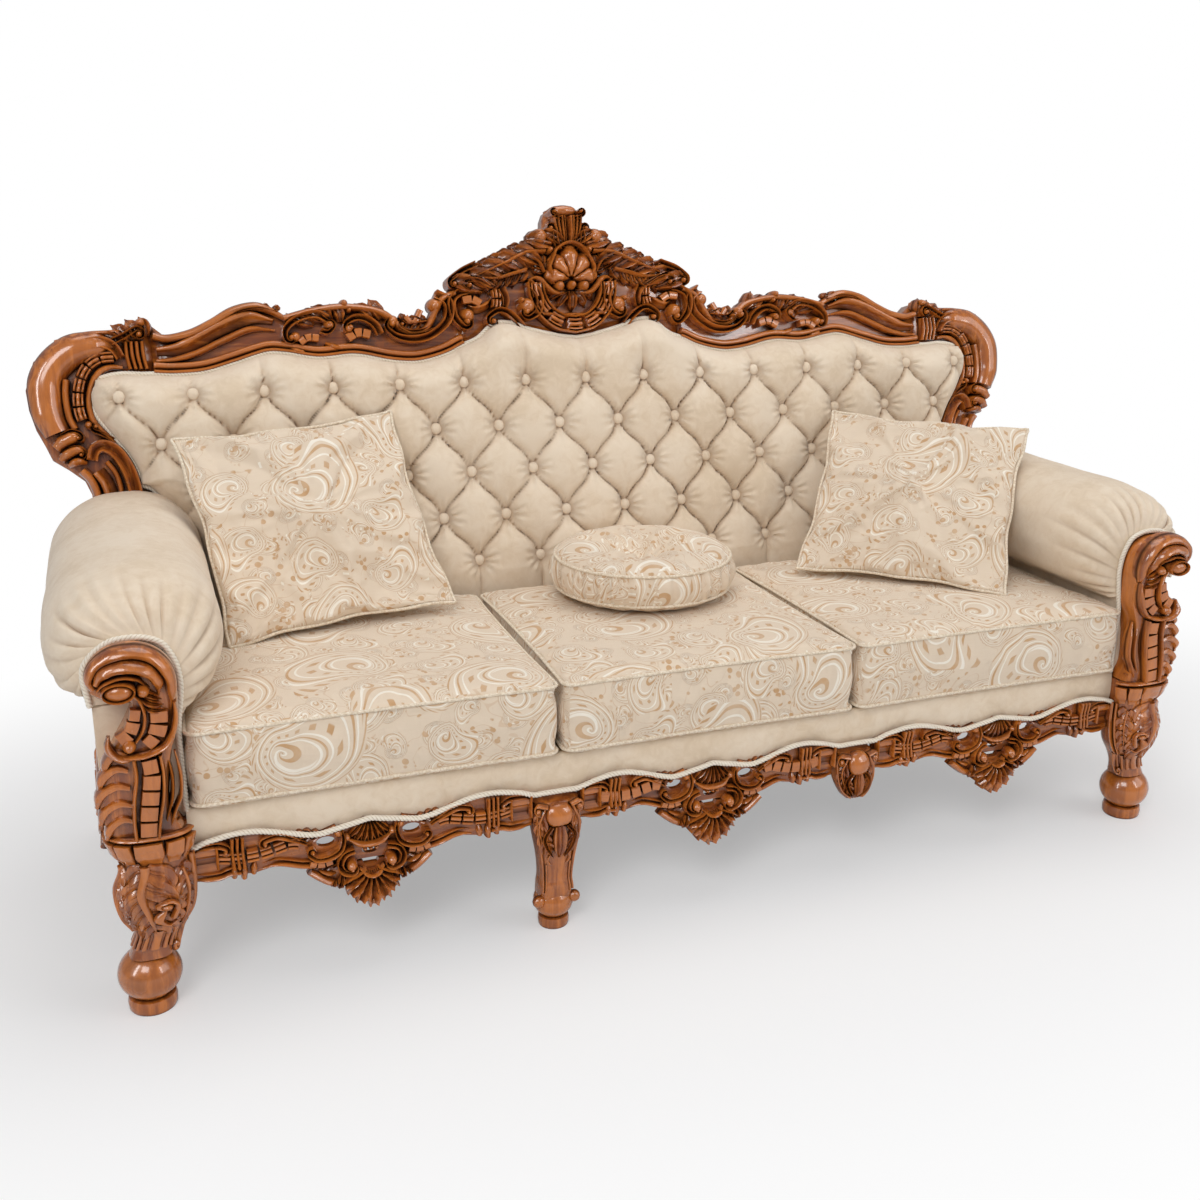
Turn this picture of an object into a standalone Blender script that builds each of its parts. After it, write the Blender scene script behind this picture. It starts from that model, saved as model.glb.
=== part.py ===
# Carved three-seater sofa: show-wood frame, tufted back, rolled arms and loose cushions.
# Metres, +Z up, the front faces -Y, +X is the sitter's left. The origin is on the floor,
# under the middle of the sofa's own box.
import math

import bmesh
import bpy
from mathutils import Matrix, Vector
from mathutils.bvhtree import BVHTree

# Clearance between pieces that touch, and the looser one between soft pieces
GAP = 0.0003
SOFT_GAP = 0.003

# Seat and loose cushions
CENTRE_CUSHION_WIDTH = 0.550
SIDE_CUSHION_WIDTH = 0.580
CUSHION_SPACE = 0.004
CUSHION_DEPTH = 0.530
CUSHION_THICKNESS = 0.132
CUSHION_CROWN = 0.012
CUSHION_DRAW_IN = 0.006
CUSHION_FRONT_Y = -0.405
CUSHION_OVERHANG = 0.020

# Seat frame
RAIL_BOTTOM = 0.245
RAIL_HEIGHT = 0.063
RAIL_THICKNESS = 0.030
CROSS_RAIL_DROP = 0.008
CORNER_BLOCK = 0.060
BLOCK_INSET = 0.006
SPRING_WIRE = 0.004
SPRING_SWING = 0.022
SPRING_WAVES = 7
DECK_THICKNESS = 0.009
DUST_COVER_THICKNESS = 0.003
BORDER_THICKNESS = 0.010

# Aprons and their hanging shells
APRON_THICKNESS = 0.026
APRON_DROP = 0.055
ROPE_LINE_RISE = 0.002
ROPE_LINE_WAVE = 0.023
SHELL_HALF_WIDTH = 0.098
SHELL_DROP = 0.076
SHELL_THICKNESS = 0.034
SIDE_APRON_HEIGHT = 0.080
SIDE_APRON_WAVE = 0.022

# Legs
FRONT_LEG_WIDTH = 0.105
FRONT_LEG_DEPTH = 0.084
MIDDLE_LEG_X = 0.285
MIDDLE_LEG_WIDTH = 0.082
MIDDLE_LEG_DEPTH = 0.058
PENDANT_WIDTH = 0.074
PENDANT_DROP = 0.094
REAR_LEG_WIDTH = 0.100
REAR_STILE_WIDTH = 0.050
REAR_LEG_SPLAY = 0.055
REAR_LEG_SWEEP = 0.030

# Arms
ARM_CLEARANCE = 0.006
ARM_PANEL_THICKNESS = 0.015
ARM_RAIL_WIDTH = 0.084
ARM_RAIL_THICKNESS = 0.027
ARM_RAIL_HEIGHT = 0.470
ARM_HEIGHT = 0.672
ARM_ROLL_INNER = 0.085
ARM_ROLL_OUTER = 0.177
ARM_NOSE = 0.150
ARM_POST_WIDTH = 0.122
ARM_POST_HEIGHT = 0.289
ARM_POST_THICKNESS = 0.056
ARM_POST_HEAD = 0.016

# Back
BACK_RAKE = math.radians(14)
BACK_HEIGHT = 0.892
BACK_OVERHANG = 0.187
BACK_FRAME_DEPTH = 0.033
CREST_RELIEF = 0.036
BACK_STILE_WIDTH = 0.045
BACK_RAIL_HEIGHT = 0.045
BACK_BOTTOM_RAIL = 0.160
WEBBING_THICKNESS = 0.003
OUTER_PANEL_THICKNESS = 0.006
PAD_FOOT_THICKNESS = 0.058
PAD_THICKNESS = 0.086
PAD_EDGE_THICKNESS = 0.022
PAD_SHOULDER = 0.080
PAD_BOTTOM = 0.030
PAD_CUSHION_SPACE = 0.0166
TUFT_PITCH = 0.128
TUFT_ROW = 0.0885
TUFT_TOP_ROW = 0.536
TUFT_DEPTH = 0.026
TUFT_ROWS = 5

# Loose pillows and the round cushion
PILLOW_SIZE = 0.418
PILLOW_THICKNESS = 0.120
PILLOW_EDGE = 0.014
PILLOW_DRAW_IN = 0.010
PILLOW_DROP = 0.200
LEFT_PILLOW_SHIFT = 0.018
LEFT_PILLOW_Y = 0.072
LEFT_PILLOW_TURN = (math.radians(-40), math.radians(-3), math.radians(8))
RIGHT_PILLOW_SHIFT = 0.044
RIGHT_PILLOW_Y = -0.036
RIGHT_PILLOW_TURN = (math.radians(-48), math.radians(2), math.radians(-39))
ROUND_RADIUS = 0.178
ROUND_THICKNESS = 0.098
ROUND_DIMPLE = 0.026
ROUND_X = 0.016
ROUND_Y = -0.019

# Places that follow from the sizes above
CENTRE_HALF = CENTRE_CUSHION_WIDTH / 2
SIDE_CUSHION_X = CENTRE_HALF + CUSHION_SPACE + SIDE_CUSHION_WIDTH / 2
ARM_INNER_X = SIDE_CUSHION_X + SIDE_CUSHION_WIDTH / 2 + ARM_CLEARANCE
RAIL_TOP = RAIL_BOTTOM + RAIL_HEIGHT
SPRING_Z = RAIL_TOP + GAP + SPRING_WIRE / 2
DECK_BOTTOM = SPRING_Z + SPRING_WIRE / 2 + GAP
CUSHION_BOTTOM = DECK_BOTTOM + DECK_THICKNESS + GAP
SEAT_HEIGHT = CUSHION_BOTTOM + CUSHION_THICKNESS
BORDER_FRONT_Y = CUSHION_FRONT_Y + CUSHION_OVERHANG
BORDER_BACK_Y = BORDER_FRONT_Y + BORDER_THICKNESS
RAIL_FRONT_Y = BORDER_BACK_Y + GAP
RAIL_BACK_Y = RAIL_FRONT_Y + RAIL_THICKNESS
LEG_INNER_X = ARM_INNER_X
POST_BACK_Y = RAIL_FRONT_Y + GAP
BACK_Y = CUSHION_FRONT_Y + CUSHION_DEPTH + PAD_CUSHION_SPACE + PAD_FOOT_THICKNESS
BACK_HALF_WIDTH = ARM_INNER_X + BACK_OVERHANG
SIDE_APRON_OUTER_X = LEG_INNER_X + FRONT_LEG_WIDTH + ARM_PANEL_THICKNESS
ROLL_BOTTOM = ARM_RAIL_HEIGHT + ARM_RAIL_THICKNESS + GAP

# Colours as red, green and blue, then roughness
WALNUT = ((0.235, 0.075, 0.022), 0.32)
BEECH = ((0.55, 0.38, 0.22), 0.65)
SPRING_STEEL = ((0.42, 0.43, 0.45), 0.35)
HESSIAN = ((0.42, 0.31, 0.19), 0.95)
VELVET = ((0.66, 0.54, 0.41), 0.88)
JACQUARD = ((0.70, 0.59, 0.46), 0.80)
LINING = ((0.045, 0.043, 0.040), 0.95)


def material(name, finish, metallic=0.0):
    """A plain finish of one colour, one roughness and one metallic value."""
    colour, roughness = finish
    made = bpy.data.materials.new(name)
    made.use_nodes = True
    shader = made.node_tree.nodes["Principled BSDF"]
    shader.inputs["Base Color"].default_value = (*colour, 1)
    shader.inputs["Roughness"].default_value = roughness
    shader.inputs["Metallic"].default_value = metallic
    made.diffuse_color = (*colour, 1)
    return made


def piece(name, bm, finish, parent):
    """Turn a bmesh into a named object with its faces pointing out."""
    bmesh.ops.recalc_face_normals(bm, faces=bm.faces[:])
    mesh = bpy.data.meshes.new(name)
    bm.to_mesh(mesh)
    bm.free()
    mesh.shade_smooth()
    mesh.set_sharp_from_angle(angle=math.radians(35))
    mesh.materials.append(materials[finish])
    made = bpy.data.objects.new(name, mesh)
    made.parent = parent
    bpy.context.collection.objects.link(made)
    return made


def loft(rings):
    """Skin closed rings of the same count, with a flat face on each end."""
    bm = bmesh.new()
    made = [[bm.verts.new(point) for point in ring] for ring in rings]
    for first, second in zip(made, made[1:]):
        for i in range(len(first)):
            j = (i + 1) % len(first)
            bm.faces.new((first[i], first[j], second[j], second[i]))
    bm.faces.new(made[0][::-1])
    bm.faces.new(made[-1])
    return bm


def box(name, low, high, finish, parent):
    """A square timber or board between two corners."""
    low, high = Vector(low), Vector(high)
    bm = bmesh.new()
    bmesh.ops.create_cube(bm, size=1)
    bmesh.ops.transform(bm, matrix=Matrix.Diagonal((*(high - low), 1)), verts=bm.verts)
    bmesh.ops.translate(bm, vec=(low + high) / 2, verts=bm.verts)
    return piece(name, bm, finish, parent)


def mix(a, b, share):
    """The value a share of the way from a to b."""
    return a + (b - a) * share


def read_line(table, place):
    """Read a line of (place, value) points at a place between them."""
    if place <= table[0][0]:
        return table[0][1]
    for (a, va), (b, vb) in zip(table, table[1:]):
        if place <= b:
            return mix(va, vb, (place - a) / (b - a))
    return table[-1][1]


def rake(z):
    """Y of the back frame's front plane at a height, away from the tilted empty."""
    return BACK_Y + (z - RAIL_TOP) * math.tan(BACK_RAKE)


def band(name, outer, inner, relief_shares, front, back, finish, parent, side=1):
    """A carved member between two edge lines in the XZ plane, with a moulded face.

    relief_shares gives (share across, share of the depth) of the moulding.
    """
    rings = []
    for (ox, oz), (ix, iz) in zip(outer, inner):
        ring = [Vector((side * ox, back, oz))]
        for across, depth in relief_shares:
            ring.append(Vector((side * mix(ox, ix, across), mix(back, front, depth),
                                mix(oz, iz, across))))
        ring.append(Vector((side * ix, back, iz)))
        rings.append(ring)
    return piece(name, loft(rings), finish, parent)


def leg(name, stations, corner_share, finish, parent, side=1):
    """A shaped leg through (z, inner x, outer x, front y, back y) stations."""
    rings = []
    for z, x0, x1, y0, y1 in stations:
        cx, cy = (x1 - x0) * corner_share, (y1 - y0) * corner_share
        rings.append([Vector((side * x, y, z)) for x, y in (
            (x0 + cx, y0), (x1 - cx, y0), (x1, y0 + cy), (x1, y1 - cy),
            (x1 - cx, y1), (x0 + cx, y1), (x0, y1 - cy), (x0, y0 + cy))])
    return piece(name, loft(rings), finish, parent)


for old in list(bpy.data.objects):
    bpy.data.objects.remove(old)

materials = {
    "carved_walnut": material("carved_walnut", WALNUT),
    "beech_frame": material("beech_frame", BEECH),
    "spring_steel": material("spring_steel", SPRING_STEEL, 1.0),
    "hessian": material("hessian", HESSIAN),
    "velvet": material("velvet", VELVET),
    "jacquard": material("jacquard", JACQUARD),
    "black_lining": material("black_lining", LINING),
}

sofa = bpy.data.objects.new("sofa", None)
bpy.context.collection.objects.link(sofa)

# The back is built upright and leans on this empty, hinged at the top of the rear rail
back_frame = bpy.data.objects.new("back_frame", None)
back_frame.parent = sofa
back_frame.location = (0, BACK_Y, RAIL_TOP)
back_frame.rotation_euler = (-BACK_RAKE, 0, 0)
bpy.context.collection.objects.link(back_frame)

# Seat frame: front, back and side rails, two cross rails and a glue block in each corner
box("seat_rail_front", (-LEG_INNER_X + GAP, RAIL_FRONT_Y, RAIL_BOTTOM),
    (LEG_INNER_X - GAP, RAIL_BACK_Y, RAIL_TOP), "beech_frame", sofa)
SIDE_RAIL_X = ARM_INNER_X + GAP
REAR_LEG_X = SIDE_RAIL_X + ARM_PANEL_THICKNESS
box("seat_rail_back", (-REAR_LEG_X + GAP, BACK_Y, RAIL_BOTTOM),
    (REAR_LEG_X - GAP, BACK_Y + BACK_FRAME_DEPTH, RAIL_TOP), "beech_frame", sofa)
for side, hand in ((-1, "left"), (1, "right")):
    ends = sorted((side * SIDE_RAIL_X, side * (SIDE_RAIL_X + RAIL_THICKNESS)))
    box("seat_rail_" + hand, (ends[0], RAIL_BACK_Y + GAP, RAIL_BOTTOM),
        (ends[1], BACK_Y - GAP, RAIL_TOP), "beech_frame", sofa)
    middle = side * MIDDLE_LEG_X
    box("seat_cross_rail_" + hand, (middle - RAIL_THICKNESS / 2, RAIL_BACK_Y + GAP, RAIL_BOTTOM),
        (middle + RAIL_THICKNESS / 2, BACK_Y - GAP, RAIL_TOP - CROSS_RAIL_DROP),
        "beech_frame", sofa)
    for row, y, way in (("front", RAIL_BACK_Y + GAP, 1), ("back", BACK_Y - GAP, -1)):
        corner = Vector((side * (SIDE_RAIL_X - GAP), y, RAIL_BOTTOM + BLOCK_INSET))
        rings = []
        for z in (0, RAIL_HEIGHT - 2 * BLOCK_INSET):
            rings.append([corner + Vector((0, 0, z)),
                          corner + Vector((-side * CORNER_BLOCK, 0, z)),
                          corner + Vector((0, way * CORNER_BLOCK, z))])
        piece("corner_block_" + row + "_" + hand, loft(rings), "beech_frame", sofa)

# Six zigzag springs run from the front rail to the back rail, two for each seat
spring_places = []
for seat_x, seat_width in ((-SIDE_CUSHION_X, SIDE_CUSHION_WIDTH), (0, CENTRE_CUSHION_WIDTH),
                           (SIDE_CUSHION_X, SIDE_CUSHION_WIDTH)):
    spring_places += [seat_x - seat_width / 5, seat_x + seat_width / 5]
for number, x in enumerate(spring_places, 1):
    start = RAIL_FRONT_Y + RAIL_THICKNESS / 2
    end = BACK_Y + BACK_FRAME_DEPTH / 2
    curve = bpy.data.curves.new("spring_" + str(number), "CURVE")
    curve.dimensions = "3D"
    curve.bevel_depth = SPRING_WIRE / 2
    curve.bevel_resolution = 0
    curve.use_fill_caps = True
    spline = curve.splines.new("POLY")
    count = SPRING_WAVES * 4 + 1
    spline.points.add(count - 1)
    for i, point in enumerate(spline.points):
        swing = SPRING_SWING * math.sin(i * math.pi / 2)
        point.co = (x + swing, mix(start, end, i / (count - 1)), SPRING_Z, 1)
    curve.materials.append(materials["spring_steel"])
    spring = bpy.data.objects.new("spring_" + str(number), curve)
    spring.parent = sofa
    bpy.context.collection.objects.link(spring)

# The deck of hessian and felt over the springs, and the dust cover under the rails
box("seat_deck", (-ARM_INNER_X + SOFT_GAP, POST_BACK_Y + GAP, DECK_BOTTOM),
    (ARM_INNER_X - SOFT_GAP, BACK_Y - SOFT_GAP, DECK_BOTTOM + DECK_THICKNESS), "hessian", sofa)
box("dust_cover", (-ARM_INNER_X + SOFT_GAP, RAIL_BACK_Y + GAP,
                   RAIL_BOTTOM - GAP - DUST_COVER_THICKNESS),
    (ARM_INNER_X - SOFT_GAP, BACK_Y - GAP, RAIL_BOTTOM - GAP), "black_lining", sofa)

# Front legs: carved cabriole legs whose square heads carry the arm posts.
# Each station is z, then shares of the width and of the depth where the leg's sides lie.
front_leg_shares = (
    (0.000, 0.48, 0.97, 0.42, 1.04), (0.070, 0.46, 0.99, 0.39, 1.06),
    (0.095, 0.44, 1.01, 0.26, 1.10), (0.200, 0.34, 1.08, 0.16, 1.12),
    (0.300, 0.26, 1.06, 0.14, 1.06), (0.380, 0.23, 0.90, 0.24, 0.92),
    (0.450, 0.21, 0.81, 0.20, 0.88), (0.560, 0.07, 0.96, 0.00, 0.94),
    (0.700, 0.00, 0.98, -0.06, 0.96), (0.810, 0.00, 0.88, 0.00, 0.98),
    (0.900, 0.00, 0.98, 0.00, 1.00), (1.000, 0.00, 1.00, 0.02, 1.00))
LEG_FRONT_Y = RAIL_BACK_Y - FRONT_LEG_DEPTH
front_leg_stations = [
    (z * RAIL_TOP, LEG_INNER_X + x0 * FRONT_LEG_WIDTH, LEG_INNER_X + x1 * FRONT_LEG_WIDTH,
     LEG_FRONT_Y + y0 * FRONT_LEG_DEPTH, LEG_FRONT_Y + y1 * FRONT_LEG_DEPTH)
    for z, x0, x1, y0, y1 in front_leg_shares]

# Arm posts: an S-curve that grows out of the leg and ends in a scrolled head.
# Pairs of (share of the width, share of the height) on the outer and the inner edge.
post_outer_shares = (
    (0.86, 0.00), (0.97, 0.12), (0.95, 0.28), (0.80, 0.43), (0.65, 0.54), (0.51, 0.64),
    (0.48, 0.70), (0.52, 0.725), (0.60, 0.72), (0.70, 0.73), (0.80, 0.74), (0.90, 0.765))
post_inner_shares = (
    (0.04, 0.00), (0.16, 0.12), (0.14, 0.28), (0.08, 0.43), (-0.02, 0.54), (-0.04, 0.64),
    (-0.05, 0.74), (-0.02, 0.84), (0.10, 0.93), (0.34, 1.00), (0.66, 0.985), (0.90, 0.90))
carved_relief_shares = ((0, 0.55), (0.10, 0.86), (0.34, 0.78), (0.55, 1.00), (0.80, 0.84),
                        (0.92, 0.88), (1, 0.55))
for side, hand in ((-1, "left"), (1, "right")):
    leg("front_leg_" + hand, front_leg_stations, 0.22, "carved_walnut", sofa, side)
    edges = []
    for shares in (post_outer_shares, post_inner_shares):
        edges.append([(LEG_INNER_X + x * ARM_POST_WIDTH,
                       RAIL_TOP + GAP + z * ARM_POST_HEIGHT) for x, z in shares])
    band("arm_post_" + hand, edges[0], edges[1], carved_relief_shares,
         POST_BACK_Y - ARM_POST_THICKNESS - ARM_POST_HEAD, POST_BACK_Y,
         "carved_walnut", sofa, side)

# Middle supports: a full carved leg on one side and a short pendant on the other
middle_leg_shares = (
    (0.000, 0.30, 0.30, 1.06), (0.090, 0.32, 0.26, 1.08), (0.105, 0.36, 0.04, 1.08),
    (0.240, 0.38, -0.10, 1.06), (0.330, 0.33, 0.04, 0.98), (0.400, 0.30, 0.12, 0.90),
    (0.540, 0.35, 0.02, 0.88), (0.780, 0.48, -0.14, 0.96), (1.000, 0.50, 0.00, 1.00))
MIDDLE_FRONT_Y = RAIL_BACK_Y - MIDDLE_LEG_DEPTH
middle_top = RAIL_BOTTOM - GAP
leg("middle_leg", [
    (z * middle_top, MIDDLE_LEG_X - half * MIDDLE_LEG_WIDTH,
     MIDDLE_LEG_X + half * MIDDLE_LEG_WIDTH, MIDDLE_FRONT_Y + y0 * MIDDLE_LEG_DEPTH,
     MIDDLE_FRONT_Y + y1 * MIDDLE_LEG_DEPTH)
    for z, half, y0, y1 in middle_leg_shares], 0.22, "carved_walnut", sofa, -1)
pendant_shares = ((1.00, 0.14, 0.06, 0.44), (0.90, 0.30, -0.06, 0.60), (0.62, 0.44, -0.14, 0.84),
                  (0.30, 0.47, -0.10, 0.96), (0.00, 0.50, 0.00, 1.00))
leg("middle_pendant", [
    (middle_top - z * PENDANT_DROP, MIDDLE_LEG_X - half * PENDANT_WIDTH,
     MIDDLE_LEG_X + half * PENDANT_WIDTH, MIDDLE_FRONT_Y + y0 * MIDDLE_LEG_DEPTH,
     MIDDLE_FRONT_Y + y1 * MIDDLE_LEG_DEPTH)
    for z, half, y0, y1 in pendant_shares], 0.22, "carved_walnut", sofa)

# Rear legs: each runs up from a splayed foot into the stile that carries a back scroll
scroll_foot_share = 0.336
scroll_foot = RAIL_TOP + scroll_foot_share * BACK_HEIGHT * math.cos(BACK_RAKE)
stile_top = scroll_foot - BACK_FRAME_DEPTH * math.sin(BACK_RAKE) - GAP
rear_foot_shares = ((0.00, 0.52, 1.00), (0.10, 0.50, 1.00), (0.32, 0.44, 0.82),
                    (0.58, 0.60, 0.50), (0.80, 0.96, 0.16))
for side, hand in ((-1, "left"), (1, "right")):
    stations = []
    outer_x = REAR_LEG_X + REAR_LEG_WIDTH
    for z, width, throw in rear_foot_shares:
        x1 = outer_x + throw * (REAR_LEG_SPLAY - REAR_LEG_WIDTH / 2)
        y0 = BACK_Y + throw * REAR_LEG_SWEEP
        stations.append((z * RAIL_BOTTOM, x1 - width * REAR_LEG_WIDTH, x1,
                         y0, y0 + mix(BACK_FRAME_DEPTH, REAR_STILE_WIDTH, throw)))
    for z in (RAIL_BOTTOM, RAIL_TOP):
        stations.append((z, REAR_LEG_X, outer_x, BACK_Y, BACK_Y + BACK_FRAME_DEPTH))
    for share in (0.16, 1.0):
        z = mix(RAIL_TOP, stile_top, share)
        stations.append((z, REAR_LEG_X, REAR_LEG_X + REAR_STILE_WIDTH,
                         rake(z), rake(z) + BACK_FRAME_DEPTH))
    leg("rear_leg_" + hand, stations, 0.12, "carved_walnut", sofa, side)

# The rope line: where the front border's cloth ends and the carved aprons begin.
# It dips on both sides of each bay's middle. Shares run from the middle of the bay outwards.
rope_line_shares = ((0, 0.60), (0.18, 0.22), (0.31, 0.00), (0.44, 0.35), (0.62, 0.92),
                    (0.76, 1.00), (0.91, 0.70), (1.0, 0.35))
apron_edge_shares = ((0, 1.00), (0.37, 1.00), (0.45, 0.85), (0.53, 0.73), (0.60, 1.00),
                     (0.67, 0.91), (0.73, 0.76), (0.82, 0.86), (0.88, 1.00), (1.0, 0.82))
shell_edge_shares = ((0, 1.00), (0.20, 0.92), (0.36, 0.68), (0.60, 0.56), (0.82, 0.40),
                     (1.0, 0.02))
shell_relief_shares = ((0, 0.60), (0.30, 1.00), (0.72, 0.90), (1, 0.50))
border_relief_shares = ((0, 0.6), (0.12, 1.0), (0.88, 1.0), (1, 0.6))
bay_edge = MIDDLE_LEG_X + MIDDLE_LEG_WIDTH / 2 + GAP
bay_inner = MIDDLE_LEG_X - MIDDLE_LEG_WIDTH / 2 - GAP
side_bay_x = (bay_edge + LEG_INNER_X - GAP) / 2
side_bay_half = (LEG_INNER_X - GAP - bay_edge) / 2
bays = (("left", -side_bay_x, side_bay_half), ("centre", 0, bay_inner),
        ("right", side_bay_x, side_bay_half))


def rope_line(x):
    """Height of the rope line at a place along the front."""
    _, middle, half = min(bays, key=lambda bay: abs(x - bay[1]))
    share = read_line(rope_line_shares, min(1, abs(x - middle) / half))
    return RAIL_BOTTOM + ROPE_LINE_RISE + share * ROPE_LINE_WAVE


bay_steps = 12
apron_front = RAIL_FRONT_Y - GAP - APRON_THICKNESS
border_top, border_foot = [], []
for hand, middle, half in bays:
    outer, inner = [], []
    for i in range(-bay_steps, bay_steps + 1):
        share = i / bay_steps
        x = middle + share * half
        outer.append((x, rope_line(x)))
        drop = read_line(apron_edge_shares, abs(share)) * APRON_DROP
        inner.append((x, RAIL_BOTTOM - drop))
    border_foot += [(x, z + GAP) for x, z in outer]
    band("apron_" + hand, outer, inner, carved_relief_shares, apron_front,
         RAIL_FRONT_Y - GAP, "carved_walnut", sofa)
    shell_top = RAIL_BOTTOM - APRON_DROP - GAP
    reach = min(SHELL_HALF_WIDTH, half * apron_edge_shares[1][0])
    rim, foot = [], []
    mirrored = [(-share, drop) for share, drop in shell_edge_shares[:0:-1]]
    for share, drop in mirrored + list(shell_edge_shares):
        rim.append((middle + share * reach, shell_top))
        foot.append((middle + share * reach, shell_top - drop * SHELL_DROP))
    band("shell_drop_" + hand, rim, foot, shell_relief_shares,
         RAIL_FRONT_Y - GAP - SHELL_THICKNESS, RAIL_FRONT_Y - GAP, "carved_walnut", sofa)

# Front border: the padded strip of cloth under the cushions, cut to the rope line
border_top = [(x, CUSHION_BOTTOM - GAP) for x, _ in border_foot]
band("front_border", border_top, border_foot, border_relief_shares,
     BORDER_FRONT_Y, BORDER_BACK_Y, "velvet", sofa)

# Side aprons: show-wood rails from the front leg to the rear leg, under the arm panels
side_apron_top = RAIL_TOP + ARM_PANEL_THICKNESS
side_apron_steps = 14
for side, hand in ((-1, "left"), (1, "right")):
    rings = []
    for i in range(side_apron_steps + 1):
        share = i / side_apron_steps
        y = mix(RAIL_BACK_Y + GAP, BACK_Y - GAP, share)
        wave = SIDE_APRON_WAVE * math.cos(2 * math.pi * share) * 0.5
        foot = side_apron_top - SIDE_APRON_HEIGHT + wave
        x0 = SIDE_APRON_OUTER_X - APRON_THICKNESS
        rings.append([Vector((side * x, y, z)) for x, z in (
            (x0, side_apron_top), (mix(x0, SIDE_APRON_OUTER_X, 0.75), side_apron_top),
            (SIDE_APRON_OUTER_X, mix(side_apron_top, foot, 0.18)),
            (mix(x0, SIDE_APRON_OUTER_X, 0.8), mix(side_apron_top, foot, 0.5)),
            (SIDE_APRON_OUTER_X, mix(side_apron_top, foot, 0.8)),
            (mix(x0, SIDE_APRON_OUTER_X, 0.6), foot), (x0, foot))])
    piece("side_apron_" + hand, loft(rings), "carved_walnut", sofa)

# Arms: a rail from post to stile carries the stuffed roll, which wraps down the inner side.
# The roll's outline is in shares of its reach from the inner face and of its height.
roll_outline_shares = (
    (-0.36, 0.03), (-0.76, 0.14), (-0.97, 0.32), (-1.00, 0.48), (-0.86, 0.72), (-0.48, 0.91),
    (0.02, 0.99), (0.25, 1.00), (0.50, 0.97), (0.76, 0.86), (0.93, 0.68), (1.00, 0.46),
    (0.97, 0.28), (0.88, 0.14), (0.76, 0.07))
# Down the roll: share of the nose, share of the rest of the length, share of the full size
roll_swell_shares = ((0, 0, 0.66), (0.10, 0, 0.79), (0.30, 0, 0.89), (0.60, 0, 0.96),
                     (1.0, 0, 1.0), (1.0, 0.5, 1.0), (1.0, 1.0, 0.93))
for side, hand in ((-1, "left"), (1, "right")):
    rail_x0 = ARM_INNER_X + ARM_PANEL_THICKNESS + GAP
    ends = sorted((side * rail_x0, side * (rail_x0 + ARM_RAIL_WIDTH)))
    box("arm_rail_" + hand, (ends[0], POST_BACK_Y + GAP, ARM_RAIL_HEIGHT),
        (ends[1], rake(ARM_RAIL_HEIGHT) - GAP, ARM_RAIL_HEIGHT + ARM_RAIL_THICKNESS),
        "beech_frame", sofa)

    panel_x0 = rail_x0 + ARM_RAIL_WIDTH + GAP
    outline = [(0, RAIL_TOP + GAP), (0, ARM_RAIL_HEIGHT)]
    for x, z in roll_outline_shares:
        reach = ARM_ROLL_INNER if x < 0 else ARM_ROLL_OUTER
        outline.append((x * reach, mix(ARM_RAIL_HEIGHT, ARM_HEIGHT, z)))
    lip = panel_x0 + ARM_PANEL_THICKNESS + SOFT_GAP - ARM_INNER_X
    outline += [(lip, ROLL_BOTTOM), (ARM_PANEL_THICKNESS, ROLL_BOTTOM),
                (ARM_PANEL_THICKNESS, RAIL_TOP + GAP)]
    rings = []
    head = Vector((ARM_POST_WIDTH * 0.45, ROLL_BOTTOM))
    front = POST_BACK_Y + GAP
    for nose, length, swell in roll_swell_shares:
        ring = []
        for x, z in outline:
            if x < 0 or x > lip or z > ROLL_BOTTOM:
                x, z = head + (Vector((x, z)) - head) * swell
                z = max(z, ARM_RAIL_HEIGHT)
            if z < ROLL_BOTTOM and x > ARM_PANEL_THICKNESS:
                x = max(x, lip)
            end = rake(z) - (CREST_RELIEF + GAP) / math.cos(BACK_RAKE) - GAP
            y = mix(front + nose * ARM_NOSE, end, length)
            ring.append(Vector((side * (ARM_INNER_X + x), y, z)))
        rings.append(ring)
    piece("arm_roll_" + hand, loft(rings), "velvet", sofa)

    rings = []
    for x in (panel_x0, panel_x0 + ARM_PANEL_THICKNESS):
        rings.append([Vector((side * x, y, z)) for y, z in (
            (POST_BACK_Y + GAP, side_apron_top + GAP),
            (rake(side_apron_top), side_apron_top + GAP),
            (rake(ROLL_BOTTOM), ROLL_BOTTOM - GAP),
            (POST_BACK_Y + GAP, ROLL_BOTTOM - GAP))])
    piece("arm_outer_panel_" + hand, loft(rings), "velvet", sofa)

# Back frame: carved crest over an inner frame of stiles and rails.
# Lines are in shares of the back's half width and of its height above the rear rail.
crest_top_shares = (
    (0.0000, 1.000), (0.0340, 0.990), (0.0406, 0.972), (0.0440, 0.938), (0.0662, 0.933),
    (0.0860, 0.915), (0.1040, 0.899), (0.1276, 0.890), (0.1635, 0.870), (0.1985, 0.847),
    (0.2268, 0.836))
crest_foot_shares = (
    (0.0000, 0.698), (0.0340, 0.703), (0.0406, 0.705), (0.0440, 0.706), (0.0662, 0.712),
    (0.0860, 0.718), (0.1040, 0.724), (0.1276, 0.735), (0.1635, 0.735), (0.1985, 0.704),
    (0.2268, 0.690))
rail_top_shares = (
    (0.2268, 0.836), (0.2365, 0.809), (0.2650, 0.793), (0.2930, 0.738), (0.3166, 0.723),
    (0.3400, 0.732), (0.3780, 0.772), (0.4440, 0.786), (0.5010, 0.780), (0.5580, 0.764),
    (0.5880, 0.780), (0.6520, 0.752), (0.7090, 0.729), (0.7660, 0.732), (0.7890, 0.756))
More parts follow.
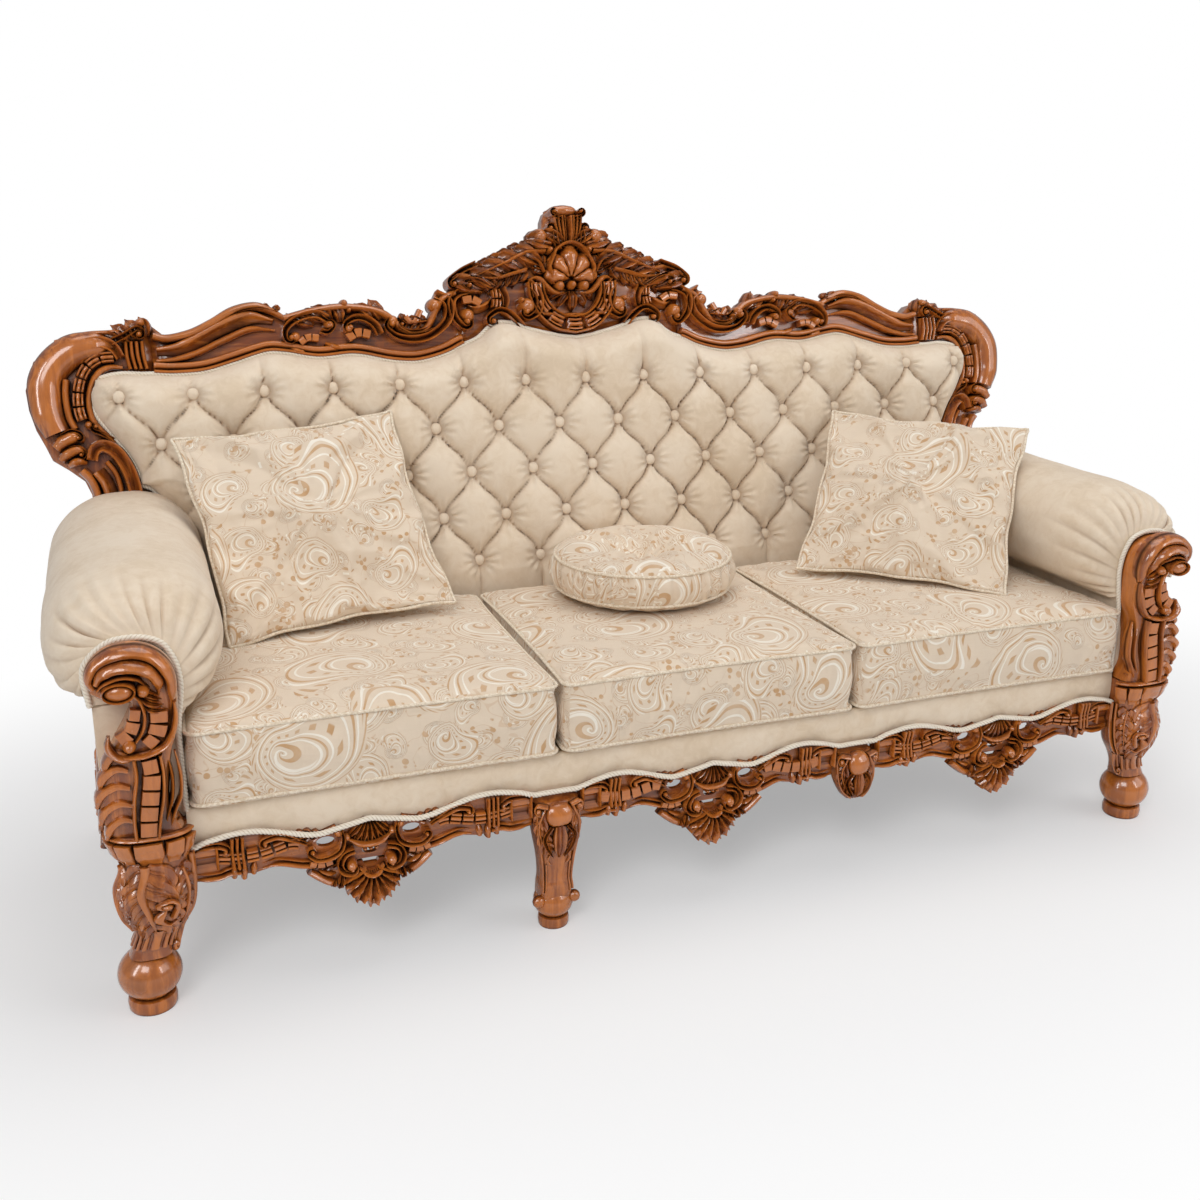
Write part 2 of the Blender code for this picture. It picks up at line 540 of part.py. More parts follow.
rail_foot_shares = (
    (0.2268, 0.690), (0.2365, 0.685), (0.2600, 0.672), (0.2885, 0.662), (0.3166, 0.656),
    (0.3400, 0.656), (0.3730, 0.661), (0.4350, 0.676), (0.5010, 0.672), (0.5580, 0.684),
    (0.5950, 0.686), (0.6520, 0.667), (0.7040, 0.651), (0.7560, 0.648), (0.7890, 0.651))
scroll_outer_shares = (
    (0.7890, 0.756), (0.8130, 0.746), (0.8510, 0.739), (0.8980, 0.736), (0.9450, 0.721),
    (0.9830, 0.686), (1.0000, 0.629), (0.9980, 0.589), (0.9900, 0.548), (0.9780, 0.514),
    (0.9690, 0.485), (0.9450, 0.464), (0.9210, 0.439), (0.9120, 0.410), (0.9120, scroll_foot_share))
scroll_inner_shares = (
    (0.7890, 0.651), (0.8130, 0.652), (0.8370, 0.654), (0.8600, 0.652), (0.8790, 0.647),
    (0.8930, 0.634), (0.9010, 0.614), (0.9000, 0.589), (0.8910, 0.562), (0.8790, 0.540),
    (0.8650, 0.516), (0.8510, 0.491), (0.8365, 0.451), (0.8320, 0.405), (0.8320, scroll_foot_share))


def on_back(shares):
    """Places on the back frame from shares of its half width and height."""
    return [(x * BACK_HALF_WIDTH, s * BACK_HEIGHT) for x, s in shares]


def shifted(line, move):
    """The same line moved sideways."""
    return [(x + move, s) for x, s in line]


crest_top, crest_foot = on_back(crest_top_shares), on_back(crest_foot_shares)
mirror_top = [(-x, s) for x, s in crest_top[:0:-1]]
mirror_foot = [(-x, s) for x, s in crest_foot[:0:-1]]
cartouche_relief_shares = ((0, 0.60), (0.10, 0.90), (0.30, 0.80), (0.50, 1.00), (0.72, 0.80),
                           (0.90, 0.86), (1, 0.55))
band("crest_cartouche", mirror_top + crest_top, mirror_foot + crest_foot,
     cartouche_relief_shares, -CREST_RELIEF, BACK_FRAME_DEPTH, "carved_walnut", back_frame)
for side, hand in ((-1, "left"), (1, "right")):
    band("crest_rail_" + hand, shifted(on_back(rail_top_shares), GAP),
         shifted(on_back(rail_foot_shares), GAP), carved_relief_shares,
         -CREST_RELIEF, BACK_FRAME_DEPTH, "carved_walnut", back_frame, side)
    band("back_scroll_" + hand, shifted(on_back(scroll_outer_shares), 2 * GAP),
         shifted(on_back(scroll_inner_shares), 2 * GAP), carved_relief_shares,
         -CREST_RELIEF, BACK_FRAME_DEPTH, "carved_walnut", back_frame, side)

lowest_foot = min(s for _, s in rail_foot_shares + scroll_inner_shares[:4]) * BACK_HEIGHT
frame_top = lowest_foot - GAP
neck_x = scroll_inner_shares[-1][0] * BACK_HALF_WIDTH
stile_x = min(REAR_LEG_X, neck_x) - GAP - BACK_STILE_WIDTH
stile_foot = (GAP + BACK_FRAME_DEPTH * math.sin(BACK_RAKE)) / math.cos(BACK_RAKE)
for side, hand in ((-1, "left"), (1, "right")):
    ends = sorted((side * stile_x, side * (stile_x + BACK_STILE_WIDTH)))
    box("back_stile_" + hand, (ends[0], 0, stile_foot), (ends[1], BACK_FRAME_DEPTH, frame_top),
        "beech_frame", back_frame)
for name, foot in (("back_bottom_rail", BACK_BOTTOM_RAIL),
                   ("back_top_rail", frame_top - BACK_RAIL_HEIGHT)):
    box(name, (-stile_x + GAP, 0, foot), (stile_x - GAP, BACK_FRAME_DEPTH,
                                          foot + BACK_RAIL_HEIGHT), "beech_frame", back_frame)
box("back_webbing", (-stile_x - BACK_STILE_WIDTH / 2, -GAP - WEBBING_THICKNESS, BACK_BOTTOM_RAIL),
    (stile_x + BACK_STILE_WIDTH / 2, -GAP, frame_top), "hessian", back_frame)

# Outer back: a cloth-covered board that closes the frame from behind
# Its lower edge points are shares of the arms' width, the upper ones of the back's.
panel_foot_shares = ((1.00, 0.02), (1.00, 0.30))
panel_top_shares = ((0.856, 0.34), (0.856, 0.60), (0.828, 0.66), (0.644, 0.67), (0.515, 0.70),
                    (0.313, 0.68), (0.147, 0.76), (0.00, 0.76))
outline = [(x * SIDE_APRON_OUTER_X, s * BACK_HEIGHT) for x, s in panel_foot_shares]
outline += on_back(panel_top_shares)
outline += [(-x, s) for x, s in outline[-2::-1]]
rings = []
for y in (BACK_FRAME_DEPTH + GAP, BACK_FRAME_DEPTH + GAP + OUTER_PANEL_THICKNESS):
    rings.append([Vector((x, y, s)) for x, s in outline])
piece("back_outer_panel", loft(rings), "velvet", back_frame)

# Back pad: tufted in diamonds, with straight pleats above the top row and below the lowest
pad_top_line = [(x, s - SOFT_GAP) for x, s in
                crest_foot + on_back(rail_foot_shares)[1:] + on_back(scroll_inner_shares)[1:5]]
arm_top = (ARM_HEIGHT - RAIL_TOP) / math.cos(BACK_RAKE)
arm_waist = (mix(ARM_RAIL_HEIGHT, ARM_HEIGHT, 0.72) - RAIL_TOP) / math.cos(BACK_RAKE)
roll_edge = ARM_INNER_X - ARM_ROLL_INNER - SOFT_GAP
pad_side_line = [(0, roll_edge), (arm_waist, roll_edge + SOFT_GAP),
                 (arm_top + SOFT_GAP, ARM_INNER_X)]
pad_side_line += [(s, x - SOFT_GAP) for x, s in on_back(scroll_inner_shares)[-3:3:-1]]
pad_corner = on_back(scroll_inner_shares)[4]


def pad_half_width(s):
    """Half width of the pad at a height on the back."""
    return read_line(pad_side_line, min(s, pad_corner[1]))


def tuft_relief(x, s):
    """1 on the crown of a diamond and 0 at its buttons and along its pleats."""
    row = (TUFT_TOP_ROW - s) / (2 * TUFT_ROW)
    a, b = x / TUFT_PITCH + row, x / TUFT_PITCH - row
    if s > TUFT_TOP_ROW or s < TUFT_TOP_ROW - (TUFT_ROWS - 1) * TUFT_ROW:
        return abs(math.sin(math.pi * x / TUFT_PITCH)) ** 0.6
    return (abs(math.sin(math.pi * a)) * abs(math.sin(math.pi * b))) ** 0.45


def pad_depth(x, s, edge):
    """How far the pad stands in front of the webbing."""
    lumbar = read_line(((0, PAD_FOOT_THICKNESS), (PAD_BOTTOM, PAD_FOOT_THICKNESS),
                        (BACK_BOTTOM_RAIL, PAD_THICKNESS), (TUFT_TOP_ROW, PAD_THICKNESS)), s)
    shoulder = math.sin(0.5 * math.pi * min(1, edge / PAD_SHOULDER)) ** 0.7
    full = mix(PAD_EDGE_THICKNESS, lumbar, shoulder)
    return full - TUFT_DEPTH * shoulder * (1 - tuft_relief(x, s))


lattice_step = TUFT_PITCH / 4
columns = int(roll_edge / lattice_step) - 2
last_column = columns * lattice_step
outer_columns = 4
row_heights = [PAD_BOTTOM, BACK_BOTTOM_RAIL * 0.6]
for i in range(2 * (TUFT_ROWS - 1), -1, -1):
    row_heights.append(TUFT_TOP_ROW - i * TUFT_ROW / 2)
bm = bmesh.new()
pad_rear = -GAP - WEBBING_THICKNESS - GAP
grid = []
for row in range(len(row_heights) + 3):
    line = []
    for column in range(-columns - outer_columns, columns + outer_columns + 1):
        way = -1 if column < 0 else 1
        beyond = max(0, abs(column) - columns) / outer_columns
        x = way * min(abs(column), columns) * lattice_step
        # The pad's side and top lines depend on each other, so the point settles in three rounds
        for settling in range(3):
            top = read_line(pad_top_line, abs(x))
            if row < len(row_heights):
                s = row_heights[row]
            else:
                s = mix(row_heights[-1], top, (row - len(row_heights) + 1) / 3)
            if beyond:
                x = way * mix(last_column, pad_half_width(s), beyond)
        edge = min(top - s, pad_half_width(s) - abs(x), s - PAD_BOTTOM + PAD_SHOULDER / 3)
        line.append(bm.verts.new((x, pad_rear - pad_depth(x, s, max(0, edge)), s)))
    grid.append(line)
for row, (low, high) in enumerate(zip(grid, grid[1:])):
    for i in range(len(low) - 1):
        # Each cell is split along the diagonal that a pleat may follow
        if (row + i - columns - outer_columns) % 2 == 0:
            bm.faces.new((low[i], low[i + 1], high[i + 1]))
            bm.faces.new((low[i], high[i + 1], high[i]))
        else:
            bm.faces.new((low[i], low[i + 1], high[i]))
            bm.faces.new((low[i + 1], high[i + 1], high[i]))
rim = [edge for edge in bm.edges if edge.is_boundary]
wall = bmesh.ops.extrude_edge_only(bm, edges=rim)["geom"]
back_ring = [v for v in wall if isinstance(v, bmesh.types.BMVert)]
for vert in back_ring:
    vert.co.y = pad_rear
bmesh.ops.edgeloop_fill(bm, edges=[e for e in bm.edges if e.is_boundary])
piece("back_pad", bm, "velvet", back_frame)


def cushion(name, low, high, crown, draw_in, cells, parent):
    """A box cushion with a crowned top, its sides drawn in between the corners."""
    low, high = Vector(low), Vector(high)
    middle, half = (low + high) / 2, (high - low) / 2
    bm = bmesh.new()
    nx, ny = cells
    wall_shares = ((0, 0.985), (0.10, 1.0), (0.90, 1.0), (1.0, 0.985))
    rim = []
    for i in range(nx):
        rim.append((-1 + 2 * i / nx, -1))
    for i in range(ny):
        rim.append((1, -1 + 2 * i / ny))
    for i in range(nx):
        rim.append((1 - 2 * i / nx, 1))
    for i in range(ny):
        rim.append((-1, 1 - 2 * i / ny))

    def place(u, v, height, spread):
        pull_x = 1 - draw_in / half.x * (1 - v * v) * abs(u)
        pull_y = 1 - draw_in / half.y * (1 - u * u) * abs(v)
        return Vector((middle.x + u * half.x * spread * pull_x,
                       middle.y + v * half.y * spread * pull_y, height))

    loops = []
    for share, spread in wall_shares:
        z = mix(low.z, high.z, share)
        loops.append([bm.verts.new(place(u, v, z, spread)) for u, v in rim])
    for first, second in zip(loops, loops[1:]):
        for i in range(len(first)):
            j = (i + 1) % len(first)
            bm.faces.new((first[i], first[j], second[j], second[i]))
    bm.faces.new(loops[0][::-1])
    inside = {}
    for i in range(nx + 1):
        for j in range(ny + 1):
            u, v = -1 + 2 * i / nx, -1 + 2 * j / ny
            if (u, v) in rim:
                inside[i, j] = loops[-1][rim.index((u, v))]
            else:
                rise = crown * ((1 - u ** 4) * (1 - v ** 4)) ** 0.6
                inside[i, j] = bm.verts.new(place(u, v, high.z + rise, wall_shares[-1][1]))
    for i in range(nx):
        for j in range(ny):
            bm.faces.new((inside[i, j], inside[i + 1, j], inside[i + 1, j + 1], inside[i, j + 1]))
    bmesh.ops.triangulate(bm, faces=bm.faces[:])
    return piece(name, bm, "jacquard", parent)


seats = {}
for hand, x, width in (("left", -SIDE_CUSHION_X, SIDE_CUSHION_WIDTH),
                       ("centre", 0, CENTRE_CUSHION_WIDTH),
                       ("right", SIDE_CUSHION_X, SIDE_CUSHION_WIDTH)):
    seats[hand] = cushion(
        "seat_cushion_" + hand, (x - width / 2, CUSHION_FRONT_Y, CUSHION_BOTTOM),
        (x + width / 2, CUSHION_FRONT_Y + CUSHION_DEPTH, SEAT_HEIGHT),
        CUSHION_CROWN, CUSHION_DRAW_IN, (8, 8), sofa)


def settle(made, seat):
    """Lower a loose piece until it lies on its seat with the clearance of touching pieces."""
    bpy.context.view_layer.update()
    points, trees = [], []
    for thing in (made, seat):
        bm = bmesh.new()
        bm.from_mesh(thing.data)
        bm.transform(thing.matrix_world)
        bmesh.ops.triangulate(bm, faces=bm.faces[:])
        points.append([vert.co.copy() for vert in bm.verts])
        trees.append(BVHTree.FromBMesh(bm))
        bm.free()
    down = Vector((0, 0, -1))
    falls = [trees[1].ray_cast(point, down)[3] for point in points[0]]
    falls += [trees[0].ray_cast(point, -down)[3] for point in points[1]]
    made.location.z -= min(fall for fall in falls if fall is not None) - GAP


def pillow(name, seat, place, turn):
    """A square scatter pillow: pointed corners, sides drawn in, fullest in the middle."""
    bm = bmesh.new()
    cells = 8
    half = PILLOW_SIZE / 2
    faces = {}
    for way in (-1, 1):
        for i in range(cells + 1):
            for j in range(cells + 1):
                u, v = -1 + 2 * i / cells, -1 + 2 * j / cells
                draw_x = 1 - PILLOW_DRAW_IN / half * (1 - v * v)
                draw_z = 1 - PILLOW_DRAW_IN / half * (1 - u * u)
                full = (math.cos(u * math.pi / 2) * math.cos(v * math.pi / 2)) ** 0.45
                thick = mix(PILLOW_EDGE, PILLOW_THICKNESS, full) / 2
                faces[way, i, j] = bm.verts.new(
                    (u * half * draw_x, way * thick, v * half * draw_z))
        for i in range(cells):
            for j in range(cells):
                bm.faces.new([faces[way, a, b] for a, b in (
                    (i, j), (i + 1, j), (i + 1, j + 1), (i, j + 1))])
    bmesh.ops.bridge_loops(bm, edges=[e for e in bm.edges if e.is_boundary])
    bmesh.ops.triangulate(bm, faces=bm.faces[:])
    made = piece(name, bm, "jacquard", sofa)
    made.location = (*place, SEAT_HEIGHT + PILLOW_DROP)
    made.rotation_euler = turn
    settle(made, seat)


# The pillows lean in the corners, each turned a little towards the middle of the sofa
pillow("pillow_left", seats["left"], (-SIDE_CUSHION_X - LEFT_PILLOW_SHIFT, LEFT_PILLOW_Y),
       LEFT_PILLOW_TURN)
pillow("pillow_right", seats["right"], (SIDE_CUSHION_X + RIGHT_PILLOW_SHIFT, RIGHT_PILLOW_Y),
       RIGHT_PILLOW_TURN)

# Round cushion: a banded disc with a sewn dimple in the middle.
# Each ring has shares of the radius, of the thickness and of the dimple's depth.
ring_shares = ((0.86, 0.00, 0), (0.97, 0.10, 0), (1.00, 0.28, 0), (0.975, 0.50, 0),
               (1.00, 0.72, 0), (0.97, 0.90, 0), (0.86, 0.985, 0), (0.62, 1.00, 0),
               (0.34, 1.00, 0.25), (0.12, 1.00, 0.8))
rings, turns = [], 28
for radius, height, sink in ring_shares:
    rings.append([Vector((radius * ROUND_RADIUS * math.cos(2 * math.pi * k / turns),
                          radius * ROUND_RADIUS * math.sin(2 * math.pi * k / turns),
                          height * ROUND_THICKNESS - sink * ROUND_DIMPLE))
                  for k in range(turns)])
round_cushion = piece("round_cushion", loft(rings), "jacquard", sofa)
round_cushion.location = (ROUND_X, ROUND_Y, SEAT_HEIGHT + PILLOW_DROP)
settle(round_cushion, seats["centre"])

# Centre the sofa on its own box, front to back
bpy.context.view_layer.update()
reach = []
for made in bpy.data.objects:
    if made.type != "EMPTY":
        reach += [(made.matrix_world @ Vector(corner)).y for corner in made.bound_box]
sofa.location.y = -(min(reach) + max(reach)) / 2
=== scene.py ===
# Looks of the carved three-seater sofa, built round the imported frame.
# Metres, +Z up, the front faces -Y, and the sofa's left on screen is -X.
import math

import bmesh
import bpy
from mathutils import Matrix, Vector, noise
from mathutils.bvhtree import BVHTree


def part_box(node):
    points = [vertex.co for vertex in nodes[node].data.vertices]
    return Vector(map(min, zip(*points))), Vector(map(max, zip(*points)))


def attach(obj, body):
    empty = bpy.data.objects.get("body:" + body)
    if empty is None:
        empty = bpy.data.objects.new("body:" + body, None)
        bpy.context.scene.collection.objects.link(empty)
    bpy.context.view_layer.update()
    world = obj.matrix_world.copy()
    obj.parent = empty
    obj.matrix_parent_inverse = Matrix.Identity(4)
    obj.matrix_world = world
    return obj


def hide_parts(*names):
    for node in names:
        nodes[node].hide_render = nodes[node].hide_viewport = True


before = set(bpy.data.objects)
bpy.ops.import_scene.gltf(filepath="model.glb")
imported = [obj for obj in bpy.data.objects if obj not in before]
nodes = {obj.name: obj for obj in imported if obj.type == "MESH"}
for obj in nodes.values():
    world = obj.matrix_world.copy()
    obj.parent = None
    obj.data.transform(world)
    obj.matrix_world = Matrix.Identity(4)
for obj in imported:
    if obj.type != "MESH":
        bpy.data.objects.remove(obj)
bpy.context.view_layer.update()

# Camera: the photographer stood left of the middle, at head height, with a normal lens.
# The picture is square, and its middle is a little off the lens's own axis.
CAMERA_PLACE = (-0.895, -2.2405, 1.211)
CAMERA_YAW = math.radians(21.343)
CAMERA_PITCH = math.radians(17.553)
CAMERA_ROLL = math.radians(0.558)
ahead = Vector((math.sin(CAMERA_YAW) * math.cos(CAMERA_PITCH),
    math.cos(CAMERA_YAW) * math.cos(CAMERA_PITCH), -math.sin(CAMERA_PITCH)))
level = Vector((math.cos(CAMERA_YAW), -math.sin(CAMERA_YAW), 0))
upright = level.cross(ahead)
across = level * math.cos(CAMERA_ROLL) + upright * math.sin(CAMERA_ROLL)
rise = upright * math.cos(CAMERA_ROLL) - level * math.sin(CAMERA_ROLL)
lens = bpy.data.cameras.new("studio_camera")
lens.lens, lens.sensor_width = 38.7, 36
lens.shift_x, lens.shift_y = -0.0176, -0.0020
camera = bpy.data.objects.new("studio_camera", lens)
camera.matrix_world = Matrix.Translation(CAMERA_PLACE) @ Matrix((across, rise, -ahead)).transposed().to_4x4()
bpy.context.collection.objects.link(camera)
bpy.context.scene.camera = camera

# Studio: a pale floor that runs into a white background, three large soft lamps and two strips.
# The background is white to the camera only, so it adds no light, and reflections see a dim room.
FLOOR_SIZE = 30
FLOOR_GREY = 0.90
ROOM_GREY = (0.36, 0.36, 0.37, 1)
LIT_POINT = Vector((0, 0, 0.5))


def wire(tree, kind, inputs=(), **settings):
    """Add a shader node, set its options, and set or link its inputs by name or number."""
    made = tree.nodes.new(kind)
    for name, value in settings.items():
        setattr(made, name, value)
    for name, value in dict(inputs).items():
        if isinstance(value, bpy.types.NodeSocket):
            tree.links.new(value, made.inputs[name])
        else:
            made.inputs[name].default_value = value
    return made


def calc(tree, operation, first, second=0.0, third=0.0):
    """One step of arithmetic on values."""
    return wire(tree, "ShaderNodeMath", {0: first, 1: second, 2: third}, operation=operation).outputs[0]


def tint(tree, factor, first, second):
    """Mix two colours."""
    return wire(tree, "ShaderNodeMix", {0: factor, 6: first, 7: second}, data_type="RGBA").outputs[2]


def span(tree, value, low, high, to_low=0.0, to_high=1.0):
    """Stretch a range of values onto another, with smooth ends."""
    return wire(tree, "ShaderNodeMapRange", {0: value, 1: low, 2: high, 3: to_low, 4: to_high},
        interpolation_type="SMOOTHSTEP").outputs[0]


def srgb(red, green, blue):
    """A colour as it looks on screen, from 0 to 255, turned into linear light."""
    shares = [part / 255 for part in (red, green, blue)]
    return (*[s / 12.92 if s <= 0.04045 else ((s + 0.055) / 1.055) ** 2.4 for s in shares], 1)


bm = bmesh.new()
bmesh.ops.create_grid(bm, x_segments=1, y_segments=1, size=FLOOR_SIZE / 2)
mesh = bpy.data.meshes.new("studio_floor")
bm.to_mesh(mesh)
bm.free()
floor = bpy.data.objects.new("studio_floor", mesh)
bpy.context.collection.objects.link(floor)
floor_finish = bpy.data.materials.new("studio_floor")
floor_finish.use_nodes = True
tree = floor_finish.node_tree
paint = tree.nodes["Principled BSDF"]
paint.inputs["Base Color"].default_value = (FLOOR_GREY, FLOOR_GREY, FLOOR_GREY, 1)
paint.inputs["Roughness"].default_value = 0.9
paint.inputs["Specular IOR Level"].default_value = 0.1
glow = wire(tree, "ShaderNodeEmission", {"Color": (1, 1, 1, 1), "Strength": 1.0})
where = wire(tree, "ShaderNodeTexCoord").outputs["Object"]
oval_place = wire(tree, "ShaderNodeVectorMath", {0: where, 1: (0.70, 1.15, 1)}, operation="MULTIPLY")
far = span(tree, wire(tree, "ShaderNodeVectorMath", {0: oval_place.outputs[0]},
    operation="LENGTH").outputs["Value"], 0.75, 1.65, 0.35, 1)


def camera_sees(tree):
    """1 for light that reaches the camera, straight or through glass, and 0 for the rest."""
    path = wire(tree, "ShaderNodeLightPath").outputs
    return calc(tree, "MAXIMUM", path["Is Camera Ray"], path["Is Transmission Ray"])


blend = wire(tree, "ShaderNodeMixShader", {0: calc(tree, "MULTIPLY", far, camera_sees(tree)),
    1: paint.outputs[0], 2: glow.outputs[0]})
tree.links.new(blend.outputs[0], tree.nodes["Material Output"].inputs["Surface"])
mesh.materials.append(floor_finish)

world = bpy.data.worlds.new("studio")
bpy.context.scene.world = world
world.use_nodes = True
tree = world.node_tree
sky = tree.nodes["Background"]
tree.links.new(tint(tree, camera_sees(tree), ROOM_GREY, (1, 1, 1, 1)), sky.inputs["Color"])

# Each lamp has a place, the width and height of its panel in metres, and its power in watts.
# The narrow strips show in reflections only, and draw bright lines on the polish.
for name, place, wide, tall, power in (
        ("key", (-2.2, -3.4, 3.6), 2.0, 2.0, 84), ("fill", (3.4, -2.6, 2.4), 2.6, 2.6, 40),
        ("top", (0.3, 0.3, 4.2), 3.0, 3.0, 54), ("left_strip", (-3.2, -1.6, 2.0), 0.5, 2.4, 42),
        ("right_strip", (2.2, -3.6, 2.4), 0.5, 2.4, 30)):
    lamp = bpy.data.lights.new(name, "AREA")
    lamp.shape = "RECTANGLE"
    lamp.size, lamp.size_y, lamp.energy = wide, tall, power
    made = bpy.data.objects.new(name, lamp)
    made.location = place
    made.rotation_euler = (LIT_POINT - Vector(place)).to_track_quat("-Z", "Y").to_euler()
    made.visible_diffuse = not name.endswith("strip")
    bpy.context.collection.objects.link(made)
bpy.context.scene.view_settings.view_transform = "Standard"

# Seat and back frame: beech rails, glue blocks, cross rails, stiles and arm rails.
# Sawn and planed timber, left raw because upholstery covers it, dowelled and glued together.
BEECH_PALE, BEECH_MID, BEECH_DARK = srgb(222, 188, 148), srgb(202, 162, 118), srgb(158, 112, 72)


def effect(name, inputs, outputs):
    """A node group with named sockets, which puts out colours and values that change over a surface."""
    made = bpy.data.node_groups.new(name, "ShaderNodeTree")
    for label, (kind, value) in inputs.items():
        socket = made.interface.new_socket(label, in_out="INPUT", socket_type="NodeSocket" + kind)
        socket.default_value = value
    for label, kind in outputs.items():
        made.interface.new_socket(label, in_out="OUTPUT", socket_type="NodeSocket" + kind)
    return made, made.nodes.new("NodeGroupInput").outputs, made.nodes.new("NodeGroupOutput").inputs


def speckle(tree, place, scale, detail=3.0, roughness=0.55, distortion=0.0):
    """Cloudy noise from 0 to 1."""
    return wire(tree, "ShaderNodeTexNoise", {"Vector": place, "Scale": scale, "Detail": detail,
        "Roughness": roughness, "Distortion": distortion}).outputs["Fac"]


def shine(material, **inputs):
    """Set or link the inputs of a material's Principled shader."""
    shader = material.node_tree.nodes["Principled BSDF"]
    for name, value in inputs.items():
        socket = shader.inputs[name.replace("_", " ")]
        if isinstance(value, bpy.types.NodeSocket):
            material.node_tree.links.new(value, socket)
        else:
            socket.default_value = value


def bumped(tree, height, depth):
    """A normal from a height, with the real depth of the relief in metres."""
    return wire(tree, "ShaderNodeBump", {"Strength": 1.0, "Distance": depth,
        "Height": height}).outputs["Normal"]


def new_finish(name):
    """An empty material with nodes, and its tree."""
    made = bpy.data.materials.new(name)
    made.use_nodes = True
    return made, made.node_tree


grain, given, out = effect("wood_grain", {"Pale": ("Color", BEECH_PALE), "Mid": ("Color", BEECH_MID),
    "Deep": ("Color", BEECH_DARK), "Stretch": ("Vector", (6, 60, 60))},
    {"Color": "Color", "Streaks": "Float", "Clouds": "Float"})
spot = wire(grain, "ShaderNodeTexCoord").outputs["Object"]
drawn = wire(grain, "ShaderNodeVectorMath", {0: spot, 1: given["Stretch"]}, operation="MULTIPLY")
streaks = speckle(grain, drawn.outputs[0], 1.0, 6, 0.62, 0.6)
clouds = speckle(grain, spot, 13.0, 4, 0.6)
lighter = tint(grain, span(grain, streaks, 0.38, 0.66), given["Mid"], given["Pale"])
grain.links.new(tint(grain, span(grain, clouds, 0.48, 0.78, 0, 0.75), lighter, given["Deep"]), out["Color"])
grain.links.new(streaks, out["Streaks"])
grain.links.new(clouds, out["Clouds"])


def use(tree, made, inputs=()):
    """Place a node group in a material, with its own values."""
    return wire(tree, "ShaderNodeGroup", inputs, node_tree=made).outputs


def timber(name, stretch, pale, mid, deep, rough):
    """Planed timber: colour, pores and roughness follow its grain."""
    made, tree = new_finish(name)
    wood = use(tree, grain, {"Pale": pale, "Mid": mid, "Deep": deep, "Stretch": stretch})
    shine(made, Base_Color=wood["Color"],
          Roughness=span(tree, wood["Streaks"], 0.3, 0.7, rough, rough + 0.15),
          Normal=bumped(tree, wood["Streaks"], 0.0004))
    return made


# The grain runs along a timber, so its streaks are long that way
ALONG_X, ALONG_Y, ALONG_Z = (5, 70, 70), (70, 5, 70), (70, 70, 5)
beech_finishes = {way: timber("beech_" + way, stretch, BEECH_PALE, BEECH_MID, BEECH_DARK, 0.55)
    for way, stretch in (("x", ALONG_X), ("y", ALONG_Y), ("z", ALONG_Z))}
for name, made in nodes.items():
    if name.startswith(("seat_rail", "seat_cross", "corner_block", "back_stile", "arm_rail", "back_bottom",
            "back_top")):
        low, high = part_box(name)
        longest = max(range(3), key=lambda way: high[way] - low[way])
        made.material_slots[0].material = beech_finishes["xyz"[longest]]

# Springs, deck and dust cover: zigzag steel springs nailed over the rails, a deck of hessian
# and felt on them, and a black lining tacked under the frame. They are plain stock, never trimmed.
spring_finish, tree = new_finish("blued_spring_steel")
rust = speckle(tree, wire(tree, "ShaderNodeTexCoord").outputs["Object"], 160, 4)
shine(spring_finish, Metallic=1.0, Roughness=span(tree, rust, 0.35, 0.7, 0.28, 0.5),
      Base_Color=tint(tree, span(tree, rust, 0.55, 0.75), srgb(120, 122, 126), srgb(92, 74, 60)))

weave, given, out = effect("plain_weave", {"Place": ("Vector", (0, 0, 0)), "Pitch": ("Float", 0.002),
    "Slubs": ("Float", 0.5)}, {"Thread": "Float", "Uneven": "Float"})
parts = wire(weave, "ShaderNodeSeparateXYZ", {0: given["Place"]}).outputs
waves = []
for part in parts:
    turns = calc(weave, "DIVIDE", part, given["Pitch"])
    waves.append(calc(weave, "SINE", calc(weave, "MULTIPLY", turns, 2 * math.pi)))
crossing = calc(weave, "MULTIPLY", calc(weave, "ADD", waves[0], waves[2]), waves[1])
weave.links.new(calc(weave, "MULTIPLY_ADD", crossing, 0.25, 0.5), out["Thread"])
coarse = wire(weave, "ShaderNodeVectorMath", {0: given["Place"], 1: (30, 260, 260)}, operation="MULTIPLY")
slub = speckle(weave, coarse.outputs[0], 1.0, 2)
weave.links.new(calc(weave, "MULTIPLY", slub, given["Slubs"]), out["Uneven"])


def cloth(name, pitch, pale, dark, rough):
    """A plain woven cloth in two tones of one colour."""
    made, tree = new_finish(name)
    spot = wire(tree, "ShaderNodeTexCoord").outputs["Object"]
    thread = use(tree, weave, {"Place": spot, "Pitch": pitch, "Slubs": 0.6})
    mixed = calc(tree, "ADD", thread["Thread"], thread["Uneven"])
    shine(made, Base_Color=tint(tree, span(tree, mixed, 0.35, 1.0), dark, pale),
          Roughness=span(tree, mixed, 0.3, 1.0, rough, rough - 0.1),
          Normal=bumped(tree, mixed, 0.0003))
    return made


hessian_finish = cloth("hessian", 0.0028, srgb(186, 158, 118), srgb(120, 94, 62), 0.95)
lining_finish = cloth("black_lining", 0.0016, srgb(52, 50, 48), srgb(26, 25, 24), 0.95)
for name, made in nodes.items():
    if name.startswith("spring"):
        made.material_slots[0].material = spring_finish
    if name in ("seat_deck", "back_webbing"):
        made.material_slots[0].material = hessian_finish
nodes["dust_cover"].material_slots[0].material = lining_finish

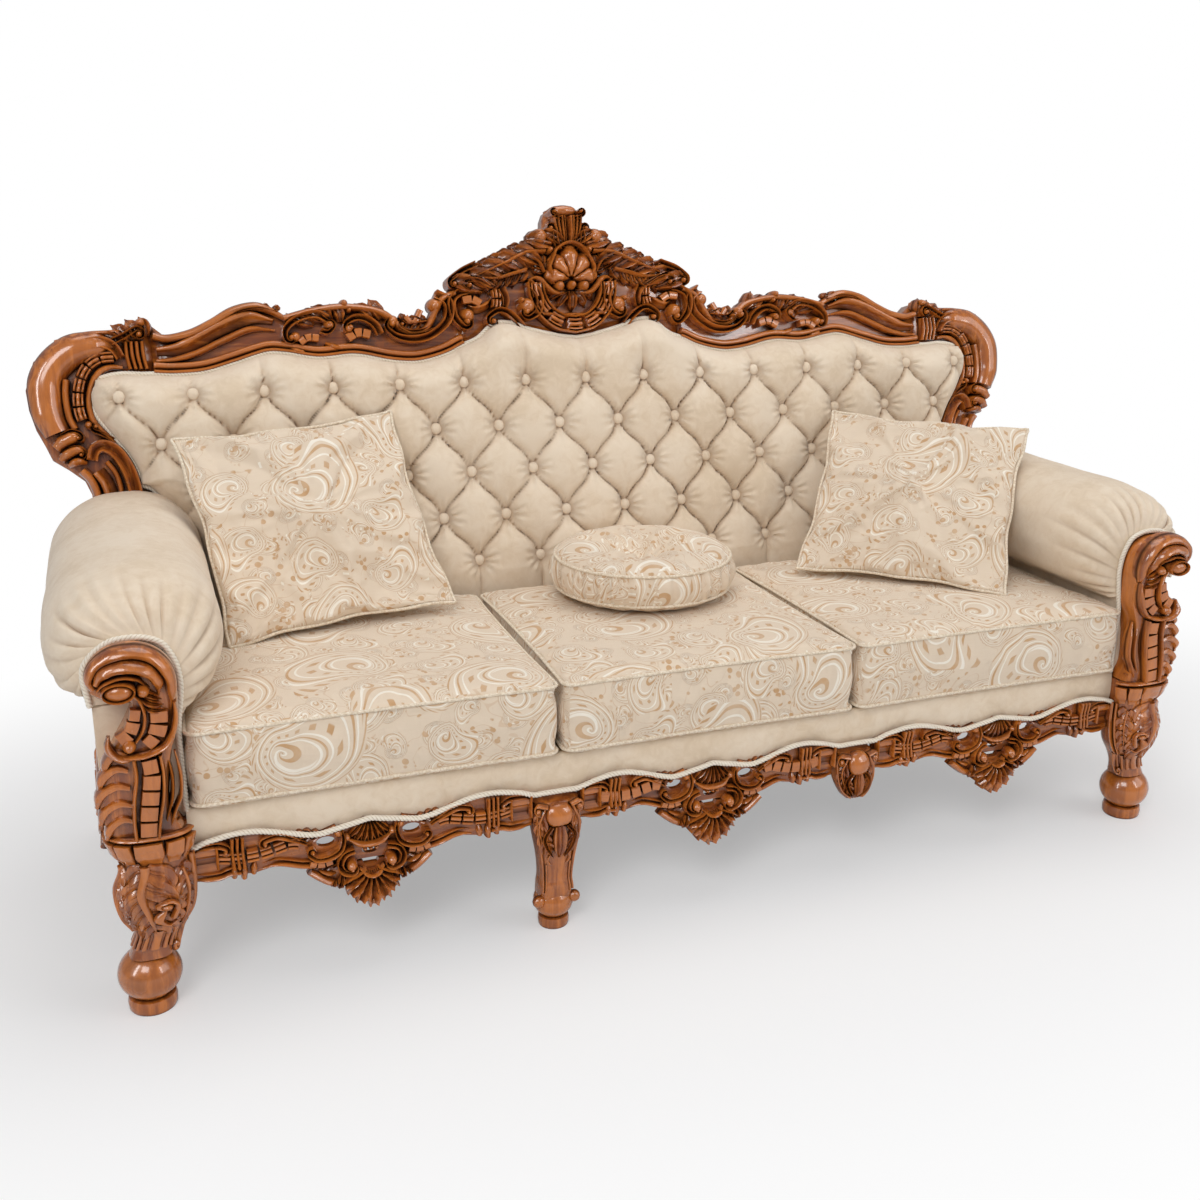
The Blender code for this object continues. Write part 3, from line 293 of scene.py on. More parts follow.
# Front legs: carved walnut cabriole legs on ball feet, with acanthus leaves on the knee.
# Each is one block, bandsawn to its curve, carved with gouges, stained, glazed and polished.
WALNUT_PALE, WALNUT_MID, WALNUT_DEEP = srgb(200, 116, 44), srgb(138, 68, 20), srgb(74, 32, 10)
# Near-black of the glaze in the recesses, also used there as painted shade
GLAZE_AND_SHADE = srgb(17, 5, 2)


def walnut(name, stretch):
    """Polished carved walnut: glaze and painted shade in the recesses, rubbed pale ridges with a painted
    highlight.
    """
    made, tree = new_finish(name)
    wood = use(tree, grain, {"Pale": WALNUT_PALE, "Mid": WALNUT_MID, "Deep": WALNUT_DEEP,
        "Stretch": stretch})
    recess = wire(tree, "ShaderNodeAttribute", attribute_name="recess").outputs["Fac"]
    # Painted shade: the AO node darkens places the carving hides, where shade falls
    occlusion = wire(tree, "ShaderNodeAmbientOcclusion", {"Distance": 0.012}, samples=6).outputs["AO"]
    # The ridges are rubbed pale as wear, and made paler still as a painted highlight
    rubbed_and_highlit = tint(tree, span(tree, recess, 0.30, 0.0, 0, 0.65), wood["Color"], WALNUT_PALE)
    painted_nook_shade = span(tree, occlusion, 0.60, 0.15, 0, 0.95)
    # The recess layer keeps dark glaze in the hollows, and with the AO mask this also paints shade there
    dark = calc(tree, "MAXIMUM", span(tree, recess, 0.45, 0.95, 0, 0.97), painted_nook_shade)
    shine(made, Base_Color=tint(tree, dark, rubbed_and_highlit, GLAZE_AND_SHADE),
        Roughness=calc(tree, "ADD", span(tree, wood["Clouds"], 0.3, 0.7, 0.18, 0.28),
            calc(tree, "MULTIPLY", dark, 0.5)),
        Specular_IOR_Level=calc(tree, "MULTIPLY_ADD", dark, -0.45, 0.5),
        Coat_Weight=calc(tree, "MULTIPLY_ADD", dark, -0.8, 0.8), Coat_Roughness=0.06,
        Normal=bumped(tree, calc(tree, "ADD", wood["Streaks"], wood["Clouds"]), 0.0005))
    return made


walnut_x, walnut_y, walnut_z = (walnut("carved_walnut_" + way, stretch) for way, stretch in (
    ("x", ALONG_X), ("y", ALONG_Y), ("z", ALONG_Z)))

# Sections of mouldings, as shares of the half width and of the height, from edge to edge
ROUND = ((-1, -0.4), (-1, 0.15), (-0.88, 0.55), (-0.5, 0.9), (0, 1), (0.5, 0.9), (0.88, 0.55), (1, 0.15),
    (1, -0.4))
HOLLOW = ((-1, -0.4), (-1, 0.7), (-0.85, 0.98), (-0.62, 0.9), (-0.3, 0.5), (0, 0.38), (0.3, 0.5),
    (0.62, 0.9), (0.85, 0.98), (1, 0.7), (1, -0.4))
COVE = ((-1, -0.4), (-1, 0.2), (-0.7, 0.32), (-0.3, 0.42), (0, 0.62), (0.22, 0.95), (0.5, 1),
        (0.85, 0.9), (1, 0.55), (1, -0.4))
PLATE = ((-1, -0.4), (-1, 0.7), (-0.88, 0.94), (-0.6, 1), (0.6, 1), (0.88, 0.94), (1, 0.7), (1, -0.4))
REEDS = ((-1, -0.4), (-1, 0.6), (-0.8, 0.95), (-0.55, 0.9), (-0.42, 0.55), (-0.2, 0.95), (0, 1),
    (0.2, 0.95), (0.42, 0.55), (0.55, 0.9), (0.8, 0.95), (1, 0.6), (1, -0.4))
LEAF = ((-1, -0.2), (-1, 0.2), (-0.75, 0.75), (-0.42, 0.62), (-0.14, 0.4), (0, 0.75), (0.14, 0.4),
        (0.42, 0.62), (0.75, 0.75), (1, 0.2), (1, -0.2))
# Widths along a moulding, as shares of the full one, from its start to its end
EVEN, TAPERED, LEAFLIKE = (1, 1), (1, 0.85, 0.35), (0.5, 1, 0.85, 0.04)


def mix(a, b, share):
    """The value a share of the way from a to b."""
    return a + (b - a) * share


def along(values, share):
    """Read evenly spaced values at a share of the way along them, with a smooth change."""
    place = min(max(share, 0), 1) * (len(values) - 1)
    i = min(int(place), len(values) - 2)
    t = place - i
    return mix(values[i], values[i + 1], t * t * (3 - 2 * t))


def smooth_line(points, step):
    """Places a step apart on a smooth curve through the points, each with its way and share."""
    points = [Vector(point) for point in points]
    ends = [2 * points[0] - points[1]] + points + [2 * points[-1] - points[-2]]
    dense = []
    for a, b, c, d in zip(ends, ends[1:], ends[2:], ends[3:]):
        for k in range(10):
            t = k / 10
            dense.append((2 * b + (c - a) * t + (2 * a - 5 * b + 4 * c - d) * t * t
                          + (3 * b - a - 3 * c + d) * t ** 3) / 2)
    dense.append(points[-1])
    reach = [0]
    for a, b in zip(dense, dense[1:]):
        reach.append(reach[-1] + (b - a).length)
    count = max(2, round(reach[-1] / step))
    route, i = [], 0
    for k in range(count + 1):
        goal = reach[-1] * k / count
        while i < len(dense) - 2 and reach[i + 1] < goal:
            i += 1
        part = (goal - reach[i]) / max(reach[i + 1] - reach[i], 1e-9)
        way = (dense[min(i + 2, len(dense) - 1)] - dense[max(i - 1, 0)]).normalized()
        route.append((dense[i].lerp(dense[i + 1], min(part, 1)), way, k / count))
    return route


WELD = 1e-5


def new_part():
    """An empty mesh for one part, and its layer for how deep each place lies in the carving, which the
    finishes darken with glaze and painted shade.
    """
    part = bmesh.new()
    return part, part.verts.layers.float.new("recess")


def grid(part, columns, rows):
    """Lay a flat grid in an empty mesh, and go through its places with their shares both ways."""
    bmesh.ops.create_grid(part, x_segments=columns, y_segments=rows, size=1)
    for vert in part.verts:
        yield vert, (vert.co.x + 1) / 2, (vert.co.y + 1) / 2


def join(bm, part):
    """Add one mesh to another, and free it."""
    mesh = bpy.data.meshes.new("part")
    part.to_mesh(mesh)
    part.free()
    bm.from_mesh(mesh)
    bpy.data.meshes.remove(mesh)


def add_part(bm, part):
    """Weld, close and add one carved part to a piece's mesh."""
    bmesh.ops.remove_doubles(part, verts=part.verts, dist=WELD)
    bmesh.ops.dissolve_degenerate(part, edges=part.edges, dist=WELD)
    bmesh.ops.holes_fill(part, edges=[edge for edge in part.edges if edge.is_boundary], sides=0)
    bmesh.ops.recalc_face_normals(part, faces=part.faces)
    join(bm, part)


def sweep(bm, place, line, width, height, section=ROUND, shape=EVEN, base=0.0, rise=None, step=0.004):
    """Carve a moulding along a line of the surface that place puts points on.

    shape gives its width along the line, and rise its height where that differs.
    """
    route = smooth_line(line, step)
    part, depth = new_part()
    for vert, onward, round_it in grid(part, len(route) - 1, len(section)):
        spot, way, share = route[round(onward * (len(route) - 1))]
        out, up = section[round(round_it * len(section)) % len(section)]
        wide = width / 2 * along(shape, share)
        high = height * along(rise or shape, share)
        vert[depth] = max(0, 1 - up) if up > 0 else 0.3
        vert.co = place(spot.x - way.y * out * wide, spot.y + way.x * out * wide, base + up * high)
    add_part(bm, part)


def bead(bm, place, centre, radius, height, base=0.0, squash=1.0, cells=(16, 10)):
    """A carved ball or oval boss."""
    part, depth = new_part()
    bmesh.ops.create_uvsphere(part, u_segments=cells[0], v_segments=cells[1], radius=1)
    for vert in part.verts:
        a, b, c = vert.co
        vert[depth] = min(1, max(0, 0.6 - c))
        vert.co = place(centre[0] + a * radius, centre[1] + b * radius * squash, base + c * height)
    add_part(bm, part)


def curled(line, radius, turns):
    """The line with a spiral on its end, to the left for positive turns, and the spiral's eye."""
    line = [Vector(point) for point in line]
    way = (line[-1] - line[-2]).normalized()
    side = 1 if turns > 0 else -1
    eye = line[-1] + Vector((-way.y, way.x)) * side * radius
    start = line[-1] - eye
    steps = max(3, round(abs(turns) * 9))
    for k in range(1, steps + 1):
        spun = Matrix.Rotation(2 * math.pi * turns * k / steps, 2) @ start
        line.append(eye + spun * (1 - 0.6 * k / steps))
    return line, eye


def scroll(bm, place, line, width, height, curl, turns, base=0.0, section=HOLLOW, shape=TAPERED):
    """A C or S scroll whose end curls round a ball."""
    line, eye = curled(line, curl, turns)
    sweep(bm, place, line, width, height, section, shape, base, rise=(0.8, 1, 0.9, 0.8))
    bead(bm, place, eye, curl * 0.6, height * 1.1, base)


def acanthus(bm, place, line, width, height, lobes, base=0.0, sides=(-1, 1), lean=0.9, spine=0.2):
    """An acanthus leaf: overlapping lobes on both sides of a rib, ending in a curled tip."""
    route = smooth_line(line, 0.002)
    reach = width / 2
    total = sum((b[0] - a[0]).length for a, b in zip(route, route[1:]))
    for side in sides:
        for k in range(lobes):
            share = (k + 0.15) / lobes
            spot, way, _ = route[round(share * (len(route) - 1))]
            long = reach * (0.65 + 0.45 * math.sin(math.pi * (share * 0.75 + 0.2)))
            out = Vector((-way.y, way.x)) * side
            first = spot + (out * 0.55 + way * 0.45 * lean) * long
            tip = spot + (out * 0.98 + way * 1.25 * lean) * long
            sweep(bm, place, (spot, first, tip), total / lobes * 1.25, height * 0.8, LEAF,
                  (0.75, 1, 0.9, 0.1), base, rise=(0.7, 0.9, 1.0, 0.5), step=0.003)
    sweep(bm, place, line, width * spine, height, ROUND, (1, 0.9, 0.6, 0.15), base, rise=(0.8, 1, 1, 0.8))


def plates(bm, place, line, width, height, count, base=0.0, section=PLATE, shape=EVEN):
    """A row of raised plates along a line, with a narrow gap between them."""
    gap = 0.16
    route = smooth_line(line, 0.001)
    for k in range(count):
        ends = [route[round(mix(k + gap / 2, k + 1 - gap / 2, t) / count * (len(route) - 1))]
                for t in (0, 0.5, 1)]
        size = along(shape, (k + 0.5) / count)
        sweep(bm, place, [end[0] for end in ends], width * size, height, section, EVEN, base)


def fan(bm, place, centre, inner, outer, start, stop, count, height, base=0.0, section=ROUND, crown=0.0):
    """Flutes that spread from a centre, between two angles in degrees from straight up."""
    for k in range(count):
        angle = math.radians(mix(start, stop, (k + 0.5) / count))
        way = Vector((math.sin(angle), math.cos(angle)))
        middle = 1 - abs(2 * (k + 0.5) / count - 1)
        reach = outer * (1 + crown * middle)
        wide = abs(math.radians(stop - start)) / count * reach
        sweep(bm, place, (Vector(centre) + way * inner, Vector(centre) + way * mix(inner, reach, 0.5),
            Vector(centre) + way * reach), wide, height, section, (max(inner / reach, 0.2), 0.62, 1, 0.7),
            base, rise=(0.7, 1, 1, 0.7), step=0.003)


def finish_piece(name, bm, material, body, stands_for=(), crease=40):
    """Make a named piece from a mesh, ride it on its body and put it in its slot."""
    mesh = bpy.data.meshes.new(name)
    bm.to_mesh(mesh)
    bm.free()
    mesh.shade_smooth()
    mesh.set_sharp_from_angle(angle=math.radians(crease))
    mesh.materials.append(material)
    made = bpy.data.objects.new(name, mesh)
    bpy.context.collection.objects.link(made)
    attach(made, body)
    if stands_for:
        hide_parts(*stands_for)
    return made


def mirror(bm, middle=0.0):
    """Turn a mesh into its mirror image over the upright plane at a place across the sofa."""
    there = Matrix.Translation((middle, 0, 0))
    bmesh.ops.transform(bm, matrix=there @ Matrix.Diagonal((-1, 1, 1, 1)) @ there.inverted(), verts=bm.verts)
    bmesh.ops.reverse_faces(bm, faces=bm.faces)


def hand_of(bm, side):
    """The right-hand mesh as it is, or turned into the left-hand one."""
    if side < 0:
        mirror(bm)
    return bm


def sided(way, line):
    """A line drawn on the right of the middle, put on the side that way says."""
    return [(way * x, z) for x, z in line]


HANDS = ((-1, "left"), (1, "right"))

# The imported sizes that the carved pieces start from
rail_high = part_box("seat_rail_front")[1]
RAIL_TOP, RAIL_BACK_Y, LEG_INNER_X = rail_high.z, rail_high.y, rail_high.x
LEG_WIDTH, LEG_DEPTH = 0.105, 0.084
LEG_ROUND = 0.045
# Height, then inner x, outer x, front and back of the leg, as shares of its width and depth
leg_shares = ((0.30, 0.36, 0.98, 0.22, 0.92), (0.38, 0.33, 0.88, 0.26, 0.86),
    (0.45, 0.26, 0.82, 0.20, 0.88), (0.56, 0.07, 0.94, 0.02, 0.94),
    (0.70, 0.01, 0.98, -0.04, 0.96), (0.81, 0.01, 0.90, 0.02, 0.98),
    (0.90, 0.00, 0.97, 0.03, 1.00), (1.00, 0.00, 0.99, 0.04, 1.00))


def read_smooth(table, place):
    """Read rows of (place, values…) at a place between them, on a smooth curve."""
    i = 0
    while i < len(table) - 2 and place > table[i + 1][0]:
        i += 1
    a, b = table[i], table[i + 1]
    before, after = table[max(i - 1, 0)], table[min(i + 2, len(table) - 1)]
    t = min(1, max(0, (place - a[0]) / (b[0] - a[0])))
    values = []
    for k in range(1, len(a)):
        start = (b[k] - before[k]) / (b[0] - before[0]) * (b[0] - a[0])
        stop = (after[k] - a[k]) / (after[0] - a[0]) * (b[0] - a[0])
        values.append((2 * t ** 3 - 3 * t * t + 1) * a[k] + (t ** 3 - 2 * t * t + t) * start
                      + (3 * t * t - 2 * t ** 3) * b[k] + (t ** 3 - t * t) * stop)
    return values


def leg_face(stations, bluntness):
    """A function that puts (distance round, height, distance out) on a leg's surface."""
    def place(around, z, out):
        x0, x1, y0, y1 = read_smooth(stations, z)
        angle = around / LEG_ROUND
        s, c = math.sin(angle), math.cos(angle)
        dx = math.copysign(abs(s) ** bluntness, s)
        dy = math.copysign(abs(c) ** bluntness, c)
        return Vector(((x0 + x1) / 2 + dx * (x1 - x0) / 2 + s * out,
            (y0 + y1) / 2 - dy * (y1 - y0) / 2 - c * out, z))
    return place


def leg_block(bm, place, low, high, shade=0.25, rows=48, columns=36):
    """The block of a leg under its carving."""
    part, depth = new_part()
    for vert, up, _ in grid(part, rows, columns):
        vert.co = place(vert.co.y * math.pi * LEG_ROUND, mix(low, high, up), 0)
        vert[depth] = shade
    add_part(bm, part)


def turned(bm, centre, profile):
    """A turned part: a profile of (radius, height) spun round an upright line."""
    part, depth = new_part()
    made = [part.verts.new((radius, 0, z)) for radius, z in profile]
    line = [part.edges.new(pair) for pair in zip(made, made[1:])]
    bmesh.ops.spin(part, geom=made + line, cent=(0, 0, 0), axis=(0, 0, 1), angle=2 * math.pi, steps=40,
        use_merge=True)
    bmesh.ops.translate(part, vec=centre, verts=part.verts)
    for vert in part.verts:
        vert[depth] = 0.2
    add_part(bm, part)


def ball_foot(bm, centre, radius, squash, disc):
    """A ball foot on its turned disc."""
    part, depth = new_part()
    bmesh.ops.create_uvsphere(part, u_segments=40, v_segments=24, radius=radius)
    bmesh.ops.scale(part, vec=(1, 1, squash), verts=part.verts)
    bmesh.ops.translate(part, vec=centre, verts=part.verts)
    for vert in part.verts:
        vert[depth] = 0.12
    add_part(bm, part)
    tall = centre[2] - 0.82 * radius * squash
    turned(bm, (centre[0], centre[1], 0), ((0, 0), (disc * 0.95, 0), (disc, 0.003),
        (disc * 1.02, tall * 0.6), (disc * 0.97, tall * 0.9), (disc * 0.8, tall), (0, tall)))


stations = [(z * RAIL_TOP, LEG_INNER_X + x0 * LEG_WIDTH, LEG_INNER_X + x1 * LEG_WIDTH,
    RAIL_BACK_Y - LEG_DEPTH + y0 * LEG_DEPTH, RAIL_BACK_Y - LEG_DEPTH + y1 * LEG_DEPTH)
    for z, x0, x1, y0, y1 in leg_shares]
BALL_CENTRE, BALL_RADIUS, BALL_SQUASH, FOOT_DISC = (0.9395, -0.3790, 0.0590), 0.0475, 0.90, 0.0360
on_leg = leg_face(stations, 0.72)
for side, hand in HANDS:
    bm = bmesh.new()
    leg_block(bm, on_leg, 0.095, RAIL_TOP - 0.001)
    ball_foot(bm, BALL_CENTRE, BALL_RADIUS, BALL_SQUASH, FOOT_DISC)
    # Acanthus leaves down the knee, one on the corner and one on each side of it
    acanthus(bm, on_leg, ((0.010, 0.262), (0.014, 0.225), (0.006, 0.180), (0.002, 0.146)), 0.066, 0.011, 5,
        base=0.001)
    acanthus(bm, on_leg, ((0.060, 0.256), (0.066, 0.220), (0.056, 0.180), (0.046, 0.148)), 0.044, 0.010, 5,
        base=0.001)
    acanthus(bm, on_leg, ((0.112, 0.256), (0.112, 0.215), (0.100, 0.170)), 0.046, 0.008, 4, base=0.001)
    acanthus(bm, on_leg, ((-0.028, 0.250), (-0.036, 0.215), (-0.030, 0.160)), 0.030, 0.009, 4, base=0.001)
    # A small curl in the middle, over the spoon-shaped end of the leaf
    scroll(bm, on_leg, ((-0.012, 0.176), (-0.016, 0.196)), 0.008, 0.014, 0.010, -0.8, 0.004, ROUND)
    sweep(bm, on_leg, ((-0.006, 0.196), (0.000, 0.176), (-0.008, 0.162), (-0.018, 0.168)),
          0.008, 0.013, ROUND, (0.5, 1, 0.8, 0.5), 0.004)
    # Fillets down the inner side and vertical flutes round the ankle
    for around in (-0.062, -0.052):
        sweep(bm, on_leg, ((around, 0.262), (around - 0.003, 0.21), (around + 0.006, 0.15)),
              0.006, 0.008, ROUND)
    for k in range(9):
        around = mix(-0.055, 0.090, k / 8)
        sweep(bm, on_leg, ((around, 0.146), (around * 0.97, 0.128), (around * 0.95, 0.112)),
              0.0135, 0.0045, ROUND, (1, 0.9, 1))
    scroll(bm, on_leg, ((-0.058, 0.150), (-0.060, 0.125), (-0.056, 0.108)), 0.011, 0.010, 0.009,
           0.8, 0.002, ROUND)
    # The collar of faceted petals where the post grows out of the knee
    for k in range(8):
        around = mix(-0.045, 0.125, k / 7)
        top = 0.300 - 0.05 * max(0, -around)
        sweep(bm, on_leg, ((around, top), (around, 0.282), (around + 0.001, 0.262)), 0.0235, 0.012,
              PLATE, (0.9, 1, 0.75), 0.0, rise=(1.3, 0.9, 0.15))
    sweep(bm, on_leg, ((-0.056, 0.304), (0, 0.306), (0.06, 0.306), (0.135, 0.304)), 0.008, 0.012,
          ROUND, base=0.0)
    finish_piece("carved_leg_" + hand, hand_of(bm, side), walnut_z, "root", ["front_leg_" + hand])

# Middle supports: left of the middle a full carved leg on a small ball, right of it a pendant.
# Both are walnut blocks glued behind the apron joints, and carved with the same bud.
MIDDLE_X, MIDDLE_WIDTH, MIDDLE_DEPTH = 0.285, 0.082, 0.058
PENDANT_WIDTH = 0.074
middle_front = RAIL_BACK_Y - MIDDLE_DEPTH
middle_shares = ((0.200, 0.36, 0.10, 1.06), (0.330, 0.35, 0.06, 0.98), (0.400, 0.33, 0.12, 0.92),
    (0.540, 0.36, 0.04, 0.90), (0.780, 0.47, -0.08, 0.96), (1.000, 0.49, 0.02, 1.00))
middle_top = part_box("middle_leg")[1].z
stations = [(z * middle_top, MIDDLE_X - half * MIDDLE_WIDTH, MIDDLE_X + half * MIDDLE_WIDTH,
    middle_front + y0 * MIDDLE_DEPTH, middle_front + y1 * MIDDLE_DEPTH)
    for z, half, y0, y1 in middle_shares]
on_middle = leg_face(stations, 0.55)
MIDDLE_BALL = (MIDDLE_X, -0.371, 0.046)


def bud(bm, place, top, foot, width, height):
    """A hanging acanthus bud: an oval drop, leaves beside it and a ribbed leaf below."""
    tall = top - foot
    bead(bm, place, (0, top - 0.18 * tall), width * 0.20, height * 1.5, 0.0, 1.35)
    for side in (-1, 1):
        acanthus(bm, place, ((side * width * 0.20, top - 0.05 * tall),
            (side * width * 0.40, top - 0.40 * tall), (side * width * 0.22, top - 0.86 * tall)),
            width * 0.42, height, 5)
        scroll(bm, place, ((side * width * 0.14, top - 0.02 * tall),
            (side * width * 0.34, top + 0.02 * tall)), width * 0.1, height * 1.2, width * 0.12, -side * 0.9,
            0.002, ROUND)
    for lean in (-0.16, 0, 0.16):
        sweep(bm, place, ((lean * width * 0.5, top - 0.38 * tall), (lean * width * 1.6, top - 0.62 * tall),
            (lean * width * 0.4, foot)), width * 0.15, height * 1.3, LEAF, LEAFLIKE, rise=(0.8, 1, 1, 0.4))


bm = bmesh.new()
leg_block(bm, on_middle, 0.060, middle_top - 0.0005)
ball_foot(bm, MIDDLE_BALL, 0.0345, 0.92, 0.0265)
bud(bm, on_middle, middle_top - 0.004, 0.142, 0.078, 0.010)
for side in (-1, 1):
    sweep(bm, on_middle, sided(side, ((0.036, 0.235), (0.037, 0.18), (0.035, 0.12), (0.034, 0.075))), 0.007,
        0.006, ROUND)
    sweep(bm, on_middle, sided(side, ((0.024, 0.13), (0.024, 0.10), (0.026, 0.072))), 0.005, 0.004, ROUND)
    bead(bm, lambda x, z, out: Vector((MIDDLE_X + x, MIDDLE_BALL[1] - 0.018 - out, z)),
         (side * 0.0315, 0.055), 0.011, 0.010)
    sweep(bm, on_middle, sided(side, ((0.010, 0.150), (0.018, 0.138), (0.008, 0.126))),
          0.006, 0.006, ROUND, LEAFLIKE)
finish_piece("carved_middle_leg", hand_of(bm, -1), walnut_z, "root", ["middle_leg"])

pendant_low, pendant_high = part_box("middle_pendant")
pendant_shares = ((0.00, 0.16, 0.10, 0.44), (0.10, 0.28, -0.02, 0.58), (0.38, 0.42, -0.08, 0.82),
    (0.70, 0.46, -0.05, 0.94), (1.00, 0.49, 0.02, 1.00))
stations = [(mix(pendant_low.z, pendant_high.z, z), MIDDLE_X - half * PENDANT_WIDTH,
    MIDDLE_X + half * PENDANT_WIDTH, middle_front + y0 * MIDDLE_DEPTH, middle_front + y1 * MIDDLE_DEPTH)
    for z, half, y0, y1 in pendant_shares]
on_pendant = leg_face(stations, 0.6)
bm = bmesh.new()
leg_block(bm, on_pendant, pendant_low.z + 0.001, pendant_high.z - 0.0005, 0.5)
bud(bm, on_pendant, pendant_high.z - 0.004, pendant_low.z + 0.004, 0.086, 0.011)
for side in (-1, 1):
    sweep(bm, on_pendant, sided(side, ((0.046, 0.238), (0.047, 0.205), (0.040, 0.175), (0.016, 0.158))),
        0.008, 0.009, ROUND)
finish_piece("carved_pendant", bm, walnut_z, "root", ["middle_pendant"])

# Rear legs: walnut legs that run up past the rail as the stiles of the back, splayed at the foot.
# Sawn from one plank each, spokeshaved round, polished below the rail and raw behind the cloth.
for side, hand in HANDS:
    levels = {}
    for vert in nodes["rear_leg_right"].data.vertices:
        levels.setdefault(round(vert.co.z, 3), []).append(vert.co)
    stations = [(z, min(p.x for p in ring), max(p.x for p in ring), min(p.y for p in ring),
        max(p.y for p in ring)) for z, ring in sorted(levels.items())]
    on_rear = leg_face(stations, 0.42)
    bm = bmesh.new()
    leg_block(bm, on_rear, stations[0][0], stations[-1][0], 0.1, 90, 40)
    # A leaf hangs down the outer side, between two fillets
    acanthus(bm, on_rear, ((0.070, 0.255), (0.070, 0.21), (0.070, 0.165)), 0.050, 0.007, 4, base=0.001)
    for around in (0.040, 0.100):
        sweep(bm, on_rear, ((around, 0.262), (around, 0.19), (around, 0.10), (around, 0.02)),
              0.006, 0.004, ROUND)
    finish_piece("shaped_rear_leg_" + hand, hand_of(bm, side), walnut_z, "root", ["rear_leg_" + hand])

# Carved aprons and hanging shells: pierced walnut boards screwed to the front rail.
# Each bay mirrors about its shell: plates and reeds, C scrolls round a slot, and a fluted shell.
BAYS = ("left", "centre", "right")
CARVED_BACK_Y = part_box("apron_centre")[1].y
APRON_BASE = 0.010
SHELL_BASE = 0.012
# The rope line over a bay and the apron's foot under it: share of the half bay, and height
rope_line_heights = ((0, 0.261), (0.18, 0.252), (0.31, 0.247), (0.44, 0.255), (0.62, 0.268), (0.76, 0.270),
    (0.91, 0.263), (1.0, 0.255))
apron_foot_heights = ((0, 0.192), (0.30, 0.191), (0.37, 0.192), (0.45, 0.199), (0.53, 0.205), (0.67, 0.198),
    (0.78, 0.204), (0.88, 0.196), (1.0, 0.200))


def board(bm, place, outline, holes, back, front):
    """A flat board with pierced openings: its outline is filled, then drawn out to its thickness."""
    part, depth = new_part()
    edges = []
    for loop in [outline] + list(holes):
        made = [part.verts.new((x, y, 0)) for x, y in loop]
        edges += [part.edges.new(pair) for pair in zip(made, made[1:] + made[:1])]
    bmesh.ops.triangle_fill(part, edges=edges, use_beauty=True)
    drawn = bmesh.ops.extrude_face_region(part, geom=part.faces[:])["geom"]
    raised = {vert for vert in drawn if isinstance(vert, bmesh.types.BMVert)}
    for vert in part.verts:
        top = vert in raised
        vert[depth] = 0.55 if top else 0.2
        vert.co = place(vert.co.x, vert.co.y, front if top else back)
    add_part(bm, part)


def oval(x, z, half_width, half_height, count=16):
    """Points round an oval opening."""
    return [(x + half_width * math.cos(2 * math.pi * k / count),
        z + half_height * math.sin(2 * math.pi * k / count)) for k in range(count)]


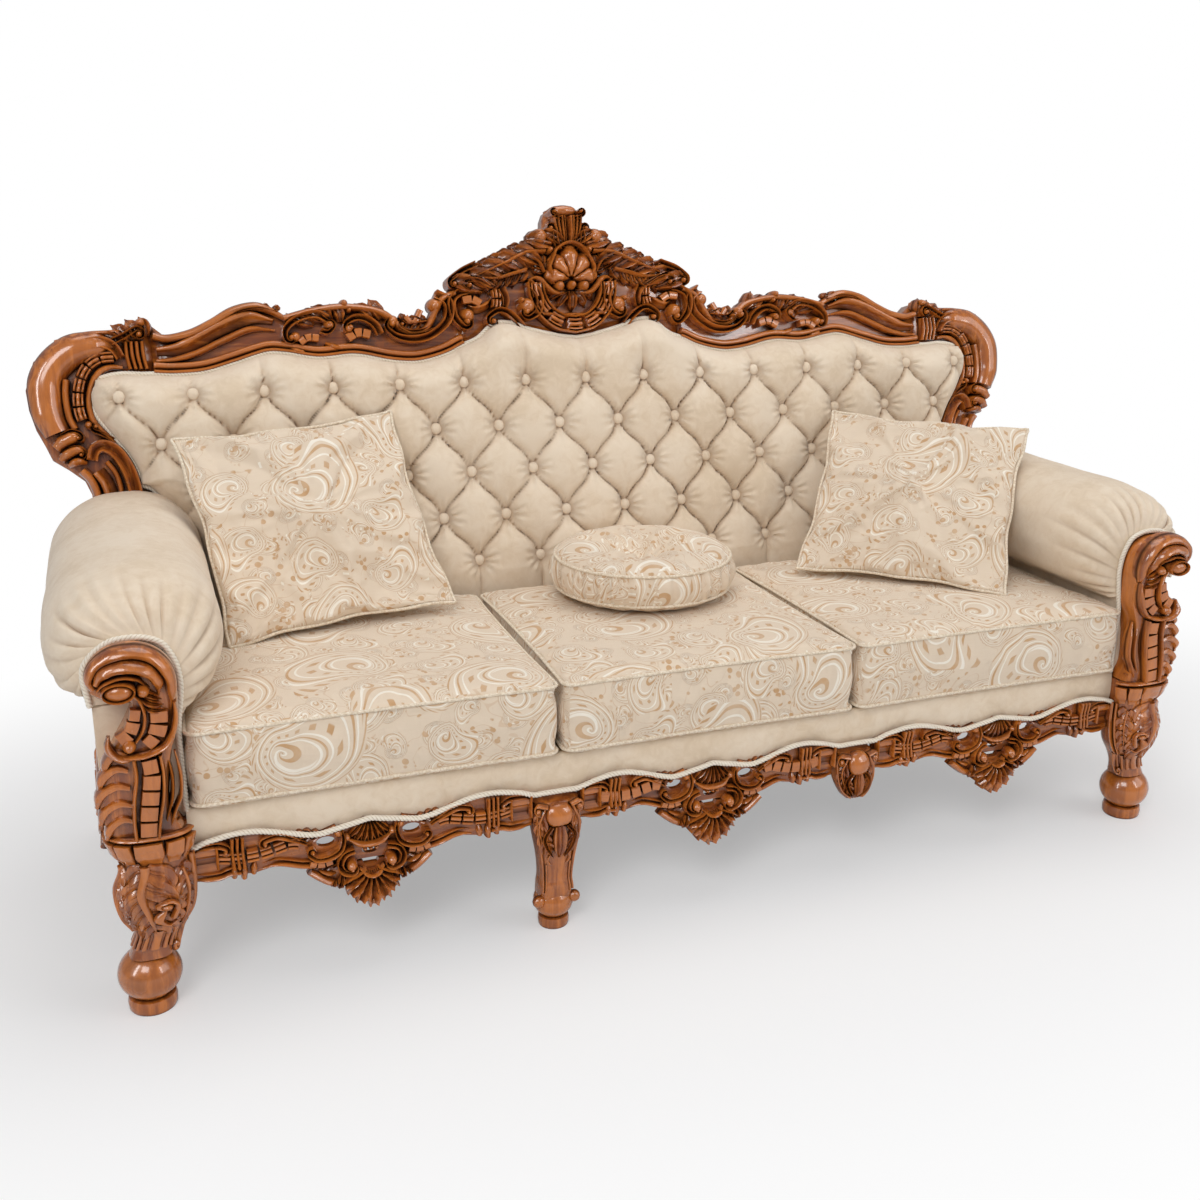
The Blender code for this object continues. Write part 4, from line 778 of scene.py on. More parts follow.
def carve_half_bay(bm, place, half):
    """The carving on one half of a bay, from its shell out to its leg. Positive along is outwards."""
    # Ribbon of plates crossed by an upright bundle of reeds, with drops below it
    plates(bm, place, ((half * 0.40, 0.240), (half * 0.46, 0.243), (half * 0.54, 0.238),
        (half * 0.64, 0.233), (half * 0.75, 0.233), (half * 0.86, 0.238)), 0.021, 0.013, 6, APRON_BASE,
        REEDS if half > 0.25 else PLATE)
    for k in range(3):
        x = half * 0.745 + (k - 1) * 0.0075
        sweep(bm, place, ((x, 0.268), (x + 0.001, 0.245), (x, 0.217)), 0.0075, 0.019, ROUND,
              (1, 0.8, 1), APRON_BASE)
    for k, drop in enumerate((0.020, 0.026, 0.022)):
        x = half * 0.66 + k * 0.0145
        sweep(bm, place, ((x, 0.219), (x + 0.001, 0.210), (x + 0.002, 0.219 - drop)), 0.0125, 0.017,
              ROUND, (0.6, 1, 0.75), 0.004)
    # Fluted block beside the leg, between two upright mouldings
    sweep(bm, place, ((half * 0.865, 0.242), (half * 0.985, 0.242)), 0.030, 0.013, COVE, EVEN, 0.008)
    for x in (half * 0.86, half * 0.985):
        sweep(bm, place, ((x, 0.260), (x, 0.242), (x, 0.222)), 0.006, 0.018, ROUND, EVEN, APRON_BASE)
    # Leafy C scrolls that meet over the reeds
    for start, middle, top, end, turn in (
            ((0.36, 0.238), (0.43, 0.250), (0.52, 0.2600), (0.60, 0.256), -0.55),
            ((0.98, 0.256), (0.92, 0.261), (0.85, 0.2605), (0.80, 0.253), 0.55)):
        line = [(half * x, z) for x, z in (start, middle, top, end)]
        scroll(bm, place, line, 0.011, 0.017, 0.007, turn, APRON_BASE, HOLLOW, (0.5, 1, 0.8))
    acanthus(bm, place, ((half * 0.30, 0.247), (half * 0.38, 0.251), (half * 0.47, 0.246)), 0.014, 0.014, 4,
        APRON_BASE)
    # Mouldings along the foot, with leaf tips where they end at the drops
    for lift, width in ((0.0035, 0.0085), (0.0125, 0.005)):
        for shares in ((0.33, 0.40, 0.47, 0.54, 0.62), (0.74, 0.80, 0.86, 0.93, 1.0)):
            line = []
            for share in shares:
                foot = 0.0
                for (a, za), (b, zb) in zip(apron_foot_heights, apron_foot_heights[1:]):
                    if a <= share <= b:
                        foot = mix(za, zb, (share - a) / (b - a))
                line.append((half * share * 0.995, foot + lift))
            sweep(bm, place, line, width, 0.018 - 0.4 * lift, ROUND, (1, 1, 0.9, 0.5), 0.004)
    # C scroll round the pierced slot, with its ball, and the bands under it
    scroll(bm, place, ((0.046, 0.256), (0.042, 0.238), (0.048, 0.220), (0.064, 0.210), (0.082, 0.209),
        (0.094, 0.218)), 0.010, 0.019, 0.0065, 0.6, APRON_BASE, HOLLOW, (0.6, 1, 0.8))
    sweep(bm, place, ((0.052, 0.259), (0.066, 0.252), (0.082, 0.249), (0.095, 0.252)), 0.008, 0.014,
          ROUND, LEAFLIKE, APRON_BASE)
    plates(bm, place, ((0.060, 0.201), (0.078, 0.198), (0.096, 0.203)), 0.010, 0.013, 3, APRON_BASE)
    bead(bm, place, (0.048, 0.247), 0.0085, 0.014, APRON_BASE)
    bead(bm, place, (0.036, 0.236), 0.0065, 0.013, APRON_BASE)


def carve_shell_side(bm, place):
    """One side of the shell drop: the C scroll round the ring, its sprigs and the heavy foot band."""
    scroll(bm, place, ((0.026, 0.216), (0.042, 0.212), (0.050, 0.198), (0.046, 0.184), (0.036, 0.178)),
           0.011, 0.022, 0.0085, -0.7, SHELL_BASE, HOLLOW, (0.8, 1, 0.8))
    bead(bm, place, (0.032, 0.190), 0.0105, 0.024, SHELL_BASE)
    sweep(bm, place, ((0.050, 0.160), (0.064, 0.162), (0.080, 0.173), (0.096, 0.186)), 0.014, 0.018,
          ROUND, (0.6, 1, 1, 0.9), 0.006)
    sweep(bm, place, ((0.056, 0.176), (0.070, 0.180), (0.086, 0.189)), 0.008, 0.016, ROUND, LEAFLIKE, 0.008)
    for x, top, foot, wide in ((0.036, 0.174, 0.141, 0.014), (0.050, 0.172, 0.146, 0.013),
            (0.062, 0.166, 0.154, 0.010)):
        sweep(bm, place, ((x - 0.004, top), (x, mix(top, foot, 0.5)), (x + 0.002, foot)), wide, 0.021,
              LEAF, LEAFLIKE, SHELL_BASE)
    acanthus(bm, place, ((0.052, 0.192), (0.066, 0.192), (0.084, 0.196)), 0.013, 0.012, 3, 0.008)


for hand in BAYS:
    low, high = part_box("apron_" + hand)
    middle, half = (low.x + high.x) / 2, (high.x - low.x) / 2

    def on_apron(x, z, out):
        """Places on the apron's face: along from the bay's middle, up, and out of the back plane."""
        return Vector((middle + x, CARVED_BACK_Y - out, z))

    bm = bmesh.new()
    top = [(share * half, z) for share, z in rope_line_heights]
    foot = [(share * half, z) for share, z in apron_foot_heights]
    top = [(-x, z) for x, z in top[:0:-1]] + top
    foot = [(-x, z) for x, z in foot[:0:-1]] + foot
    slots = [oval(way * 0.068, 0.232, 0.015, 0.0085) for way in (-1, 1)]
    outline = [(x, z - 0.001) for x, z in top] + foot[::-1]
    board(bm, on_apron, outline, slots + [oval(0, 0.207, 0.013, 0.007, 12)], 0.0003, APRON_BASE)
    for way in (-1, 1):
        piece = bmesh.new()
        carve_half_bay(piece, on_apron, half)
        if way < 0:
            mirror(piece, middle)
        join(bm, piece)
    # Petals under the rope, over a cup that holds the ring's bead
    fan(bm, on_apron, (0, 0.272), 0.010, 0.044, 130, 230, 7, 0.016, APRON_BASE, LEAF, 0.12)
    sweep(bm, on_apron, ((-0.034, 0.233), (-0.018, 0.224), (0, 0.221), (0.018, 0.224), (0.034, 0.233)),
          0.009, 0.020, ROUND, (0.5, 1, 1, 1, 0.5), APRON_BASE)
    for x in (-0.009, 0, 0.009):
        bead(bm, on_apron, (x, 0.214), 0.0045, 0.016, APRON_BASE, cells=(10, 8))
    finish_piece("carved_apron_" + hand, bm, walnut_x, "root", ["apron_" + hand])

    bm = bmesh.new()
    outline = [(0.092, 0.189), (0.055, 0.1885), (0.013, 0.1885), (0.010, 0.182), (-0.010, 0.182),
        (-0.013, 0.1885), (-0.055, 0.1885), (-0.092, 0.189), (-0.078, 0.172), (-0.058, 0.163),
        (-0.036, 0.150), (-0.022, 0.130), (0, 0.120), (0.022, 0.130), (0.036, 0.150),
        (0.058, 0.163), (0.078, 0.172)]
    board(bm, on_apron, outline, (), 0.0003, SHELL_BASE)
    for way in (-1, 1):
        piece = bmesh.new()
        carve_shell_side(piece, on_apron)
        if way < 0:
            mirror(piece, middle)
        join(bm, piece)
    fan(bm, on_apron, (0, 0.184), 0.010, 0.050, 112, 248, 7, 0.026, SHELL_BASE, HOLLOW, 0.42)
    sweep(bm, on_apron, ((-0.020, 0.181), (-0.009, 0.172), (0, 0.169), (0.009, 0.172), (0.020, 0.181)),
          0.007, 0.026, ROUND, (0.5, 1, 1, 1, 0.5), SHELL_BASE)
    bead(bm, on_apron, (0, 0.119), 0.008, 0.018, 0.006)
    finish_piece("carved_shell_" + hand, bm, walnut_x, "root", ["shell_drop_" + hand])

# Side aprons: carved walnut rails under the arms, between the front leg and the rear leg.
# A shell sits in the middle, with a leafy scroll on each side between two fillets.
side_low, side_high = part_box("side_apron_right")
SIDE_MIDDLE_Y = (side_low.y + side_high.y) / 2
SIDE_HALF = (side_high.y - side_low.y) / 2


def on_side(along_side, z, out):
    """Places on the right-hand side apron's face, from its middle towards the back."""
    return Vector((side_high.x - 0.004 + out, SIDE_MIDDLE_Y + along_side, z))


for side, hand in HANDS:
    nodes["side_apron_" + hand].material_slots[0].material = walnut_y
    bm = bmesh.new()
    middle_z = side_high.z - 0.036
    for way in (-1, 1):
        top = side_high.z - 0.008
        sweep(bm, on_side, sided(way, ((0, top), (0.5 * SIDE_HALF, top), (0.985 * SIDE_HALF, top))), 0.009,
            0.009)
        foot = [(way * share * SIDE_HALF, side_high.z - 0.074 - 0.011 * math.cos(math.pi * share))
                for share in (0.0, 0.17, 0.33, 0.5, 0.67, 0.83, 0.98)]
        sweep(bm, on_side, foot, 0.009, 0.009)
        sweep(bm, on_side, sided(way, ((0.050, middle_z - 0.012), (0.085, middle_z + 0.014),
            (0.135, middle_z + 0.006), (0.180, middle_z - 0.014), (0.235, middle_z + 0.004),
            (0.275, middle_z + 0.012))), 0.014, 0.013, HOLLOW, TAPERED)
        acanthus(bm, on_side, sided(way, ((0.090, middle_z + 0.004), (0.135, middle_z - 0.014),
            (0.180, middle_z + 0.006))), 0.034, 0.011, 5)
        acanthus(bm, on_side, sided(way, ((0.190, middle_z + 0.008), (0.230, middle_z - 0.012),
            (0.268, middle_z - 0.004))), 0.030, 0.010, 5)
        bead(bm, on_side, (way * 0.186, middle_z + 0.016), 0.008, 0.012)
    fan(bm, on_side, (0, middle_z - 0.020), 0.010, 0.044, -80, 80, 9, 0.014)
    bead(bm, on_side, (0, middle_z - 0.020), 0.011, 0.016)
    finish_piece("side_carving_" + hand, hand_of(bm, side), walnut_y, "root")

# Arm posts: walnut posts that rise from the front legs in an S and end in a rolled scroll head.
# Carved from one block each, with plates and leaves on the shaft, and doweled into the leg.
post_low, post_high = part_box("arm_post_right")
POST_WIDTH, POST_HEIGHT, POST_DEPTH = 0.122, 0.289, post_high.y - post_low.y
POST_FACE = 0.046
# Outer and inner edges, as shares of the width and height, from the foot up to the head
post_outer_shares = ((0.86, 0.00), (0.96, 0.12), (0.95, 0.28), (0.80, 0.43), (0.65, 0.54), (0.52, 0.64),
    (0.48, 0.70), (0.54, 0.725), (0.62, 0.72), (0.72, 0.73), (0.82, 0.745), (0.90, 0.78))
post_inner_shares = ((0.04, 0.00), (0.16, 0.12), (0.14, 0.28), (0.08, 0.43), (-0.01, 0.54), (-0.03, 0.64),
    (-0.04, 0.74), (-0.01, 0.84), (0.10, 0.93), (0.34, 0.98), (0.66, 0.97), (0.90, 0.88))
# Across the post: share from the outer to the inner edge, share of the depth, and its darkness of glaze and
# painted shade
post_section = ((0, 0, 0.05), (0, 0.40, 0.05), (0.03, 0.56, 0.05), (0.10, 0.62, 0.2), (0.3, 0.64, 0.5),
    (0.5, 0.64, 0.5), (0.7, 0.64, 0.5), (0.90, 0.62, 0.2), (0.97, 0.56, 0.05), (1, 0.40, 0.05),
    (1, 0, 0.05))


def on_post(x, z, out):
    """Places on the right-hand post's face, measured from the sofa's middle and the floor."""
    return Vector((x, post_high.y - POST_FACE - out, z))


def edge_line(shares):
    """Real places of a post edge."""
    return [(LEG_INNER_X + x * POST_WIDTH, RAIL_TOP + z * POST_HEIGHT) for x, z in shares]


for side, hand in HANDS:
    bm = bmesh.new()
    part, depth = new_part()
    outer, inner = (smooth_line(edge_line(shares), 0.001)
        for shares in (post_outer_shares, post_inner_shares))
    for vert, up, round_it in grid(part, 54, len(post_section)):
        a = outer[round(up * (len(outer) - 1))][0]
        b = inner[round(up * (len(inner) - 1))][0]
        across, deep, dark = post_section[round(round_it * len(post_section)) % len(post_section)]
        spot = a.lerp(b, across)
        vert[depth] = dark
        vert.co = (spot.x, post_high.y - deep * POST_DEPTH, max(spot.y, RAIL_TOP + 0.0005))
    add_part(bm, part)
    # The rolled head: a broad hood, a bulge inside it, a rim and a flat oval boss
    sweep(bm, on_post, ((0.871, 0.498), (0.868, 0.520), (0.868, 0.545), (0.877, 0.568), (0.894, 0.585),
        (0.918, 0.592), (0.944, 0.589), (0.965, 0.576), (0.975, 0.556), (0.970, 0.542)), 0.021, 0.026,
        ROUND, (0.2, 0.75, 1, 1, 1, 0.8, 0.5), -0.006)
    sweep(bm, on_post, ((0.886, 0.522), (0.885, 0.545), (0.896, 0.563), (0.916, 0.573), (0.940, 0.573),
        (0.958, 0.564), (0.966, 0.549)), 0.024, 0.034, ROUND, (0.2, 0.8, 1, 1, 0.9, 0.5), -0.006)
    sweep(bm, on_post, ((0.903, 0.541), (0.912, 0.553), (0.927, 0.559), (0.944, 0.557), (0.958, 0.549),
        (0.965, 0.540)), 0.008, 0.026, ROUND, (0.5, 1, 1, 0.6), -0.004)
    bead(bm, on_post, (0.938, 0.539), 0.0225, 0.016, 0.012, 0.62)
    part_rim = [(0.938 + 0.0215 * math.cos(t), 0.539 + 0.0135 * math.sin(t))
        for t in [2 * math.pi * k / 16 for k in range(17)]]
    sweep(bm, on_post, part_rim, 0.004, 0.028, ROUND, EVEN, 0.0)
    bead(bm, on_post, (0.906, 0.534), 0.010, 0.022, 0.0)
    # Leaves at the neck and the ridge that runs down the S
    for start, middle, end, wide in (
            ((0.912, 0.532), (0.898, 0.527), (0.882, 0.516), 0.011),
            ((0.910, 0.524), (0.897, 0.514), (0.880, 0.508), 0.013),
            ((0.906, 0.510), (0.895, 0.504), (0.878, 0.500), 0.012)):
        sweep(bm, on_post, (start, middle, end), wide, 0.016, LEAF, LEAFLIKE)
    sweep(bm, on_post, ((0.920, 0.533), (0.911, 0.518), (0.907, 0.500), (0.909, 0.482), (0.915, 0.468),
        (0.922, 0.458)), 0.0055, 0.018, ROUND, (1, 1, 1, 0.7))
    plates(bm, on_post, ((0.888, 0.502), (0.889, 0.482), (0.896, 0.463), (0.910, 0.450)), 0.026,
           0.009, 3, shape=(1, 1, 0.7))
    plates(bm, on_post, ((0.918, 0.508), (0.922, 0.490), (0.930, 0.472), (0.945, 0.462)), 0.020,
           0.010, 3, shape=(0.7, 1, 1.1))
    # The inner fillet swings under a round knob that sits in a crescent lip
    sweep(bm, on_post, ((0.866, 0.512), (0.866, 0.490), (0.872, 0.466), (0.884, 0.448), (0.904, 0.439),
        (0.926, 0.436), (0.944, 0.438)), 0.009, 0.020, ROUND, (0.6, 1, 1, 1, 0.8))
    sweep(bm, on_post, ((0.958, 0.470), (0.960, 0.455), (0.953, 0.442), (0.938, 0.434), (0.924, 0.436)),
        0.012, 0.020, ROUND, (0.4, 1, 1, 0.5))
    bead(bm, on_post, (0.932, 0.453), 0.0105, 0.022)
    # Column of plates between fillets, notched like bark
    plates(bm, on_post, ((0.908, 0.432), (0.906, 0.405), (0.911, 0.370), (0.916, 0.338), (0.919, 0.309)),
        0.026, 0.014, 5, shape=(0.8, 1, 1, 1, 0.95))
    for z, x in ((0.404, 0.912), (0.398, 0.902), (0.361, 0.914), (0.326, 0.918)):
        sweep(bm, on_post, ((x - 0.006, z), (x + 0.006, z + 0.001)), 0.003, 0.016, ROUND, (0.3, 1, 0.3))
    sweep(bm, on_post, ((0.892, 0.436), (0.890, 0.405), (0.893, 0.370), (0.900, 0.338), (0.905, 0.309)),
          0.006, 0.019, ROUND)
    sweep(bm, on_post, ((0.928, 0.434), (0.927, 0.405), (0.933, 0.370), (0.936, 0.338), (0.936, 0.309)),
          0.0065, 0.019, ROUND)
    # Overlapping leaf lobes down the outer side, which wrap round the edge
    for x, z, wide in ((0.958, 0.425, 0.026), (0.966, 0.400, 0.028), (0.972, 0.373, 0.028),
            (0.970, 0.346, 0.027), (0.964, 0.321, 0.026)):
        sweep(bm, on_post, ((0.938, z + 0.010), (mix(0.938, x, 0.5), z + 0.012), (x, z + 0.002),
            (x + 0.009, z - 0.016)), wide, 0.020, COVE, (0.6, 1, 1, 0.5), -0.012, rise=(1, 1, 0.9, 0.4))
    # The thin C scroll beside the cushion, with its hook, over a lower fillet
    for way in (0.0, 0.012):
        sweep(bm, on_post, ((0.884 - way, 0.430), (0.879 - way, 0.395), (0.881 - way, 0.362),
            (0.888 - way * 0.8, 0.340), (0.892 - way * 0.4, 0.326 - way), (0.884, 0.318 - way),
            (0.874, 0.322 - way)), 0.006, 0.016, ROUND, (0.5, 1, 1, 1, 0.4), -0.014)
    finish_piece("carved_arm_post_" + hand, hand_of(bm, side), walnut_z, "root", ["arm_post_" + hand])

# Crest: a carved walnut cartouche, two crest rails and two corner scrolls over the back frame.
# Each is sawn from a thick board, pierced and carved in high relief, and doweled to its neighbour.
BACK_RAKE = math.radians(14)
BACK_FOOT_Y, BACK_FOOT_Z = 0.1991, 0.308
BACK_HALF_WIDTH, BACK_HEIGHT = 1.052, 0.892
CREST_GROUND = 0.30
FULLNESS = 1.22
CREST_BASE = 0.009


def on_back(x, s, out):
    """Places on the leaning back: along from the middle, up the slope, and out of its plane."""
    return Vector((x, BACK_FOOT_Y + s * math.sin(BACK_RAKE) - out * math.cos(BACK_RAKE),
        BACK_FOOT_Z + s * math.cos(BACK_RAKE) + out * math.sin(BACK_RAKE)))


def on_crest(x, s, out):
    """Places on the crest's carved face, which stands a little in front of the back's plane."""
    return on_back(x, s, CREST_BASE + out)


def ground(bm, node):
    """The board under a carving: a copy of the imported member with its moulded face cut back."""
    part = bmesh.new()
    part.from_mesh(nodes[node].data)
    bmesh.ops.remove_doubles(part, verts=part.verts, dist=WELD)
    depth = part.verts.layers.float.new("recess")
    for vert in part.verts:
        y, z = vert.co.y - BACK_FOOT_Y, vert.co.z - BACK_FOOT_Z
        s = y * math.sin(BACK_RAKE) + z * math.cos(BACK_RAKE)
        out = z * math.sin(BACK_RAKE) - y * math.cos(BACK_RAKE)
        vert[depth] = 0.46 if out > 0.001 else 0.05
        vert.co = on_back(vert.co.x, s, out * CREST_GROUND if out > 0 else out)
    join(bm, part)


def carve_list(bm, mouldings):
    """Carve mouldings given as (section, width, height, widths along it, line)."""
    for section, width, height, shape, line in mouldings:
        sweep(bm, on_crest, line, width * FULLNESS, height, section, shape)


def outline_places(shares):
    """Places on the back from shares of its half width and height."""
    return [(x * BACK_HALF_WIDTH, s * BACK_HEIGHT) for x, s in shares]


crest_top_shares = (
    (0.030, 0.955), (0.0440, 0.938), (0.0662, 0.933), (0.0860, 0.915), (0.1040, 0.899),
    (0.1276, 0.890), (0.1635, 0.870), (0.1985, 0.847), (0.2268, 0.836), (0.2420, 0.822))
rail_top_shares = (
    (0.2365, 0.812), (0.2650, 0.793), (0.2930, 0.738), (0.3166, 0.723), (0.3400, 0.732),
    (0.3780, 0.772), (0.4440, 0.786), (0.5010, 0.780), (0.5580, 0.764))
rail_foot_shares = (
    (0.2268, 0.690), (0.2365, 0.685), (0.2600, 0.672), (0.2885, 0.662), (0.3166, 0.656),
    (0.3400, 0.656), (0.3730, 0.661), (0.4350, 0.676), (0.5010, 0.672), (0.5580, 0.684),
    (0.5950, 0.686), (0.6520, 0.667), (0.7040, 0.651), (0.7560, 0.648), (0.7890, 0.651))


def inset(shares, drop):
    """An outline moved down or up the back."""
    return [(x, s - drop) for x, s in outline_places(shares)]


# Cartouche: the right half is carved and mirrored, then the middle pieces go on
half = bmesh.new()
carve_list(half, (
    (ROUND, 0.010, 0.024, EVEN, [(0.000, 0.668), (0.035, 0.668), (0.060, 0.672), (0.093, 0.678)]),
    # Ribbon over the pierced hole beside the shell
    (ROUND, 0.011, 0.030, (0.7, 1, 1, 0.6), [(0.018, 0.712), (0.040, 0.715), (0.055, 0.727), (0.066, 0.740),
        (0.078, 0.745), (0.091, 0.739)]),
    (LEAF, 0.021, 0.030, LEAFLIKE, [(0.030, 0.805), (0.038, 0.822), (0.052, 0.830)]),
    (COVE, 0.016, 0.028, LEAFLIKE, [(0.026, 0.812), (0.040, 0.810), (0.058, 0.817), (0.070, 0.826)]),
    # Second band beside the first C scroll, and the leaves that droop over it
    (HOLLOW, 0.015, 0.028, TAPERED, [(0.152, 0.724), (0.144, 0.706), (0.146, 0.688), (0.156, 0.676)]),
    (LEAF, 0.014, 0.032, LEAFLIKE, [(0.106, 0.764), (0.118, 0.746), (0.124, 0.724)]),
    (LEAF, 0.014, 0.034, LEAFLIKE, [(0.118, 0.766), (0.134, 0.744), (0.141, 0.720)]),
    (LEAF, 0.014, 0.034, LEAFLIKE, [(0.128, 0.766), (0.152, 0.742), (0.161, 0.716)]),
    (LEAF, 0.014, 0.032, LEAFLIKE, [(0.140, 0.764), (0.168, 0.738), (0.179, 0.708)]),
    (LEAF, 0.013, 0.030, LEAFLIKE, [(0.154, 0.760), (0.184, 0.734), (0.196, 0.706)]),
    (COVE, 0.013, 0.026, (0.4, 1, 1, 0.5), [(0.170, 0.706), (0.186, 0.690), (0.206, 0.684),
        (0.222, 0.692)])))
acanthus(half, on_crest, ((0.052, 0.800), (0.095, 0.795), (0.140, 0.775), (0.185, 0.757), (0.228, 0.738)),
    0.050, 0.034, 8, sides=(1,), lean=0.5, spine=0.26)
acanthus(half, on_crest, ((0.096, 0.762), (0.130, 0.752), (0.165, 0.744), (0.214, 0.748)), 0.036, 0.036, 6,
    spine=0.3)
acanthus(half, on_crest, ((0.056, 0.756), (0.070, 0.778), (0.094, 0.786)), 0.034, 0.032, 4)
for line, width, curl, turns in (
        (((0.022, 0.800), (0.030, 0.822), (0.028, 0.842)), 0.012, 0.0100, -0.75),
        (((0.094, 0.736), (0.079, 0.718), (0.073, 0.698), (0.079, 0.676), (0.094, 0.665)), 0.018,
         0.0150, 0.55),
        (((0.112, 0.645), (0.125, 0.660), (0.145, 0.676), (0.163, 0.680), (0.181, 0.670)), 0.015,
         0.0130, -0.80),
        (((0.224, 0.722), (0.243, 0.716), (0.258, 0.699), (0.255, 0.670), (0.240, 0.651)), 0.018,
         0.0140, -0.70),
        (((0.176, 0.726), (0.196, 0.738), (0.216, 0.742)), 0.013, 0.0110, -0.80),
        (((0.200, 0.774), (0.232, 0.760), (0.256, 0.744)), 0.014, 0.0120, -0.75)):
    scroll(half, on_crest, line, width, 0.034, curl, turns)
for x, s, radius in ((0.060, 0.828, 0.0145), (0.099, 0.688, 0.0155), (0.226, 0.672, 0.0130),
        (0.042, 0.800, 0.0070), (0.112, 0.700, 0.0060)):
    bead(half, on_crest, (x, s), radius * 1.25, 0.036)
plates(half, on_crest, ((0.164, 0.724), (0.163, 0.702), (0.166, 0.684)), 0.020, 0.026, 2, section=REEDS)
plates(half, on_crest, ((0.196, 0.694), (0.214, 0.704), (0.236, 0.702)), 0.017, 0.024, 2)
TASSEL_HEIGHT, BLOCKS_RADIUS = 0.727, 0.079


def round_tassel(radius, angles):
    """Places on an arc round the tassel, at angles in degrees from straight down."""
    return [(radius * math.sin(math.radians(angle)), TASSEL_HEIGHT - radius * math.cos(math.radians(angle)))
            for angle in angles]


# Band of reeded blocks round the tassel, between two fillets
for angle in (30, 58, 85):
    sweep(half, on_crest, round_tassel(BLOCKS_RADIUS, (angle - 10, angle, angle + 10)), 0.026, 0.028, REEDS)
for radius in (0.063, 0.095):
    sweep(half, on_crest, round_tassel(radius, (0, 25, 50, 75, 95)), 0.0075, 0.032, base=-0.002)
# Leaf tips that overlap up the slope and break its outline
slope = smooth_line(outline_places(crest_top_shares), 0.002)
for k in range(7):
    spot, way, share = slope[round((k + 0.6) / 7 * (len(slope) - 1))]
    up = Vector((-way.y, way.x))
    sweep(half, on_crest, [spot - up * 0.048 - way * 0.034, spot - up * 0.026 - way * 0.018,
        spot - up * 0.008 - way * 0.004, spot + up * 0.003 + way * 0.008], 0.044 if k else 0.030, 0.041,
        LEAF, (0.30, 0.5, 0.7, 0.88, 1, 1, 0.85, 0.45), rise=(0.55, 0.8, 0.95, 1.05, 1.05, 0.8))
bm = bmesh.new()
ground(bm, "crest_cartouche")
join(bm, half.copy())
mirror(half)
join(bm, half)
sweep(bm, on_crest, round_tassel(BLOCKS_RADIUS, (-10, 0, 10)), 0.026, 0.030, REEDS)
# The scallop shell in its lobed rim, over the tassel
SHELL_MIDDLE = (0, 0.740)
fan(bm, on_crest, SHELL_MIDDLE, 0.008, 0.053, -98, 98, 5, 0.037, crown=0.30)
rim = [(0.047 * math.sin(math.radians(t)) * (1 + 0.04 * math.cos(math.radians(t * 9))),
        0.757 + (0.047 + 0.010 * math.cos(math.radians(t))) * math.cos(math.radians(t)))
       for t in range(-140, 141, 14)]
sweep(bm, on_crest, rim, 0.0085, 0.043, ROUND, (0.5, 1, 1, 1, 1, 1, 0.5))
bead(bm, on_crest, (0, 0.729), 0.0105, 0.038)
for way in (-1, 1):
    bead(bm, on_crest, (way * 0.027, 0.728), 0.0130, 0.036)
    for top, middle, foot in (((0.006, 0.714), (0.020, 0.703), (0.031, 0.684)),
            ((0.010, 0.718), (0.034, 0.712), (0.050, 0.698))):
        sweep(bm, on_crest, sided(way, (top, middle, foot)), 0.017, 0.032, LEAF, LEAFLIKE)
sweep(bm, on_crest, ((0, 0.718), (0, 0.698), (0, 0.674)), 0.021, 0.036, LEAF, LEAFLIKE)
# The finial: reeds that spread down from under a rolled knob with a volute on each side
for x, foot, width in ((0, 0.806, 0.019), (0.0125, 0.808, 0.009), (0.021, 0.812, 0.009),
        (0.029, 0.820, 0.009)):
    for way in ((-1, 1) if x else (1,)):
        sweep(bm, on_crest, ((way * x, 0.868), (way * x * 0.9, 0.845), (way * x * 0.62, foot)), width,
              0.034, HOLLOW if x == 0 else ROUND, (1, 0.95, 0.7))
sweep(bm, on_back, ((-0.033, 0.879), (-0.016, 0.881), (0, 0.882), (0.016, 0.881), (0.033, 0.879)),
      0.030, 0.040, ROUND, (0.55, 0.95, 1, 0.95, 0.55), -0.012)
for way in (-1, 1):
    scroll(bm, on_crest, sided(way, ((0.004, 0.862), (0.020, 0.863), (0.032, 0.868))),
           0.008, 0.038, 0.0085, way * 0.8)
finish_piece("carved_cartouche", bm, walnut_x, "root", ["crest_cartouche"], crease=50)

